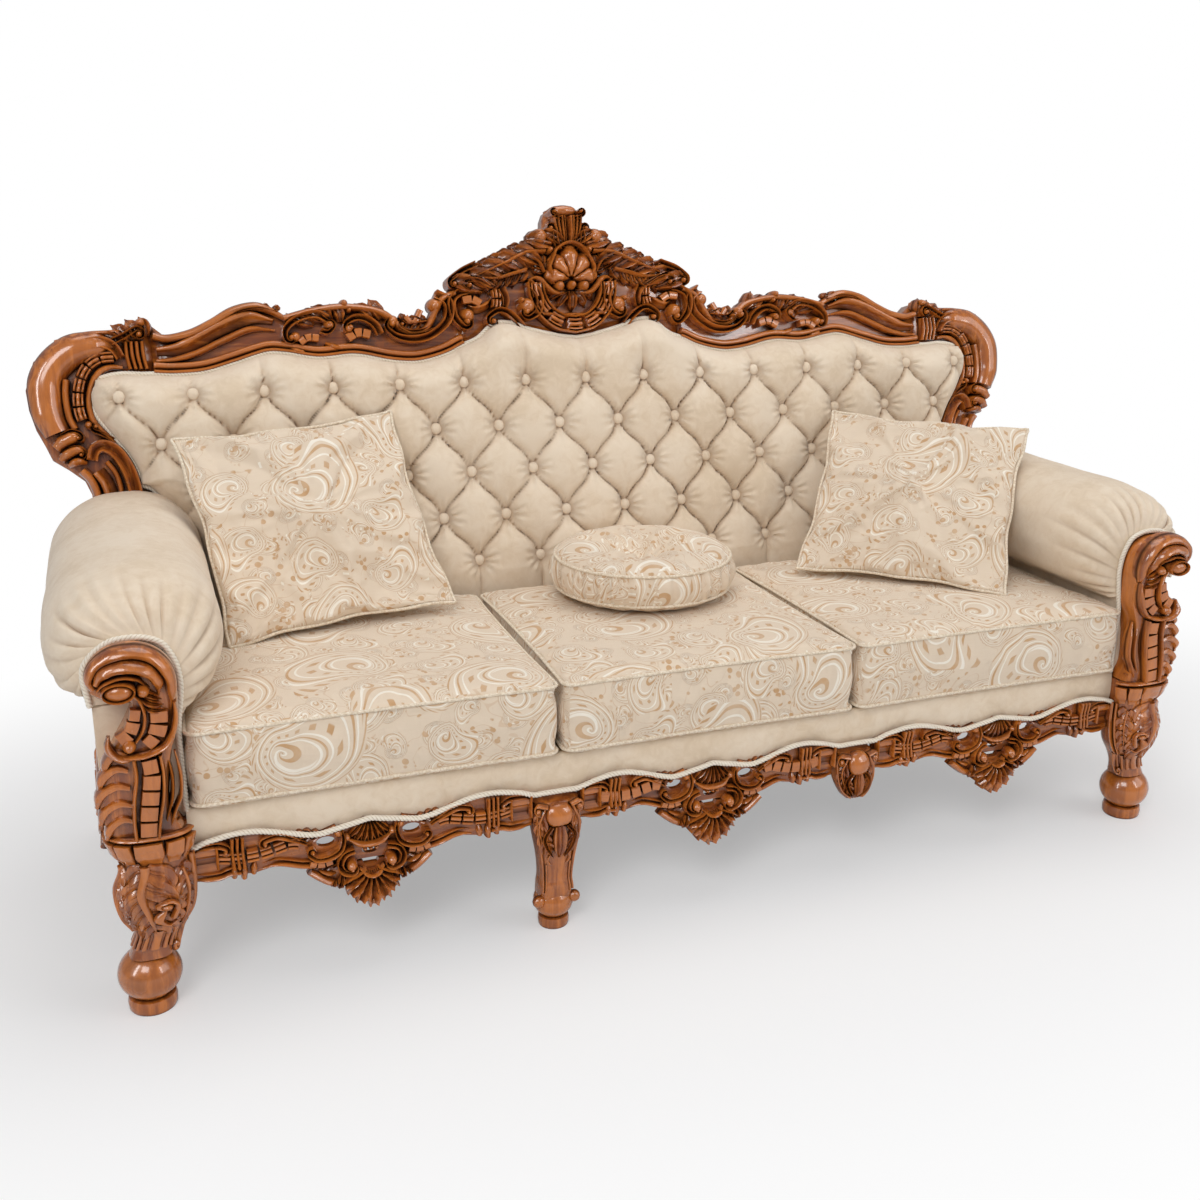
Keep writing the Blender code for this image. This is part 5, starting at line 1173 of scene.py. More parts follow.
# Crest rails: three C scrolls, leaf clusters and long fillets that run out to a volute
for side, hand in HANDS:
    bm = bmesh.new()
    ground(bm, "crest_rail_right")
    carve_list(bm, (
        (ROUND, 0.013, 0.026, EVEN, inset(rail_top_shares, 0.006)),
        (COVE, 0.020, 0.020, EVEN, inset(rail_foot_shares, -0.010)),
        (ROUND, 0.008, 0.024, EVEN, inset(rail_foot_shares, -0.004)),
        # Long fillets of the outer rail, with coves between them
        (ROUND, 0.015, 0.030, (0.6, 1, 1, 1, 0.8), [(0.583, 0.676), (0.610, 0.692), (0.640, 0.700),
            (0.680, 0.692), (0.720, 0.670), (0.760, 0.652), (0.800, 0.645), (0.826, 0.650)]),
        (COVE, 0.022, 0.026, (0.4, 1, 1, 1, 0.6), [(0.606, 0.672), (0.650, 0.680), (0.700, 0.664),
            (0.740, 0.644), (0.780, 0.626), (0.822, 0.622)]),
        (ROUND, 0.011, 0.024, (0.4, 1, 1, 1, 0.7), [(0.604, 0.655), (0.650, 0.658), (0.700, 0.639),
            (0.750, 0.617), (0.790, 0.606), (0.824, 0.604)]),
        (LEAF, 0.024, 0.030, LEAFLIKE, [(0.398, 0.672), (0.408, 0.692), (0.420, 0.712)]),
        (LEAF, 0.022, 0.030, LEAFLIKE, [(0.412, 0.676), (0.430, 0.690), (0.448, 0.704)]),
        (LEAF, 0.020, 0.032, LEAFLIKE, [(0.478, 0.668), (0.482, 0.688), (0.496, 0.704)]),
        (LEAF, 0.020, 0.032, LEAFLIKE, [(0.496, 0.672), (0.512, 0.690), (0.532, 0.700)]),
        (LEAF, 0.022, 0.032, LEAFLIKE, [(0.512, 0.672), (0.534, 0.684), (0.556, 0.690)]),
        (LEAF, 0.020, 0.030, LEAFLIKE, [(0.530, 0.664), (0.556, 0.672), (0.580, 0.688)]),
        (ROUND, 0.011, 0.026, LEAFLIKE, [(0.580, 0.620), (0.562, 0.612), (0.545, 0.611)]),
        (ROUND, 0.011, 0.026, LEAFLIKE, [(0.512, 0.628), (0.492, 0.618), (0.468, 0.616)])))
    for line, width, curl, turns in (
            (((0.288, 0.716), (0.268, 0.704), (0.262, 0.688), (0.269, 0.664), (0.287, 0.646),
              (0.312, 0.632), (0.342, 0.628), (0.371, 0.634), (0.389, 0.648)), 0.021, 0.0140, 0.60),
            (((0.405, 0.640), (0.413, 0.656), (0.430, 0.669), (0.450, 0.673), (0.467, 0.666)), 0.017,
             0.0125, -0.65),
            (((0.505, 0.672), (0.522, 0.681), (0.546, 0.679), (0.571, 0.669), (0.586, 0.654),
              (0.588, 0.640)), 0.018, 0.0120, -0.60),
            (((0.300, 0.652), (0.322, 0.644), (0.346, 0.643), (0.364, 0.650)), 0.010, 0.0080, 0.55),
            (((0.520, 0.650), (0.506, 0.646), (0.496, 0.655)), 0.011, 0.0095, -0.60)):
        scroll(bm, on_crest, line, width, 0.033, curl, turns)
    for x, s, radius in ((0.291, 0.694, 0.0155), (0.378, 0.666, 0.0125), (0.466, 0.652, 0.0105),
            (0.502, 0.660, 0.0120), (0.568, 0.640, 0.0115), (0.470, 0.702, 0.0085), (0.462, 0.688, 0.0060),
            (0.846, 0.674, 0.0100)):
        bead(bm, on_crest, (x, s), radius, 0.032)
    plates(bm, on_crest, ((0.424, 0.640), (0.448, 0.645), (0.470, 0.634)), 0.018, 0.024, 3)
    plates(bm, on_crest, ((0.524, 0.636), (0.545, 0.638), (0.562, 0.628)), 0.015, 0.024, 3)
    plates(bm, on_crest, ((0.318, 0.688), (0.336, 0.660), (0.352, 0.676)), 0.012, 0.014, 3)
    acanthus(bm, on_crest, ((0.310, 0.664), (0.326, 0.662), (0.350, 0.660), (0.366, 0.672)), 0.026, 0.024, 4)
    acanthus(bm, on_crest, ((0.596, 0.690), (0.640, 0.694), (0.690, 0.684)), 0.016, 0.030, 5, sides=(1,))
    finish_piece("carved_crest_rail_" + hand, hand_of(bm, side), walnut_x, "root", ["crest_rail_" + hand],
        crease=50)

# Corner scrolls: a leaf cap, a broad smooth band round the corner, blocks and knuckled rolls
scroll_outer_shares = (
    (0.7890, 0.756), (0.8130, 0.746), (0.8510, 0.739), (0.8980, 0.736), (0.9450, 0.721),
    (0.9800, 0.686), (0.9930, 0.629), (0.9900, 0.589), (0.9820, 0.548))
for side, hand in HANDS:
    bm = bmesh.new()
    ground(bm, "back_scroll_right")
    carve_list(bm, (
        # The broad outer band and the leaf fillets inside it
        (ROUND, 0.050, 0.034, (0.35, 0.9, 1, 1, 1, 0.95, 0.8), [(0.888, 0.640), (0.930, 0.636),
            (0.966, 0.628), (0.997, 0.606), (1.016, 0.577), (1.020, 0.548), (1.018, 0.515),
            (1.006, 0.480)]),
        (HOLLOW, 0.019, 0.030, (0.5, 1, 1, 0.8), [(0.974, 0.606), (0.960, 0.630), (0.937, 0.638),
            (0.914, 0.640), (0.896, 0.630), (0.886, 0.612)]),
        (LEAF, 0.017, 0.028, (0.4, 1, 1, 0.4), [(0.962, 0.618), (0.947, 0.629), (0.932, 0.624),
            (0.926, 0.612)]),
        (ROUND, 0.012, 0.026, (0.7, 1, 1, 1, 0.8), [(0.884, 0.594), (0.905, 0.596), (0.925, 0.587),
            (0.940, 0.564), (0.947, 0.535), (0.945, 0.505), (0.935, 0.485), (0.920, 0.468),
            (0.900, 0.440)]),
        (ROUND, 0.012, 0.028, EVEN, [(0.983, 0.575), (0.986, 0.545), (0.984, 0.510), (0.976, 0.486)]),
        # Knuckled rolls under the band, and the arcs of the neck
        (ROUND, 0.022, 0.034, (0.5, 1, 1, 0.8), [(0.962, 0.466), (0.978, 0.472), (0.998, 0.464),
            (1.012, 0.452)]),
        (ROUND, 0.017, 0.034, (0.5, 1, 1, 0.7), [(0.958, 0.440), (0.976, 0.448), (0.996, 0.440),
            (1.006, 0.430)]),
        (ROUND, 0.013, 0.030, (0.5, 1, 1, 0.6), [(0.962, 0.424), (0.978, 0.428), (0.994, 0.420)]),
        (HOLLOW, 0.022, 0.032, (0.8, 1, 1, 0.9), [(0.953, 0.428), (0.947, 0.446), (0.932, 0.453),
            (0.914, 0.444), (0.900, 0.424), (0.889, 0.395), (0.884, 0.360), (0.886, 0.325),
            (0.888, 0.304)]),
        (ROUND, 0.014, 0.028, EVEN, [(0.972, 0.410), (0.958, 0.392), (0.950, 0.365), (0.949, 0.335),
            (0.949, 0.304)]),
        (COVE, 0.020, 0.026, EVEN, [(0.945, 0.408), (0.932, 0.385), (0.926, 0.350), (0.926, 0.304)]),
        (ROUND, 0.010, 0.026, EVEN, [(0.928, 0.424), (0.914, 0.400), (0.908, 0.360), (0.908, 0.304)]),
        (LEAF, 0.026, 0.034, LEAFLIKE, [(0.846, 0.646), (0.858, 0.664), (0.872, 0.684)]),
        (LEAF, 0.024, 0.034, LEAFLIKE, [(0.860, 0.640), (0.878, 0.660), (0.898, 0.674)]),
        (LEAF, 0.022, 0.032, LEAFLIKE, [(0.838, 0.652), (0.840, 0.670), (0.848, 0.688)]),
        (LEAF, 0.022, 0.030, LEAFLIKE, [(0.874, 0.628), (0.896, 0.648), (0.922, 0.662)])))
    scroll(bm, on_crest, ((0.900, 0.640), (0.876, 0.650), (0.856, 0.662)), 0.014, 0.036, 0.0115, 0.7)
    for line, curl, turns in ((((0.912, 0.462), (0.930, 0.474), (0.944, 0.480)), 0.009, 0.7),
            (((1.000, 0.474), (0.984, 0.482), (0.970, 0.478)), 0.009, 0.75),
            (((0.996, 0.444), (0.980, 0.452), (0.967, 0.446)), 0.008, 0.75)):
        scroll(bm, on_crest, line, 0.010, 0.032, curl, turns)
    bead(bm, on_crest, (0.952, 0.492), 0.0085, 0.032)
    # Fluted block at the rail's end, and the ring of blocks round the pad's corner
    for k in range(4):
        x = 0.846 + 0.0095 * k
        sweep(bm, on_crest, ((x, 0.640), (x, 0.615), (x - 0.004, 0.590)), 0.0095, 0.026, ROUND,
              (0.9, 1, 0.9))
    plates(bm, on_crest, ((0.896, 0.614), (0.922, 0.612), (0.944, 0.598), (0.958, 0.575), (0.965, 0.548),
        (0.966, 0.520), (0.962, 0.500)), 0.021, 0.024, 6, section=REEDS)
    sweep(bm, on_back, outline_places(scroll_outer_shares)[:5], 0.012, 0.022, ROUND, EVEN, 0.004)
    finish_piece("carved_back_scroll_" + hand, hand_of(bm, side), walnut_z, "root", ["back_scroll_" + hand],
        crease=50)

# Front border: a padded strip of suede cloth, tacked under the cushions over the front rail.
# Its foot is cut to the wavy line of the aprons and trimmed with a sewn ivory rope.
CLOTH_PALE, CLOTH_MID, CLOTH_DEEP = srgb(234, 217, 194), srgb(226, 206, 180), srgb(217, 196, 168)
# Brown of the painted shade in the cloth's folds, pleats and button pits
CREASE_SHADE = srgb(150, 112, 76)
# The rope's pale colour, and the darker one painted as shade in the grooves between its strands
ROPE_PALE, ROPE_GROOVE_SHADE = srgb(240, 230, 212), srgb(196, 176, 146)
ROPE_RADIUS, ROPE_PITCH, ROPE_STRANDS, ROPE_STEP = 0.0046, 0.0180, 3, 0.0019

nap, given, out = effect("suede_nap", {"Pale": ("Color", CLOTH_PALE), "Mid": ("Color", CLOTH_MID),
    "Deep": ("Color", CLOTH_DEEP), "Cloud": ("Float", 7.0)}, {"Color": "Color", "Fibres": "Float",
    "Clouds": "Float"})
spot = wire(nap, "ShaderNodeTexCoord").outputs["Object"]
fibres = speckle(nap, spot, 900.0, 2, 0.7)
strokes = speckle(nap, spot, 46.0, 5, 0.65, 0.8)
clouds = speckle(nap, spot, given["Cloud"], 3, 0.5, 0.3)
brushed = calc(nap, "MULTIPLY_ADD", strokes, 0.45, calc(nap, "MULTIPLY", clouds, 0.55))
tone = tint(nap, span(nap, brushed, 0.40, 0.62), given["Mid"], given["Pale"])
tone = tint(nap, span(nap, brushed, 0.48, 0.34, 0, 0.6), tone, given["Deep"])
tone = tint(nap, span(nap, fibres, 0.62, 0.8, 0, 0.25), tone, given["Deep"])
# Painted shade: the recess layer darkens folds, pleats and button pits towards the shade brown
crease_shade = wire(nap, "ShaderNodeAttribute", attribute_name="recess").outputs["Fac"]
nap.links.new(tint(nap, crease_shade, tone, CREASE_SHADE), out["Color"])
nap.links.new(fibres, out["Fibres"])
nap.links.new(strokes, out["Clouds"])

suede, tree = new_finish("cream_suede")
pile = use(tree, nap)
shine(suede, Base_Color=pile["Color"], Roughness=span(tree, pile["Clouds"], 0.3, 0.7, 0.95, 0.78),
      Sheen_Weight=0.25, Sheen_Roughness=0.45, Specular_IOR_Level=0.25,
      Normal=bumped(tree, calc(tree, "MULTIPLY_ADD", pile["Clouds"], 1.6, pile["Fibres"]), 0.00045))
rope_finish, tree = new_finish("ivory_rope")
# Painted shade darkens the grooves between the strands
groove_shade = wire(tree, "ShaderNodeAttribute", attribute_name="recess").outputs["Fac"]
hairs = speckle(tree, wire(tree, "ShaderNodeTexCoord").outputs["Object"], 700, 2)
shine(rope_finish, Base_Color=tint(tree, span(tree, groove_shade, 0.2, 1.0, 0, 0.9), ROPE_PALE, ROPE_GROOVE_SHADE),
      Roughness=span(tree, hairs, 0.3, 0.7, 0.55, 0.75), Sheen_Weight=0.3,
      Normal=bumped(tree, hairs, 0.0003))


def tube(bm, points, radius, step, sides=8, closed=False, twist=0.0, strands=0, lean=(0, -1, 0)):
    """A round cord along a line in space, twisted from strands where it has any."""
    route = smooth_line(points, step)
    part, depth = new_part()
    count = len(route) - 1
    frames, lean = [], Vector(lean)
    for spot, way, share in route:
        lean = (lean - way * lean.dot(way)).normalized()
        frames.append((spot, lean, way.cross(lean)))
    for vert, onward, _ in grid(part, count, sides):
        k = round(onward * count)
        spot, up, out = frames[0 if closed and k == count else k]
        turn = math.pi * vert.co.y
        thick = 1.0
        if strands:
            lobe = abs(math.cos(strands / 2 * (turn - twist * k * step)))
            thick = 0.66 + 0.40 * lobe ** 0.7
            # Painted shade for the grooves between strands, which the rope's finish reads
            vert[depth] = 1 - lobe ** 0.8
        vert.co = spot + (up * math.cos(turn) + out * math.sin(turn)) * radius * thick
    add_part(bm, part)


def sew_rope(name, points, side=1):
    """A piece of twisted rope trim along a line, on the right hand or mirrored to the left."""
    bm = bmesh.new()
    tube(bm, points, ROPE_RADIUS, ROPE_STEP, 12, twist=2 * math.pi / ROPE_PITCH, strands=ROPE_STRANDS)
    finish_piece(name, hand_of(bm, side), rope_finish, "root", crease=70)


apron_spans = []
for hand in BAYS:
    low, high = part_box("apron_" + hand)
    apron_spans.append(((low.x + high.x) / 2, (high.x - low.x) / 2))


def rope_height(x):
    """Height of the aprons' upper line at a place along the front."""
    middle, half = min(apron_spans, key=lambda span: abs(x - span[0]))
    return read_smooth(rope_line_heights, min(1, abs(x - middle) / half))[0]


def round_slab(t):
    """Once round a slab's section: share of the way to its back, and share of its height."""
    if t < 0.46:
        return 0, t / 0.46
    if t < 0.5:
        return (t - 0.46) / 0.04, 1
    if t < 0.96:
        return 1, (0.96 - t) / 0.46
    return (1 - t) / 0.04, 0


border_low, border_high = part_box("front_border")
BORDER_COLUMNS, BORDER_ROWS = 420, 50
bm = bmesh.new()
part, _ = new_part()
for vert, along_front, round_it in grid(part, BORDER_COLUMNS, BORDER_ROWS):
    x = mix(border_low.x, border_high.x, along_front)
    foot = rope_height(x)
    behind, up = round_slab(round_it)
    plump = math.sin(math.pi * up) ** 0.4
    folds = noise.noise(Vector((x * 22, up * 1.2, 3))) + 0.6 * noise.noise(Vector((x * 55, up * 2, 9)))
    y = mix(border_low.y + 0.004 - plump * 0.005 - folds * 0.0032 * (1 - 0.5 * up), border_high.y, behind)
    vert.co = Vector((x, y, mix(foot, border_high.z, up)))
add_part(bm, part)
made = finish_piece("border_cloth", bm, suede, "root", ["front_border"], 60)
sew_rope("border_rope", [(x, border_low.y - 0.0105, rope_height(x) + 0.0050)
    for x in [mix(border_low.x + 0.002, border_high.x - 0.002, k / 90) for k in range(91)]])

# Arms: a stuffed roll over each arm rail, gathered in pleats behind the post's head.
# The suede is drawn round the stuffing, tacked to the rail, and trimmed with rope in front.
ARM_RAIL_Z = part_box("arm_rail_right")[0].z
ROLL_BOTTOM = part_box("arm_rail_right")[1].z + 0.0003
roll_low, roll_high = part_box("arm_roll_right")
PANEL_THICKNESS = 0.015
ROLL_INNER, ROLL_OUTER = LEG_INNER_X - roll_low.x, roll_high.x - LEG_INNER_X
# The roll's outline in shares of its reach from the inner face and of its height
roll_shares = (
    (-0.02, -0.05), (-0.36, 0.03), (-0.76, 0.14), (-0.97, 0.32), (-1.00, 0.48), (-0.86, 0.72),
    (-0.48, 0.91), (0.02, 0.99), (0.25, 1.00), (0.50, 0.97), (0.76, 0.86), (0.93, 0.68), (1.00, 0.46),
    (0.97, 0.28), (0.88, 0.14), (0.70, 0.07))
NOSE_LENGTH = 0.150
nose_sizes = ((0, 0.0), (0.03, 0.22), (0.08, 0.42), (0.18, 0.62), (0.35, 0.80), (0.60, 0.925), (1.0, 1.0),
    (7.0, 1.0))
# The line round the post's head where the cover starts, from its inner side over the top
HEAD_LINE = ((0.862, 0.466), (0.857, 0.500), (0.8555, 0.525), (0.8595, 0.553), (0.873, 0.581),
    (0.8935, 0.593), (0.918, 0.5965), (0.944, 0.5935), (0.966, 0.580), (0.981, 0.562), (0.9845, 0.545),
    (0.983, 0.525), (0.981, 0.510), (0.9797, 0.4985))
PLEATS = 30


def back_plane_y(z):
    """How far back the leaning back's plane is at a height."""
    return BACK_FOOT_Y + (z - BACK_FOOT_Z) * math.tan(BACK_RAKE)


ROLL_AROUND, ROLL_ALONG = 160, 90
head = Vector((POST_WIDTH * 0.45, ROLL_BOTTOM + 0.012))
outline = [Vector((0, RAIL_TOP + 0.0008)), Vector((0, 0.40)), Vector((0, ARM_RAIL_Z - 0.004))]
for x, z in roll_shares:
    outline.append(Vector((x * (ROLL_INNER if x < 0 else ROLL_OUTER), mix(ARM_RAIL_Z, roll_high.z, z))))
outline += [Vector((0.118, ROLL_BOTTOM + 0.001)), Vector((0.06, ROLL_BOTTOM + 0.001)),
    Vector((PANEL_THICKNESS, ROLL_BOTTOM)), Vector((PANEL_THICKNESS, 0.40)),
    Vector((PANEL_THICKNESS, RAIL_TOP + 0.0008)), outline[0]]
ring_route = smooth_line(outline, 0.001)
head_route = smooth_line(HEAD_LINE, 0.001)
stuffed_shares = [share for spot, way, share in ring_route
    if not -0.001 <= spot.x <= 0.1146 or spot.y > ROLL_BOTTOM + 0.004]
first_share, last_share = min(stuffed_shares), max(stuffed_shares)
for side, hand in HANDS:
    part, depth = new_part()
    for vert, backward, share in grid(part, ROLL_ALONG, ROLL_AROUND):
        along_arm = backward ** 1.9
        x, z = ring_route[round(share * (len(ring_route) - 1))][0]
        end = back_plane_y(z) - 0.0375
        y = mix(roll_low.y + 0.0003, end, along_arm)
        nose = (y - roll_low.y) / NOSE_LENGTH
        if first_share <= share <= last_share:
            round_head = (share - first_share) / (last_share - first_share)
            start = head_route[round(round_head * (len(head_route) - 1))][0] - Vector((LEG_INNER_X, 0))
            angle = math.atan2(x - head.x, z - head.y)
            size = read_smooth(nose_sizes, nose)[0]
            crease = abs(math.sin(PLEATS / 2 * angle + 1.7 * math.sin(2.3 * angle))) ** 0.6
            deep = max(0, 1 - nose / (0.80 + 0.25 * math.sin(5 * angle))) ** 1.1 * min(1, 0.25 + nose * 9)
            soft = noise.noise(Vector((angle * 2.2, y * 9, side * 4))) * 0.0028
            full = start.lerp(Vector((x, z)), size)
            away = (full - head).normalized()
            x, z = full + away * (soft + 0.004 * deep - 0.0135 * deep * (1 - crease))
            # Painted shade darkens the deep hollows between the pleats
            vert[depth] = 0.75 * deep * max(0, 1 - 1.6 * crease)
        else:
            x += noise.noise(Vector((z * 18, y * 14, 2))) * 0.0008
        vert.co = Vector((LEG_INNER_X + x, y, z))
    bm = bmesh.new()
    add_part(bm, part)
    made = finish_piece("arm_cover_" + hand, hand_of(bm, side), suede, "root", ["arm_roll_" + hand],
        70)
    # Rope outside the hood and down the inner side, where the cover meets the post
    rope_line = [(x - 0.001, post_high.y - 0.005, z + 0.002) for x, z in HEAD_LINE[::-1]]
    rope_line += [(0.8635, post_high.y - 0.006, z) for z in (0.44, 0.40, 0.35, 0.318)]
    sew_rope("arm_rope_" + hand, rope_line, side)

    panel_low, panel_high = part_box("arm_outer_panel_right")
    part, _ = new_part()
    for vert, across_panel, round_it in grid(part, 120, 100):
        behind, up = round_slab(round_it)
        z = mix(panel_low.z, panel_high.z, up)
        end = back_plane_y(z) - 0.0005
        y = mix(panel_low.y, end, across_panel)
        plump = max(0, math.sin(math.pi * across_panel) * math.sin(math.pi * up)) ** 0.35
        folds = noise.noise(Vector((y * 12, z * 3, side * 5))) * 0.0022 * plump
        x = mix(panel_high.x - 0.003 + 0.004 * plump + folds, panel_low.x, behind)
        vert.co = Vector((x, y, z))
    bm = bmesh.new()
    add_part(bm, part)
    # A strip of suede closes the arm's front below the roll, behind the post's waist
    front = bmesh.ops.create_cube(bm, size=1)["verts"]
    start = Vector((LEG_INNER_X + PANEL_THICKNESS, -0.3750, panel_low.z))
    stop = Vector((panel_low.x, -0.3715, panel_high.z + 0.0015))
    for vert in front:
        vert.co = Vector([mix(a, b, c + 0.5) for a, b, c in zip(start, stop, vert.co)])
    made = finish_piece("arm_side_" + hand, hand_of(bm, side), suede, "root", ["arm_outer_panel_" + hand],
        60)

# Back pad: hair stuffing under suede, tufted in diamonds with covered buttons.
# Pleats run from button to button, and straight up and down to the pad's roped edge.
TUFT_PITCH, TUFT_ROW, TUFT_TOP_ROW, TUFT_ROWS = 0.128, 0.0885, 0.536, 5
TUFT_DEPTH, PAD_THICKNESS, PAD_FOOT_THICKNESS, PAD_EDGE_THICKNESS = 0.040, 0.090, 0.058, 0.018
PAD_SHOULDER, PAD_BOTTOM, PAD_REAR = 0.062, 0.030, 0.0037
BUTTON_RADIUS, PAD_STEP = 0.0120, 0.0044
crest_foot_shares = (
    (0.0000, 0.698), (0.0340, 0.703), (0.0440, 0.706), (0.0662, 0.712), (0.0860, 0.718),
    (0.1040, 0.724), (0.1276, 0.735), (0.1635, 0.735), (0.1985, 0.704))
scroll_inner_shares = (
    (0.8130, 0.652), (0.8370, 0.654), (0.8600, 0.652), (0.8790, 0.647), (0.8930, 0.634),
    (0.9010, 0.614), (0.9000, 0.589), (0.8910, 0.562), (0.8790, 0.540), (0.8650, 0.516),
    (0.8510, 0.491), (0.8365, 0.451), (0.8320, 0.405))
pad_top_line = outline_places(crest_foot_shares + rail_foot_shares + scroll_inner_shares[:4])
ROLL_SIDE_X = LEG_INNER_X - ROLL_INNER - 0.003
arm_waist, arm_top = 0.315, 0.375
pad_side_line = [(0, ROLL_SIDE_X), (arm_waist - 0.06, ROLL_SIDE_X + 0.002), (arm_top + 0.003, LEG_INNER_X)]
pad_side_line += [(s, x - 0.003) for x, s in outline_places(scroll_inner_shares[:3:-1])]
PAD_TOP = max(s for _, s in pad_top_line)


def pad_spot(u, v):
    """Place on the pad's outline grid: u across from -1 to 1, v up from 0 to 1."""
    x = u * LEG_INNER_X
    for _ in range(3):
        top = read_smooth(pad_top_line, abs(x))[0] - 0.002
        s = mix(PAD_BOTTOM, top, v)
        half = read_smooth(pad_side_line, min(s, pad_side_line[-1][0]))[0]
        x = u * half
    return x, s, half, top


def pad_front(x, s, half, top):
    """How far the pad stands in front of the back frame at a place, and how much painted shade darkens its
    folds and button pits.
    """
    edge = min(top - s, half - abs(x), s - PAD_BOTTOM + PAD_SHOULDER / 3)
    shoulder = math.sin(0.5 * math.pi * min(1, max(0, edge) / PAD_SHOULDER)) ** 0.62
    lumbar = mix(PAD_FOOT_THICKNESS, PAD_THICKNESS, min(1, max(0, (s - PAD_BOTTOM) / 0.13)))
    full = mix(PAD_EDGE_THICKNESS, lumbar, shoulder)
    row = (TUFT_TOP_ROW - s) / (2 * TUFT_ROW)
    a, b = x / TUFT_PITCH + row, x / TUFT_PITCH - row
    a, b = a + 0.035 * math.sin(2 * math.pi * b), b + 0.035 * math.sin(2 * math.pi * a)
    # Distance to the nearest button of the lattice
    far = 1.0
    row_number = min(TUFT_ROWS - 1, max(0, round((TUFT_TOP_ROW - s) / TUFT_ROW)))
    for number in (row_number - 1, row_number, row_number + 1):
        if 0 <= number < TUFT_ROWS:
            column = x / TUFT_PITCH - 0.5 * (number % 2)
            dx = (column - round(column)) * TUFT_PITCH
            ds = TUFT_TOP_ROW - number * TUFT_ROW - s
            if math.hypot(dx, ds) < far:
                far, turn = math.hypot(dx, ds), math.atan2(ds, dx)
    pit = 1 - math.exp(-far / 0.026)
    above = max(0, s - TUFT_TOP_ROW)
    below = max(0, TUFT_TOP_ROW - (TUFT_ROWS - 1) * TUFT_ROW - s)
    if above or below:
        shift = 0 if above or TUFT_ROWS % 2 else 0.5
        line = abs(math.sin(math.pi * (x / TUFT_PITCH - shift)))
        fade = min(1, (above + below) / 0.13)
        dome, line = mix(line ** 0.5, 0.75 + 0.25 * line ** 0.5, fade), line
    else:
        dome = (abs(math.sin(math.pi * a)) * abs(math.sin(math.pi * b))) ** 0.5
        line = min(abs(math.sin(math.pi * a)), abs(math.sin(math.pi * b)))
        fade = 0
    groove = math.exp(-line / 0.10) * (1 - 0.6 * fade)
    relief = 0.42 * pit + 0.34 * dome + 0.24 * (1 - groove)
    # Fine creases fan out of each button
    relief -= 0.085 * math.exp(-((far - 0.022) / 0.013) ** 2) * math.sin(12 * turn + 9 * x)
    soft = noise.noise(Vector((x * 16, s * 16, 5))) * 0.0016
    # The second value is painted shade for the grooves and the pits round the buttons
    return (PAD_REAR + full - TUFT_DEPTH * shoulder * (1 - relief) + soft * shoulder,
            shoulder * max(groove ** 2.2 * 0.9, 0.85 * math.exp(-(far / 0.014) ** 2)))


bm = bmesh.new()
part, depth = new_part()
columns, rows = round(2 * LEG_INNER_X / PAD_STEP), round((PAD_TOP - PAD_BOTTOM) / PAD_STEP)
for vert, _, up in grid(part, columns, rows):
    x, s, half, top = pad_spot(vert.co.x, up)
    front, vert[depth] = pad_front(x, s, half, top)
    vert.co = on_back(x, s, front)
drawn = bmesh.ops.extrude_edge_only(part, edges=[e for e in part.edges if e.is_boundary])["geom"]
for vert in drawn:
    if isinstance(vert, bmesh.types.BMVert):
        up, rear = vert.co.z - BACK_FOOT_Z, vert.co.y - BACK_FOOT_Y
        out = up * math.sin(BACK_RAKE) - rear * math.cos(BACK_RAKE)
        vert.co += Vector((0, math.cos(BACK_RAKE), -math.sin(BACK_RAKE))) * (out - PAD_REAR)
add_part(bm, part)
made = finish_piece("tufted_pad", bm, suede, "root", ["back_pad"], 75)

buttons = bmesh.new()
for row_number in range(TUFT_ROWS):
    s = TUFT_TOP_ROW - row_number * TUFT_ROW
    shift = 0.5 * (row_number % 2)
    for k in range(-7, 8):
        x = (k + shift) * TUFT_PITCH
        half = read_smooth(pad_side_line, s)[0]
        top = read_smooth(pad_top_line, min(abs(x), 0.9))[0]
        if abs(x) < half - 0.035:
            # Each button is darker towards the pad, as painted shade, through its recess layer
            bead(buttons, on_back, (x, s), BUTTON_RADIUS, 0.0085,
                 pad_front(x, s, half, top)[0] + 0.0125, cells=(20, 10))
finish_piece("pad_buttons", buttons, suede, "root", crease=75)

# Rope trim round the pad, laid in the angle between the cloth and the carved frame
edge_line = []
for k in range(9, 61):
    x, s, half, top = pad_spot(1.0, k / 60)
    edge_line.append((x - 0.001, s))
top_side = []
for k in range(1, 120):
    x, s, half, top = pad_spot(1 - k / 120, 1.0)
    top_side.append((x, s + 0.0015))
right_side = edge_line + top_side
whole = right_side + [(0, pad_spot(0, 1.0)[1] + 0.0015)] + [(-x, s) for x, s in right_side[::-1]]
sew_rope("pad_rope", [on_back(x, s, PAD_EDGE_THICKNESS + 0.007) for x, s in whole])

# Seat cushions: three loose box cushions of feather and foam in ivory jacquard, piped at the seams.
# Top, border and bottom are sewn together over a cord, so the cloth swells between the seams.
JACQUARD_BASE, JACQUARD_PALE, JACQUARD_TAN = srgb(231, 213, 190), srgb(253, 246, 232), srgb(200, 156, 108)

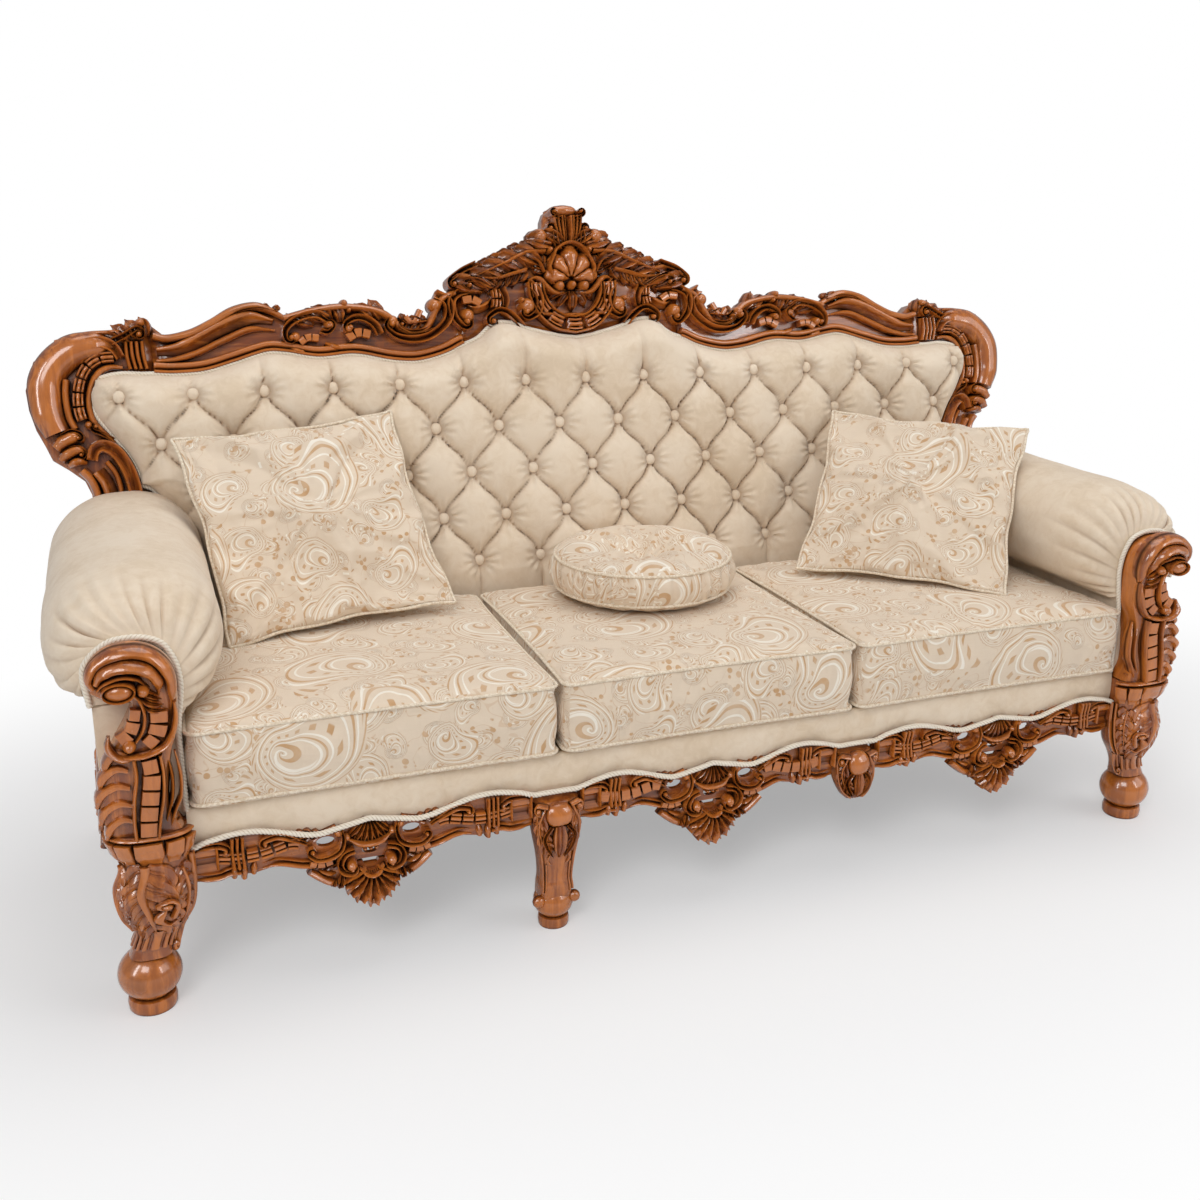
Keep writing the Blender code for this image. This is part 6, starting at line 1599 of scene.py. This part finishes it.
motif, given, out = effect(
    "paisley_motif", {"Place": ("Vector", (0, 0, 0)), "Pitch": ("Float", 0.26), "Shift": ("Float", 0.0)},
    {"Pale": "Float", "Tan": "Float", "Near": "Float"})
parts = wire(motif, "ShaderNodeSeparateXYZ", {0: given["Place"]}).outputs
u = calc(motif, "ADD", calc(motif, "DIVIDE", parts[0], given["Pitch"]), given["Shift"])
column = calc(motif, "FLOOR", u)
v = calc(motif, "MULTIPLY_ADD", column, 0.5, calc(motif, "DIVIDE", parts[1], given["Pitch"]))
row = calc(motif, "FLOOR", v)
cell = wire(motif, "ShaderNodeCombineXYZ", {0: column, 1: row, 2: given["Shift"]}).outputs[0]
luck = wire(motif, "ShaderNodeTexWhiteNoise", {"Vector": cell}, noise_dimensions="3D").outputs["Value"]
local = wire(motif, "ShaderNodeCombineXYZ", {
    0: calc(motif, "SUBTRACT", calc(motif, "SUBTRACT", u, column), 0.5),
    1: calc(motif, "SUBTRACT", calc(motif, "SUBTRACT", v, row), 0.5)}).outputs[0]
turned_place = wire(motif, "ShaderNodeVectorRotate", {
    "Vector": local, "Angle": calc(motif, "MULTIPLY", luck, 2 * math.pi)}, rotation_type="Z_AXIS").outputs[0]
shifted = wire(motif, "ShaderNodeVectorMath", {0: turned_place, 1: (0, 0.10, 0)}).outputs[0]
parts = wire(motif, "ShaderNodeSeparateXYZ", {0: shifted}).outputs
reach = wire(motif, "ShaderNodeVectorMath", {0: shifted}, operation="LENGTH").outputs["Value"]
angle = calc(motif, "MULTIPLY_ADD", reach, 2.9, calc(motif, "ARCTAN2", parts[0], parts[1]))
tip = calc(motif, "POWER", calc(motif, "MULTIPLY_ADD", calc(motif, "COSINE", angle), 0.5, 0.5), 3.2)
level = calc(motif, "DIVIDE", reach, calc(motif, "MULTIPLY_ADD", tip, 0.37, 0.155))


def ring_of(tree, value, middle, half):
    """1 on a band of the value round its middle, and 0 away from it."""
    off = calc(tree, "ABSOLUTE", calc(tree, "SUBTRACT", value, middle))
    return span(tree, off, half * 1.25, half * 0.75)


def toothed(tree, angle, count, low, high):
    """Leaf marks repeated round a motif."""
    return span(tree, calc(tree, "SINE", calc(tree, "MULTIPLY", angle, count)), low, high)


def most(tree, *values):
    """The greatest of some values."""
    result = values[0]
    for value in values[1:]:
        result = calc(tree, "MAXIMUM", result, value)
    return result


slanted = calc(motif, "MULTIPLY_ADD", level, 2.4, angle)
spiral = calc(motif, "MULTIPLY_ADD", calc(motif, "LOGARITHM", calc(motif, "MAXIMUM", level, 0.02), math.e),
    2.6, angle)
inner = span(motif, level, 0.44, 0.40)
leaves = calc(motif, "MULTIPLY", ring_of(motif, level, 1.20, 0.065), toothed(motif, slanted, 17, 0.1, 0.35))
petals = calc(motif, "MULTIPLY", ring_of(motif, level, 0.70, 0.045), toothed(motif, angle, 13, 0.3, 0.5))
curl = calc(motif, "MULTIPLY", inner, toothed(motif, spiral, 1, 0.75, 0.85))
motif.links.new(most(motif, ring_of(motif, level, 0.96, 0.022), ring_of(motif, level, 0.52, 0.014), leaves,
    petals, curl), out["Tan"])
motif.links.new(most(motif, ring_of(motif, level, 1.04, 0.020), ring_of(motif, level, 0.85, 0.014),
    ring_of(motif, level, 0.59, 0.014), ring_of(motif, level, 0.455, 0.016),
    calc(motif, "MULTIPLY", inner, toothed(motif, spiral, 1, -0.72, -0.86))), out["Pale"])
motif.links.new(span(motif, level, 1.32, 1.27), out["Near"])

jacquard, tree = new_finish("ivory_jacquard")
place = wire(tree, "ShaderNodeUVMap", uv_map="UVMap").outputs["UV"]
sway = wire(tree, "ShaderNodeTexNoise", {"Vector": place, "Scale": 9.0, "Detail": 1.0}).outputs["Color"]
swayed = wire(tree, "ShaderNodeVectorMath", {0: sway, 1: (0.5, 0.5, 0.5)}, operation="SUBTRACT").outputs[0]
swayed = wire(tree, "ShaderNodeVectorMath", {0: swayed, 1: (0.018, 0.018, 0.018), 2: place},
    operation="MULTIPLY_ADD").outputs[0]
large = use(tree, motif, {"Place": swayed, "Pitch": 0.23, "Shift": 0.0})
small = use(tree, motif, {"Place": swayed, "Pitch": 0.115, "Shift": 0.5})
free = calc(tree, "SUBTRACT", 1.0, large["Near"])
tiny = use(tree, motif, {"Place": swayed, "Pitch": 0.062, "Shift": 0.25})
clear = calc(tree, "MULTIPLY", free, calc(tree, "SUBTRACT", 1.0, small["Near"]))
vines = speckle(tree, swayed, 15.0, 1, 0.4, 0.9)
stems = calc(tree, "MULTIPLY", clear, ring_of(tree, vines, 0.505, 0.006))
leafy = wire(tree, "ShaderNodeTexVoronoi", {"Vector": swayed, "Scale": 62.0, "Randomness": 0.85}).outputs
leaf_marks = calc(tree, "MULTIPLY", span(tree, leafy["Distance"], 0.36, 0.30),
    ring_of(tree, vines, 0.46, 0.07))
leaf_marks = calc(tree, "MULTIPLY", leaf_marks, clear)
tan = most(tree, large["Tan"], calc(tree, "MULTIPLY", free, small["Tan"]), leaf_marks,
    calc(tree, "MULTIPLY", clear, tiny["Tan"]), calc(tree, "MULTIPLY", stems, 0.4))
pale = most(tree, large["Pale"], calc(tree, "MULTIPLY", free, small["Pale"]),
    calc(tree, "MULTIPLY", clear, tiny["Pale"]))
worn = span(tree, speckle(tree, place, 21.0, 4, 0.6), 0.3, 0.7, 0.55, 0.95)
thread = use(tree, weave, {"Place": place, "Pitch": 0.0012, "Slubs": 0.5})
mixed = calc(tree, "ADD", thread["Thread"], thread["Uneven"])
tone = tint(tree, calc(tree, "MULTIPLY", pale, 0.85), JACQUARD_BASE, JACQUARD_PALE)
tone = tint(tree, calc(tree, "MULTIPLY", tan, worn), tone, JACQUARD_TAN)
tone = tint(tree, span(tree, mixed, 0.9, 0.3, 0, 0.16), tone, JACQUARD_TAN)
raised = calc(tree, "MULTIPLY_ADD", calc(tree, "MAXIMUM", tan, pale), 0.6, mixed)
shine(jacquard, Base_Color=tone, Roughness=span(tree, pale, 0, 1, 0.72, 0.5), Sheen_Weight=0.2,
      Sheen_Roughness=0.4, Specular_IOR_Level=0.3, Normal=bumped(tree, raised, 0.0004))
piping_finish, tree = new_finish("jacquard_piping")
fine = speckle(tree, wire(tree, "ShaderNodeTexCoord").outputs["Object"], 240, 3)
shine(piping_finish,
    Base_Color=tint(tree, span(tree, fine, 0.35, 0.65), srgb(212, 192, 164), srgb(236, 223, 202)),
    Roughness=span(tree, fine, 0.3, 0.7, 0.6, 0.78), Sheen_Weight=0.2, Normal=bumped(tree, fine, 0.0003))


def dense(bm, voxel):
    """Remesh a closed shape into even small faces, ready for a cloth simulation."""
    mesh = bpy.data.meshes.new("dense")
    bm.to_mesh(mesh)
    made = bpy.data.objects.new("dense", mesh)
    bpy.context.collection.objects.link(made)
    remesh = made.modifiers.new("remesh", "REMESH")
    remesh.mode, remesh.voxel_size = "VOXEL", voxel
    even = bpy.data.meshes.new_from_object(made.evaluated_get(bpy.context.evaluated_depsgraph_get()))
    bpy.data.objects.remove(made)
    bpy.data.meshes.remove(mesh)
    bm.clear()
    bm.from_mesh(even)
    bpy.data.meshes.remove(even)


def puff(bm, held, pressure, cap, grow):
    """Fill a shape with stuffing: cloth under pressure, held at its seams, moved no more than cap."""
    mesh = bpy.data.meshes.new("puffed")
    bm.to_mesh(mesh)
    made = bpy.data.objects.new("puffed", mesh)
    bpy.context.collection.objects.link(made)
    seam = made.vertex_groups.new(name="seam")
    for vert in mesh.vertices:
        if held(vert.co):
            seam.add([vert.index], 1.0, "REPLACE")
    cloth_fill = made.modifiers.new("cloth", "CLOTH")
    settings = cloth_fill.settings
    settings.quality, settings.mass = 5, 0.25
    settings.tension_stiffness = settings.compression_stiffness = 18
    settings.shear_stiffness, settings.bending_stiffness = 8, 0.4
    settings.use_pressure, settings.uniform_pressure_force = True, pressure
    settings.shrink_min = settings.shrink_max = -grow
    settings.vertex_group_mass = "seam"
    settings.effector_weights.gravity = 0
    cloth_fill.point_cache.frame_start, cloth_fill.point_cache.frame_end = 1, 20
    for frame_number in range(1, 21):
        bpy.context.scene.frame_set(frame_number)
    filled = bpy.data.meshes.new_from_object(made.evaluated_get(bpy.context.evaluated_depsgraph_get()))
    bm.verts.ensure_lookup_table()
    for vert, moved in zip(bm.verts, filled.vertices):
        shift = moved.co - vert.co
        vert.co += shift * min(1, cap / max(shift.length, 1e-9))
    bpy.context.scene.frame_set(1)
    bpy.data.objects.remove(made)
    bpy.data.meshes.remove(mesh)
    bpy.data.meshes.remove(filled)


def unwrap(bm):
    """Lay the pattern flat on each side of a cushion, in metres."""
    bm.normal_update()
    layer = bm.loops.layers.uv.new("UVMap")
    for face in bm.faces:
        x, y, z = (abs(part) for part in face.normal)
        for loop in face.loops:
            a, b, c = loop.vert.co
            if z >= x and z >= y:
                loop[layer].uv = (a, b)
            elif y >= x:
                loop[layer].uv = (a + 0.13, c + 0.31)
            else:
                loop[layer].uv = (b + 0.47, c + 0.05)


def rounded_ring(half_x, half_y, radius, step):
    """Places round a rectangle with round corners."""
    line = []
    for turn, a, b in ((0, half_x, half_y), (1, -half_x, half_y), (2, -half_x, -half_y),
            (3, half_x, -half_y)):
        centre = Vector((math.copysign(abs(a) - radius, a), math.copysign(abs(b) - radius, b)))
        for k in range(7):
            spin = math.pi / 2 * (turn + k / 6)
            line.append(centre + Vector((math.cos(spin), math.sin(spin))) * radius)
    line.append(line[0])
    ring = []
    for a, b in zip(line, line[1:]):
        count = max(1, round((b - a).length / step))
        ring += [a.lerp(b, k / count) for k in range(count)]
    return ring


def upholster(name, bm, body, stands_for, matrix=None):
    """Finish a stuffed jacquard piece: pattern, place, slot and smoothing."""
    unwrap(bm)
    if matrix:
        bmesh.ops.transform(bm, matrix=matrix, verts=bm.verts)
    made = finish_piece(name, bm, jacquard, body, [stands_for], 180)
    smooth = made.modifiers.new("smooth", "SUBSURF")
    smooth.levels = smooth.render_levels = 1
    return made


def pipe(bm, ring, lean):
    """Piping: a covered cord along a closed seam."""
    tube(bm, ring + [ring[0]], PIPING_RADIUS, 0.004, 8, True, lean=lean)


PIPING_RADIUS, SEAT_CORNER, SEAT_VOXEL = 0.0030, 0.020, 0.0075
SEAT_DRAW_IN, SEAT_CROWN, SEAM_DROP, SEAM_RISE = 0.006, 0.012, 0.007, 0.010
seat_tops = {}
for number, hand in enumerate(BAYS):
    low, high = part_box("seat_cushion_" + hand)
    middle, half = (low + high) / 2, (high - low) / 2
    flat_top = high.z - SEAT_CROWN
    seam_top, seam_bottom = flat_top - SEAM_DROP, low.z + SEAM_RISE

    def from_middle(co):
        """How far out a place is each way, as shares of the half sizes, and the crown's share there."""
        a = min(1, abs(co.x - middle.x) / half.x)
        b = min(1, abs(co.y - middle.y) / half.y)
        return a, b, ((1 - a ** 4) * (1 - b ** 4)) ** 0.6

    def drawn_in(co):
        """Draw the sides in between the corners, as the part's cushions do."""
        a, b, _ = from_middle(co)
        return Vector((middle.x + (co.x - middle.x) * (1 - SEAT_DRAW_IN / half.x * (1 - b * b)),
            middle.y + (co.y - middle.y) * (1 - SEAT_DRAW_IN / half.y * (1 - a * a)), co.z))

    levels = ((low.z, 0.014), (low.z + 0.003, 0.006), (seam_bottom, 0.0025), (seam_bottom + 0.006, 0.0045),
        ((seam_top + seam_bottom) / 2, 0.002), (seam_top - 0.008, 0.0045), (seam_top, 0.0025),
        (flat_top - 0.002, 0.007), (flat_top + 0.001, 0.016))
    bm = bmesh.new()
    ring = rounded_ring(half.x, half.y, SEAT_CORNER, 0.03)
    count = len(ring)
    for vert, round_it, up in grid(bm, count, len(levels) - 1):
        spot = ring[round(round_it * count) % count]
        z, inset = levels[round(up * (len(levels) - 1))]
        vert.co = Vector((middle.x + spot.x * (1 - inset / half.x),
            middle.y + spot.y * (1 - inset / half.y), z))
    bmesh.ops.remove_doubles(bm, verts=bm.verts, dist=WELD)
    bmesh.ops.holes_fill(bm, edges=[edge for edge in bm.edges if edge.is_boundary], sides=0)
    bmesh.ops.recalc_face_normals(bm, faces=bm.faces)
    dense(bm, SEAT_VOXEL)
    for vert in bm.verts:
        a, b, crown = from_middle(vert.co)
        above = max(0, min(1, (vert.co.z - seam_top) / (flat_top - seam_top)))
        vert.co = drawn_in(vert.co)
        creases = noise.noise(Vector((vert.co.x * 34 + number * 9, vert.co.z * 7, vert.co.y * 34)))
        if b > 0.9 or a > 0.9:
            vert.co.y += math.copysign(0.0044 * creases * (1 - above), vert.co.y - middle.y)
        soft = noise.noise(Vector((vert.co.x * 11, vert.co.y * 11, number)))
        vert.co.z += above * (0.72 * SEAT_CROWN * crown + 0.0016 * soft)

    def at_seam(co):
        """Held by a seam, or resting on the deck."""
        return co.z < seam_bottom + 0.004 or abs(co.z - seam_top) < 0.005

    puff(bm, at_seam, 2.5, 0.012, 0.02)
    for vert in bm.verts:
        crown = from_middle(vert.co)[2]
        vert.co.x = min(high.x + 0.0005, max(low.x - 0.0005, vert.co.x))
        vert.co.y = min(high.y + 0.001, max(low.y - 0.006, vert.co.y))
        vert.co.z = max(low.z, min(vert.co.z, flat_top + SEAT_CROWN * crown))
    seat_tops[hand] = BVHTree.FromBMesh(bm)
    upholster("seat_cover_" + hand, bm, hand + "_seat", "seat_cushion_" + hand)
    bm = bmesh.new()
    for z in (seam_top, seam_bottom):
        ring = rounded_ring(half.x - 0.0022, half.y - 0.0022, SEAT_CORNER, 0.012)
        line = [drawn_in(Vector((middle.x + spot.x, middle.y + spot.y, z))) for spot in ring]
        pipe(bm, line, (0, 0, 1))
    finish_piece("seat_piping_" + hand, bm, piping_finish, hand + "_seat", crease=80)

# Scatter pillows: two square feather pillows in the same jacquard, with a piped seam all round.
# They lean in the corners of the sofa, loose on the outer seats.
PILLOW_SIZE, PILLOW_THICK, PILLOW_RIM, PILLOW_DRAW = 0.418, 0.146, 0.008, 0.012
PILLOW_CELLS = 72


def lift_to_rest(bm, matrix, seat):
    """How far up a placed pillow has to move to lie on its seat with a hair's clearance."""
    lift = -1.0
    for vert in bm.verts:
        spot = matrix @ vert.co
        hit = seat.ray_cast(Vector((spot.x, spot.y, 1)), Vector((0, 0, -1)))[0]
        if hit:
            lift = max(lift, hit.z + 0.0003 - spot.z)
    return lift


for hand, turn, seed in (("left", (-40, -3, 8), 3), ("right", (-48, 2, -39), 8)):
    half = PILLOW_SIZE / 2

    def outline_place(u, v):
        """Place in the pillow's plane, its sides drawn in and slightly waved."""
        wave = 0.0022 * math.sin(9 * (u + v) + seed) + 0.003 * noise.noise(Vector((u * 3, v * 3, seed)))
        pull_u = PILLOW_DRAW * (1 - v * v) + wave * (1 - v ** 6)
        pull_v = PILLOW_DRAW * (1 - u * u) + wave * (1 - u ** 6)
        return u * (half - 0.004 - pull_u * abs(u)), v * (half - 0.004 - pull_v * abs(v))

    bm = bmesh.new()
    for way in (-1, 1):
        part = bmesh.new()
        for vert, _, _ in grid(part, PILLOW_CELLS, PILLOW_CELLS):
            u, v = vert.co.x, vert.co.y
            x, z = outline_place(u, v)
            full = (math.cos(u * math.pi / 2) * math.cos(v * math.pi / 2)) ** 0.5
            lumps = noise.noise(Vector((x * 14, z * 14, seed + way))) * 0.005 * full
            rays = math.sin(22 * math.atan2(x, z)) * 0.0016 * min(1, 6 * full) * (1 - full)
            thick = PILLOW_RIM / 2 * 0.2 + (PILLOW_THICK * 0.82 / 2 - 0.002) * full + lumps + rays
            if abs(abs(u) - 1) < 1e-6 or abs(abs(v) - 1) < 1e-6:
                thick = 0
            vert.co = Vector((x, way * thick, z))
        join(bm, part)
    bmesh.ops.remove_doubles(bm, verts=bm.verts, dist=WELD)
    bmesh.ops.recalc_face_normals(bm, faces=bm.faces)

    puff(bm, lambda co: abs(co.y) < 0.0012, 4.0, 0.024, 0.04)
    for vert in bm.verts:
        u, v = min(1, abs(vert.co.x) / half), min(1, abs(vert.co.z) / half)
        full = (math.cos(u * math.pi / 2) * math.cos(v * math.pi / 2)) ** 0.42
        most_thick = mix(PILLOW_RIM, PILLOW_THICK, full) / 2 + 0.001
        vert.co.y = min(most_thick, max(-most_thick, vert.co.y))
    low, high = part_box("pillow_" + hand)
    spin = Matrix.Identity(4)
    for degrees, axis in zip(turn, "XYZ"):
        spin = Matrix.Rotation(math.radians(degrees), 4, axis) @ spin
    matrix = Matrix.Translation((low + high) / 2) @ spin
    matrix = Matrix.Translation((0, 0, lift_to_rest(bm, matrix, seat_tops[hand]))) @ matrix
    upholster("pillow_cover_" + hand, bm, hand + "_pillow", "pillow_" + hand, matrix)
    seam = []
    for side in range(4):
        for k in range(36):
            t = -1 + 2 * k / 36
            u, v = ((t, -1), (1, t), (-t, 1), (-1, -t))[side]
            x, z = outline_place(u, v)
            seam.append(matrix @ Vector((x, 0, z)))
    bm = bmesh.new()
    pipe(bm, seam, spin @ Vector((0, 1, 0)))
    finish_piece("pillow_piping_" + hand, bm, piping_finish, hand + "_pillow", crease=80)

# Round cushion: two discs of jacquard and a gathered band, piped at both seams.
# A covered button is sewn through its middle and draws the cloth in.
low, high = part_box("round_cushion")
middle = (low + high) / 2
ROUND_RADIUS, ROUND_THICK = (high.x - low.x) / 2, high.z - low.z
ROUND_SINK = 0.052
round_profile = [(0.0, 1.0), (0.08, 1.0), (0.25, 1.02), (0.5, 1.03), (0.72, 1.0), (0.86, 0.92),
    (0.93, 0.84), (0.95, 0.79), (0.955, 0.75), (0.985, 0.62), (0.99, 0.5)]
bm = bmesh.new()
line = [Vector((radius * ROUND_RADIUS, 0, low.z + height * ROUND_THICK)) for radius, height in round_profile]
line += [Vector((radius * ROUND_RADIUS, 0, low.z + max(0, 1 - height) * ROUND_THICK))
    for radius, height in round_profile[-2::-1]]
strip = [bm.verts.new(point) for point in line]
edges = [bm.edges.new(pair) for pair in zip(strip, strip[1:])]
bmesh.ops.spin(bm, geom=strip + edges, cent=(0, 0, 0), axis=(0, 0, 1), steps=64, angle=2 * math.pi,
    use_merge=True)
bmesh.ops.remove_doubles(bm, verts=bm.verts, dist=WELD)
bmesh.ops.recalc_face_normals(bm, faces=bm.faces)
dense(bm, 0.0052)
seam_heights = (low.z + 0.79 * ROUND_THICK, low.z + 0.21 * ROUND_THICK)
for vert in bm.verts:
    reach, angle = math.hypot(vert.co.x, vert.co.y), math.atan2(vert.co.y, vert.co.x)
    up = (vert.co.z - low.z) / ROUND_THICK
    dimple = math.exp(-(reach / 0.055) ** 1.4)
    rays = math.sin(12 * angle + 2 * math.sin(3 * angle)) * 0.0065 * math.exp(-((reach - 0.070) / 0.045) ** 2)
    sink = (ROUND_SINK * dimple + rays) * (1 if up > 0.5 else -1) * (1 if abs(up - 0.5) > 0.32 else 0)
    vert.co.z -= sink


def sewn(co):
    """Held by a seam or by the button, or resting on the seat."""
    reach = math.hypot(co.x, co.y)
    by_seam = min(abs(co.z - height) for height in seam_heights) < 0.004 and reach > 0.9 * ROUND_RADIUS
    return by_seam or reach < 0.012 or co.z < low.z + 0.002


puff(bm, sewn, 3.0, 0.010, 0.02)
swollen = max(vert.co.z for vert in bm.verts) - seam_heights[0]
lowered = min(1, (high.z + 0.006 - seam_heights[0]) / swollen)
for vert in bm.verts:
    if vert.co.z > seam_heights[0]:
        vert.co.z = mix(seam_heights[0], vert.co.z, lowered)
    reach, angle = math.hypot(vert.co.x, vert.co.y), math.atan2(vert.co.y, vert.co.x)
    up = (vert.co.z - low.z) / ROUND_THICK
    band = max(0, 1 - abs(up - 0.5) / 0.33)
    gather = math.sin(31 * angle + 2.2 * math.sin(5 * angle)) + 0.5 * math.sin(53 * angle + 2)
    fresh = min(ROUND_RADIUS, reach) + 0.0036 * gather * math.sin(math.pi * band / 2 + 0.25) * (band > 0)
    vert.co.x, vert.co.y = fresh * math.cos(angle), fresh * math.sin(angle)
    vert.co.z = max(low.z, vert.co.z)
shift = Vector((middle.x, middle.y, 0))
upholster("round_cover", bm, "round_pillow", "round_cushion", Matrix.Translation(shift))
bm = bmesh.new()
for z in seam_heights:
    ring = [shift + Vector((0.952 * ROUND_RADIUS * math.cos(k * math.pi / 60),
        0.952 * ROUND_RADIUS * math.sin(k * math.pi / 60), z)) for k in range(120)]
    pipe(bm, ring, (0, 0, 1))
bead(bm, lambda x, y, out: Vector((middle.x + x, middle.y + y, out)), (0, 0), 0.013, 0.007,
     high.z - ROUND_SINK + 0.003)
finish_piece("round_piping", bm, piping_finish, "round_pillow", crease=80)

# Outer back: suede drawn over a board and tacked to the frame last, so that it closes the back.
# The middle is taut, and the cloth puckers a little where it is turned over the board.
bm = bmesh.new()
bm.from_mesh(nodes["back_outer_panel"].data)
bmesh.ops.remove_doubles(bm, verts=bm.verts, dist=WELD)
bm.verts.layers.float.new("recess")
uphill = (on_back(0, 1, 0) - on_back(0, 0, 0)).normalized()
behind = uphill.cross(Vector((-1, 0, 0)))
for across_board, count in ((Vector((1, 0, 0)), 70), (uphill, 34)):
    for k in range(-count, count):
        bmesh.ops.bisect_plane(bm, geom=bm.verts[:] + bm.edges[:] + bm.faces[:], dist=1e-6,
            plane_co=on_back(0, 0.3, 0) + across_board * k * 0.016, plane_no=across_board)
bm.normal_update()
for vert in bm.verts:
    if vert.normal.dot(behind) > 0.5:
        folds = 0.0022 * noise.noise(vert.co * 7) + 0.0010 * noise.noise(vert.co * 23)
        vert.co += behind * (0.0015 + folds)
# The cloth runs on down the seat rail, between the rear legs, and is tacked under it
rail_low, rail_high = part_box("seat_rail_back")
part, _ = new_part()
bmesh.ops.create_cube(part, size=1)
bmesh.ops.scale(part, vec=(rail_high.x - rail_low.x - 0.006, 0.0036, 0.0715), verts=part.verts)
bmesh.ops.translate(part, vec=(0, rail_high.y + 0.0022, rail_low.z + 0.0380), verts=part.verts)
add_part(bm, part)
made = finish_piece("outer_back_cloth", bm, suede, "root", ["back_outer_panel"], 50)
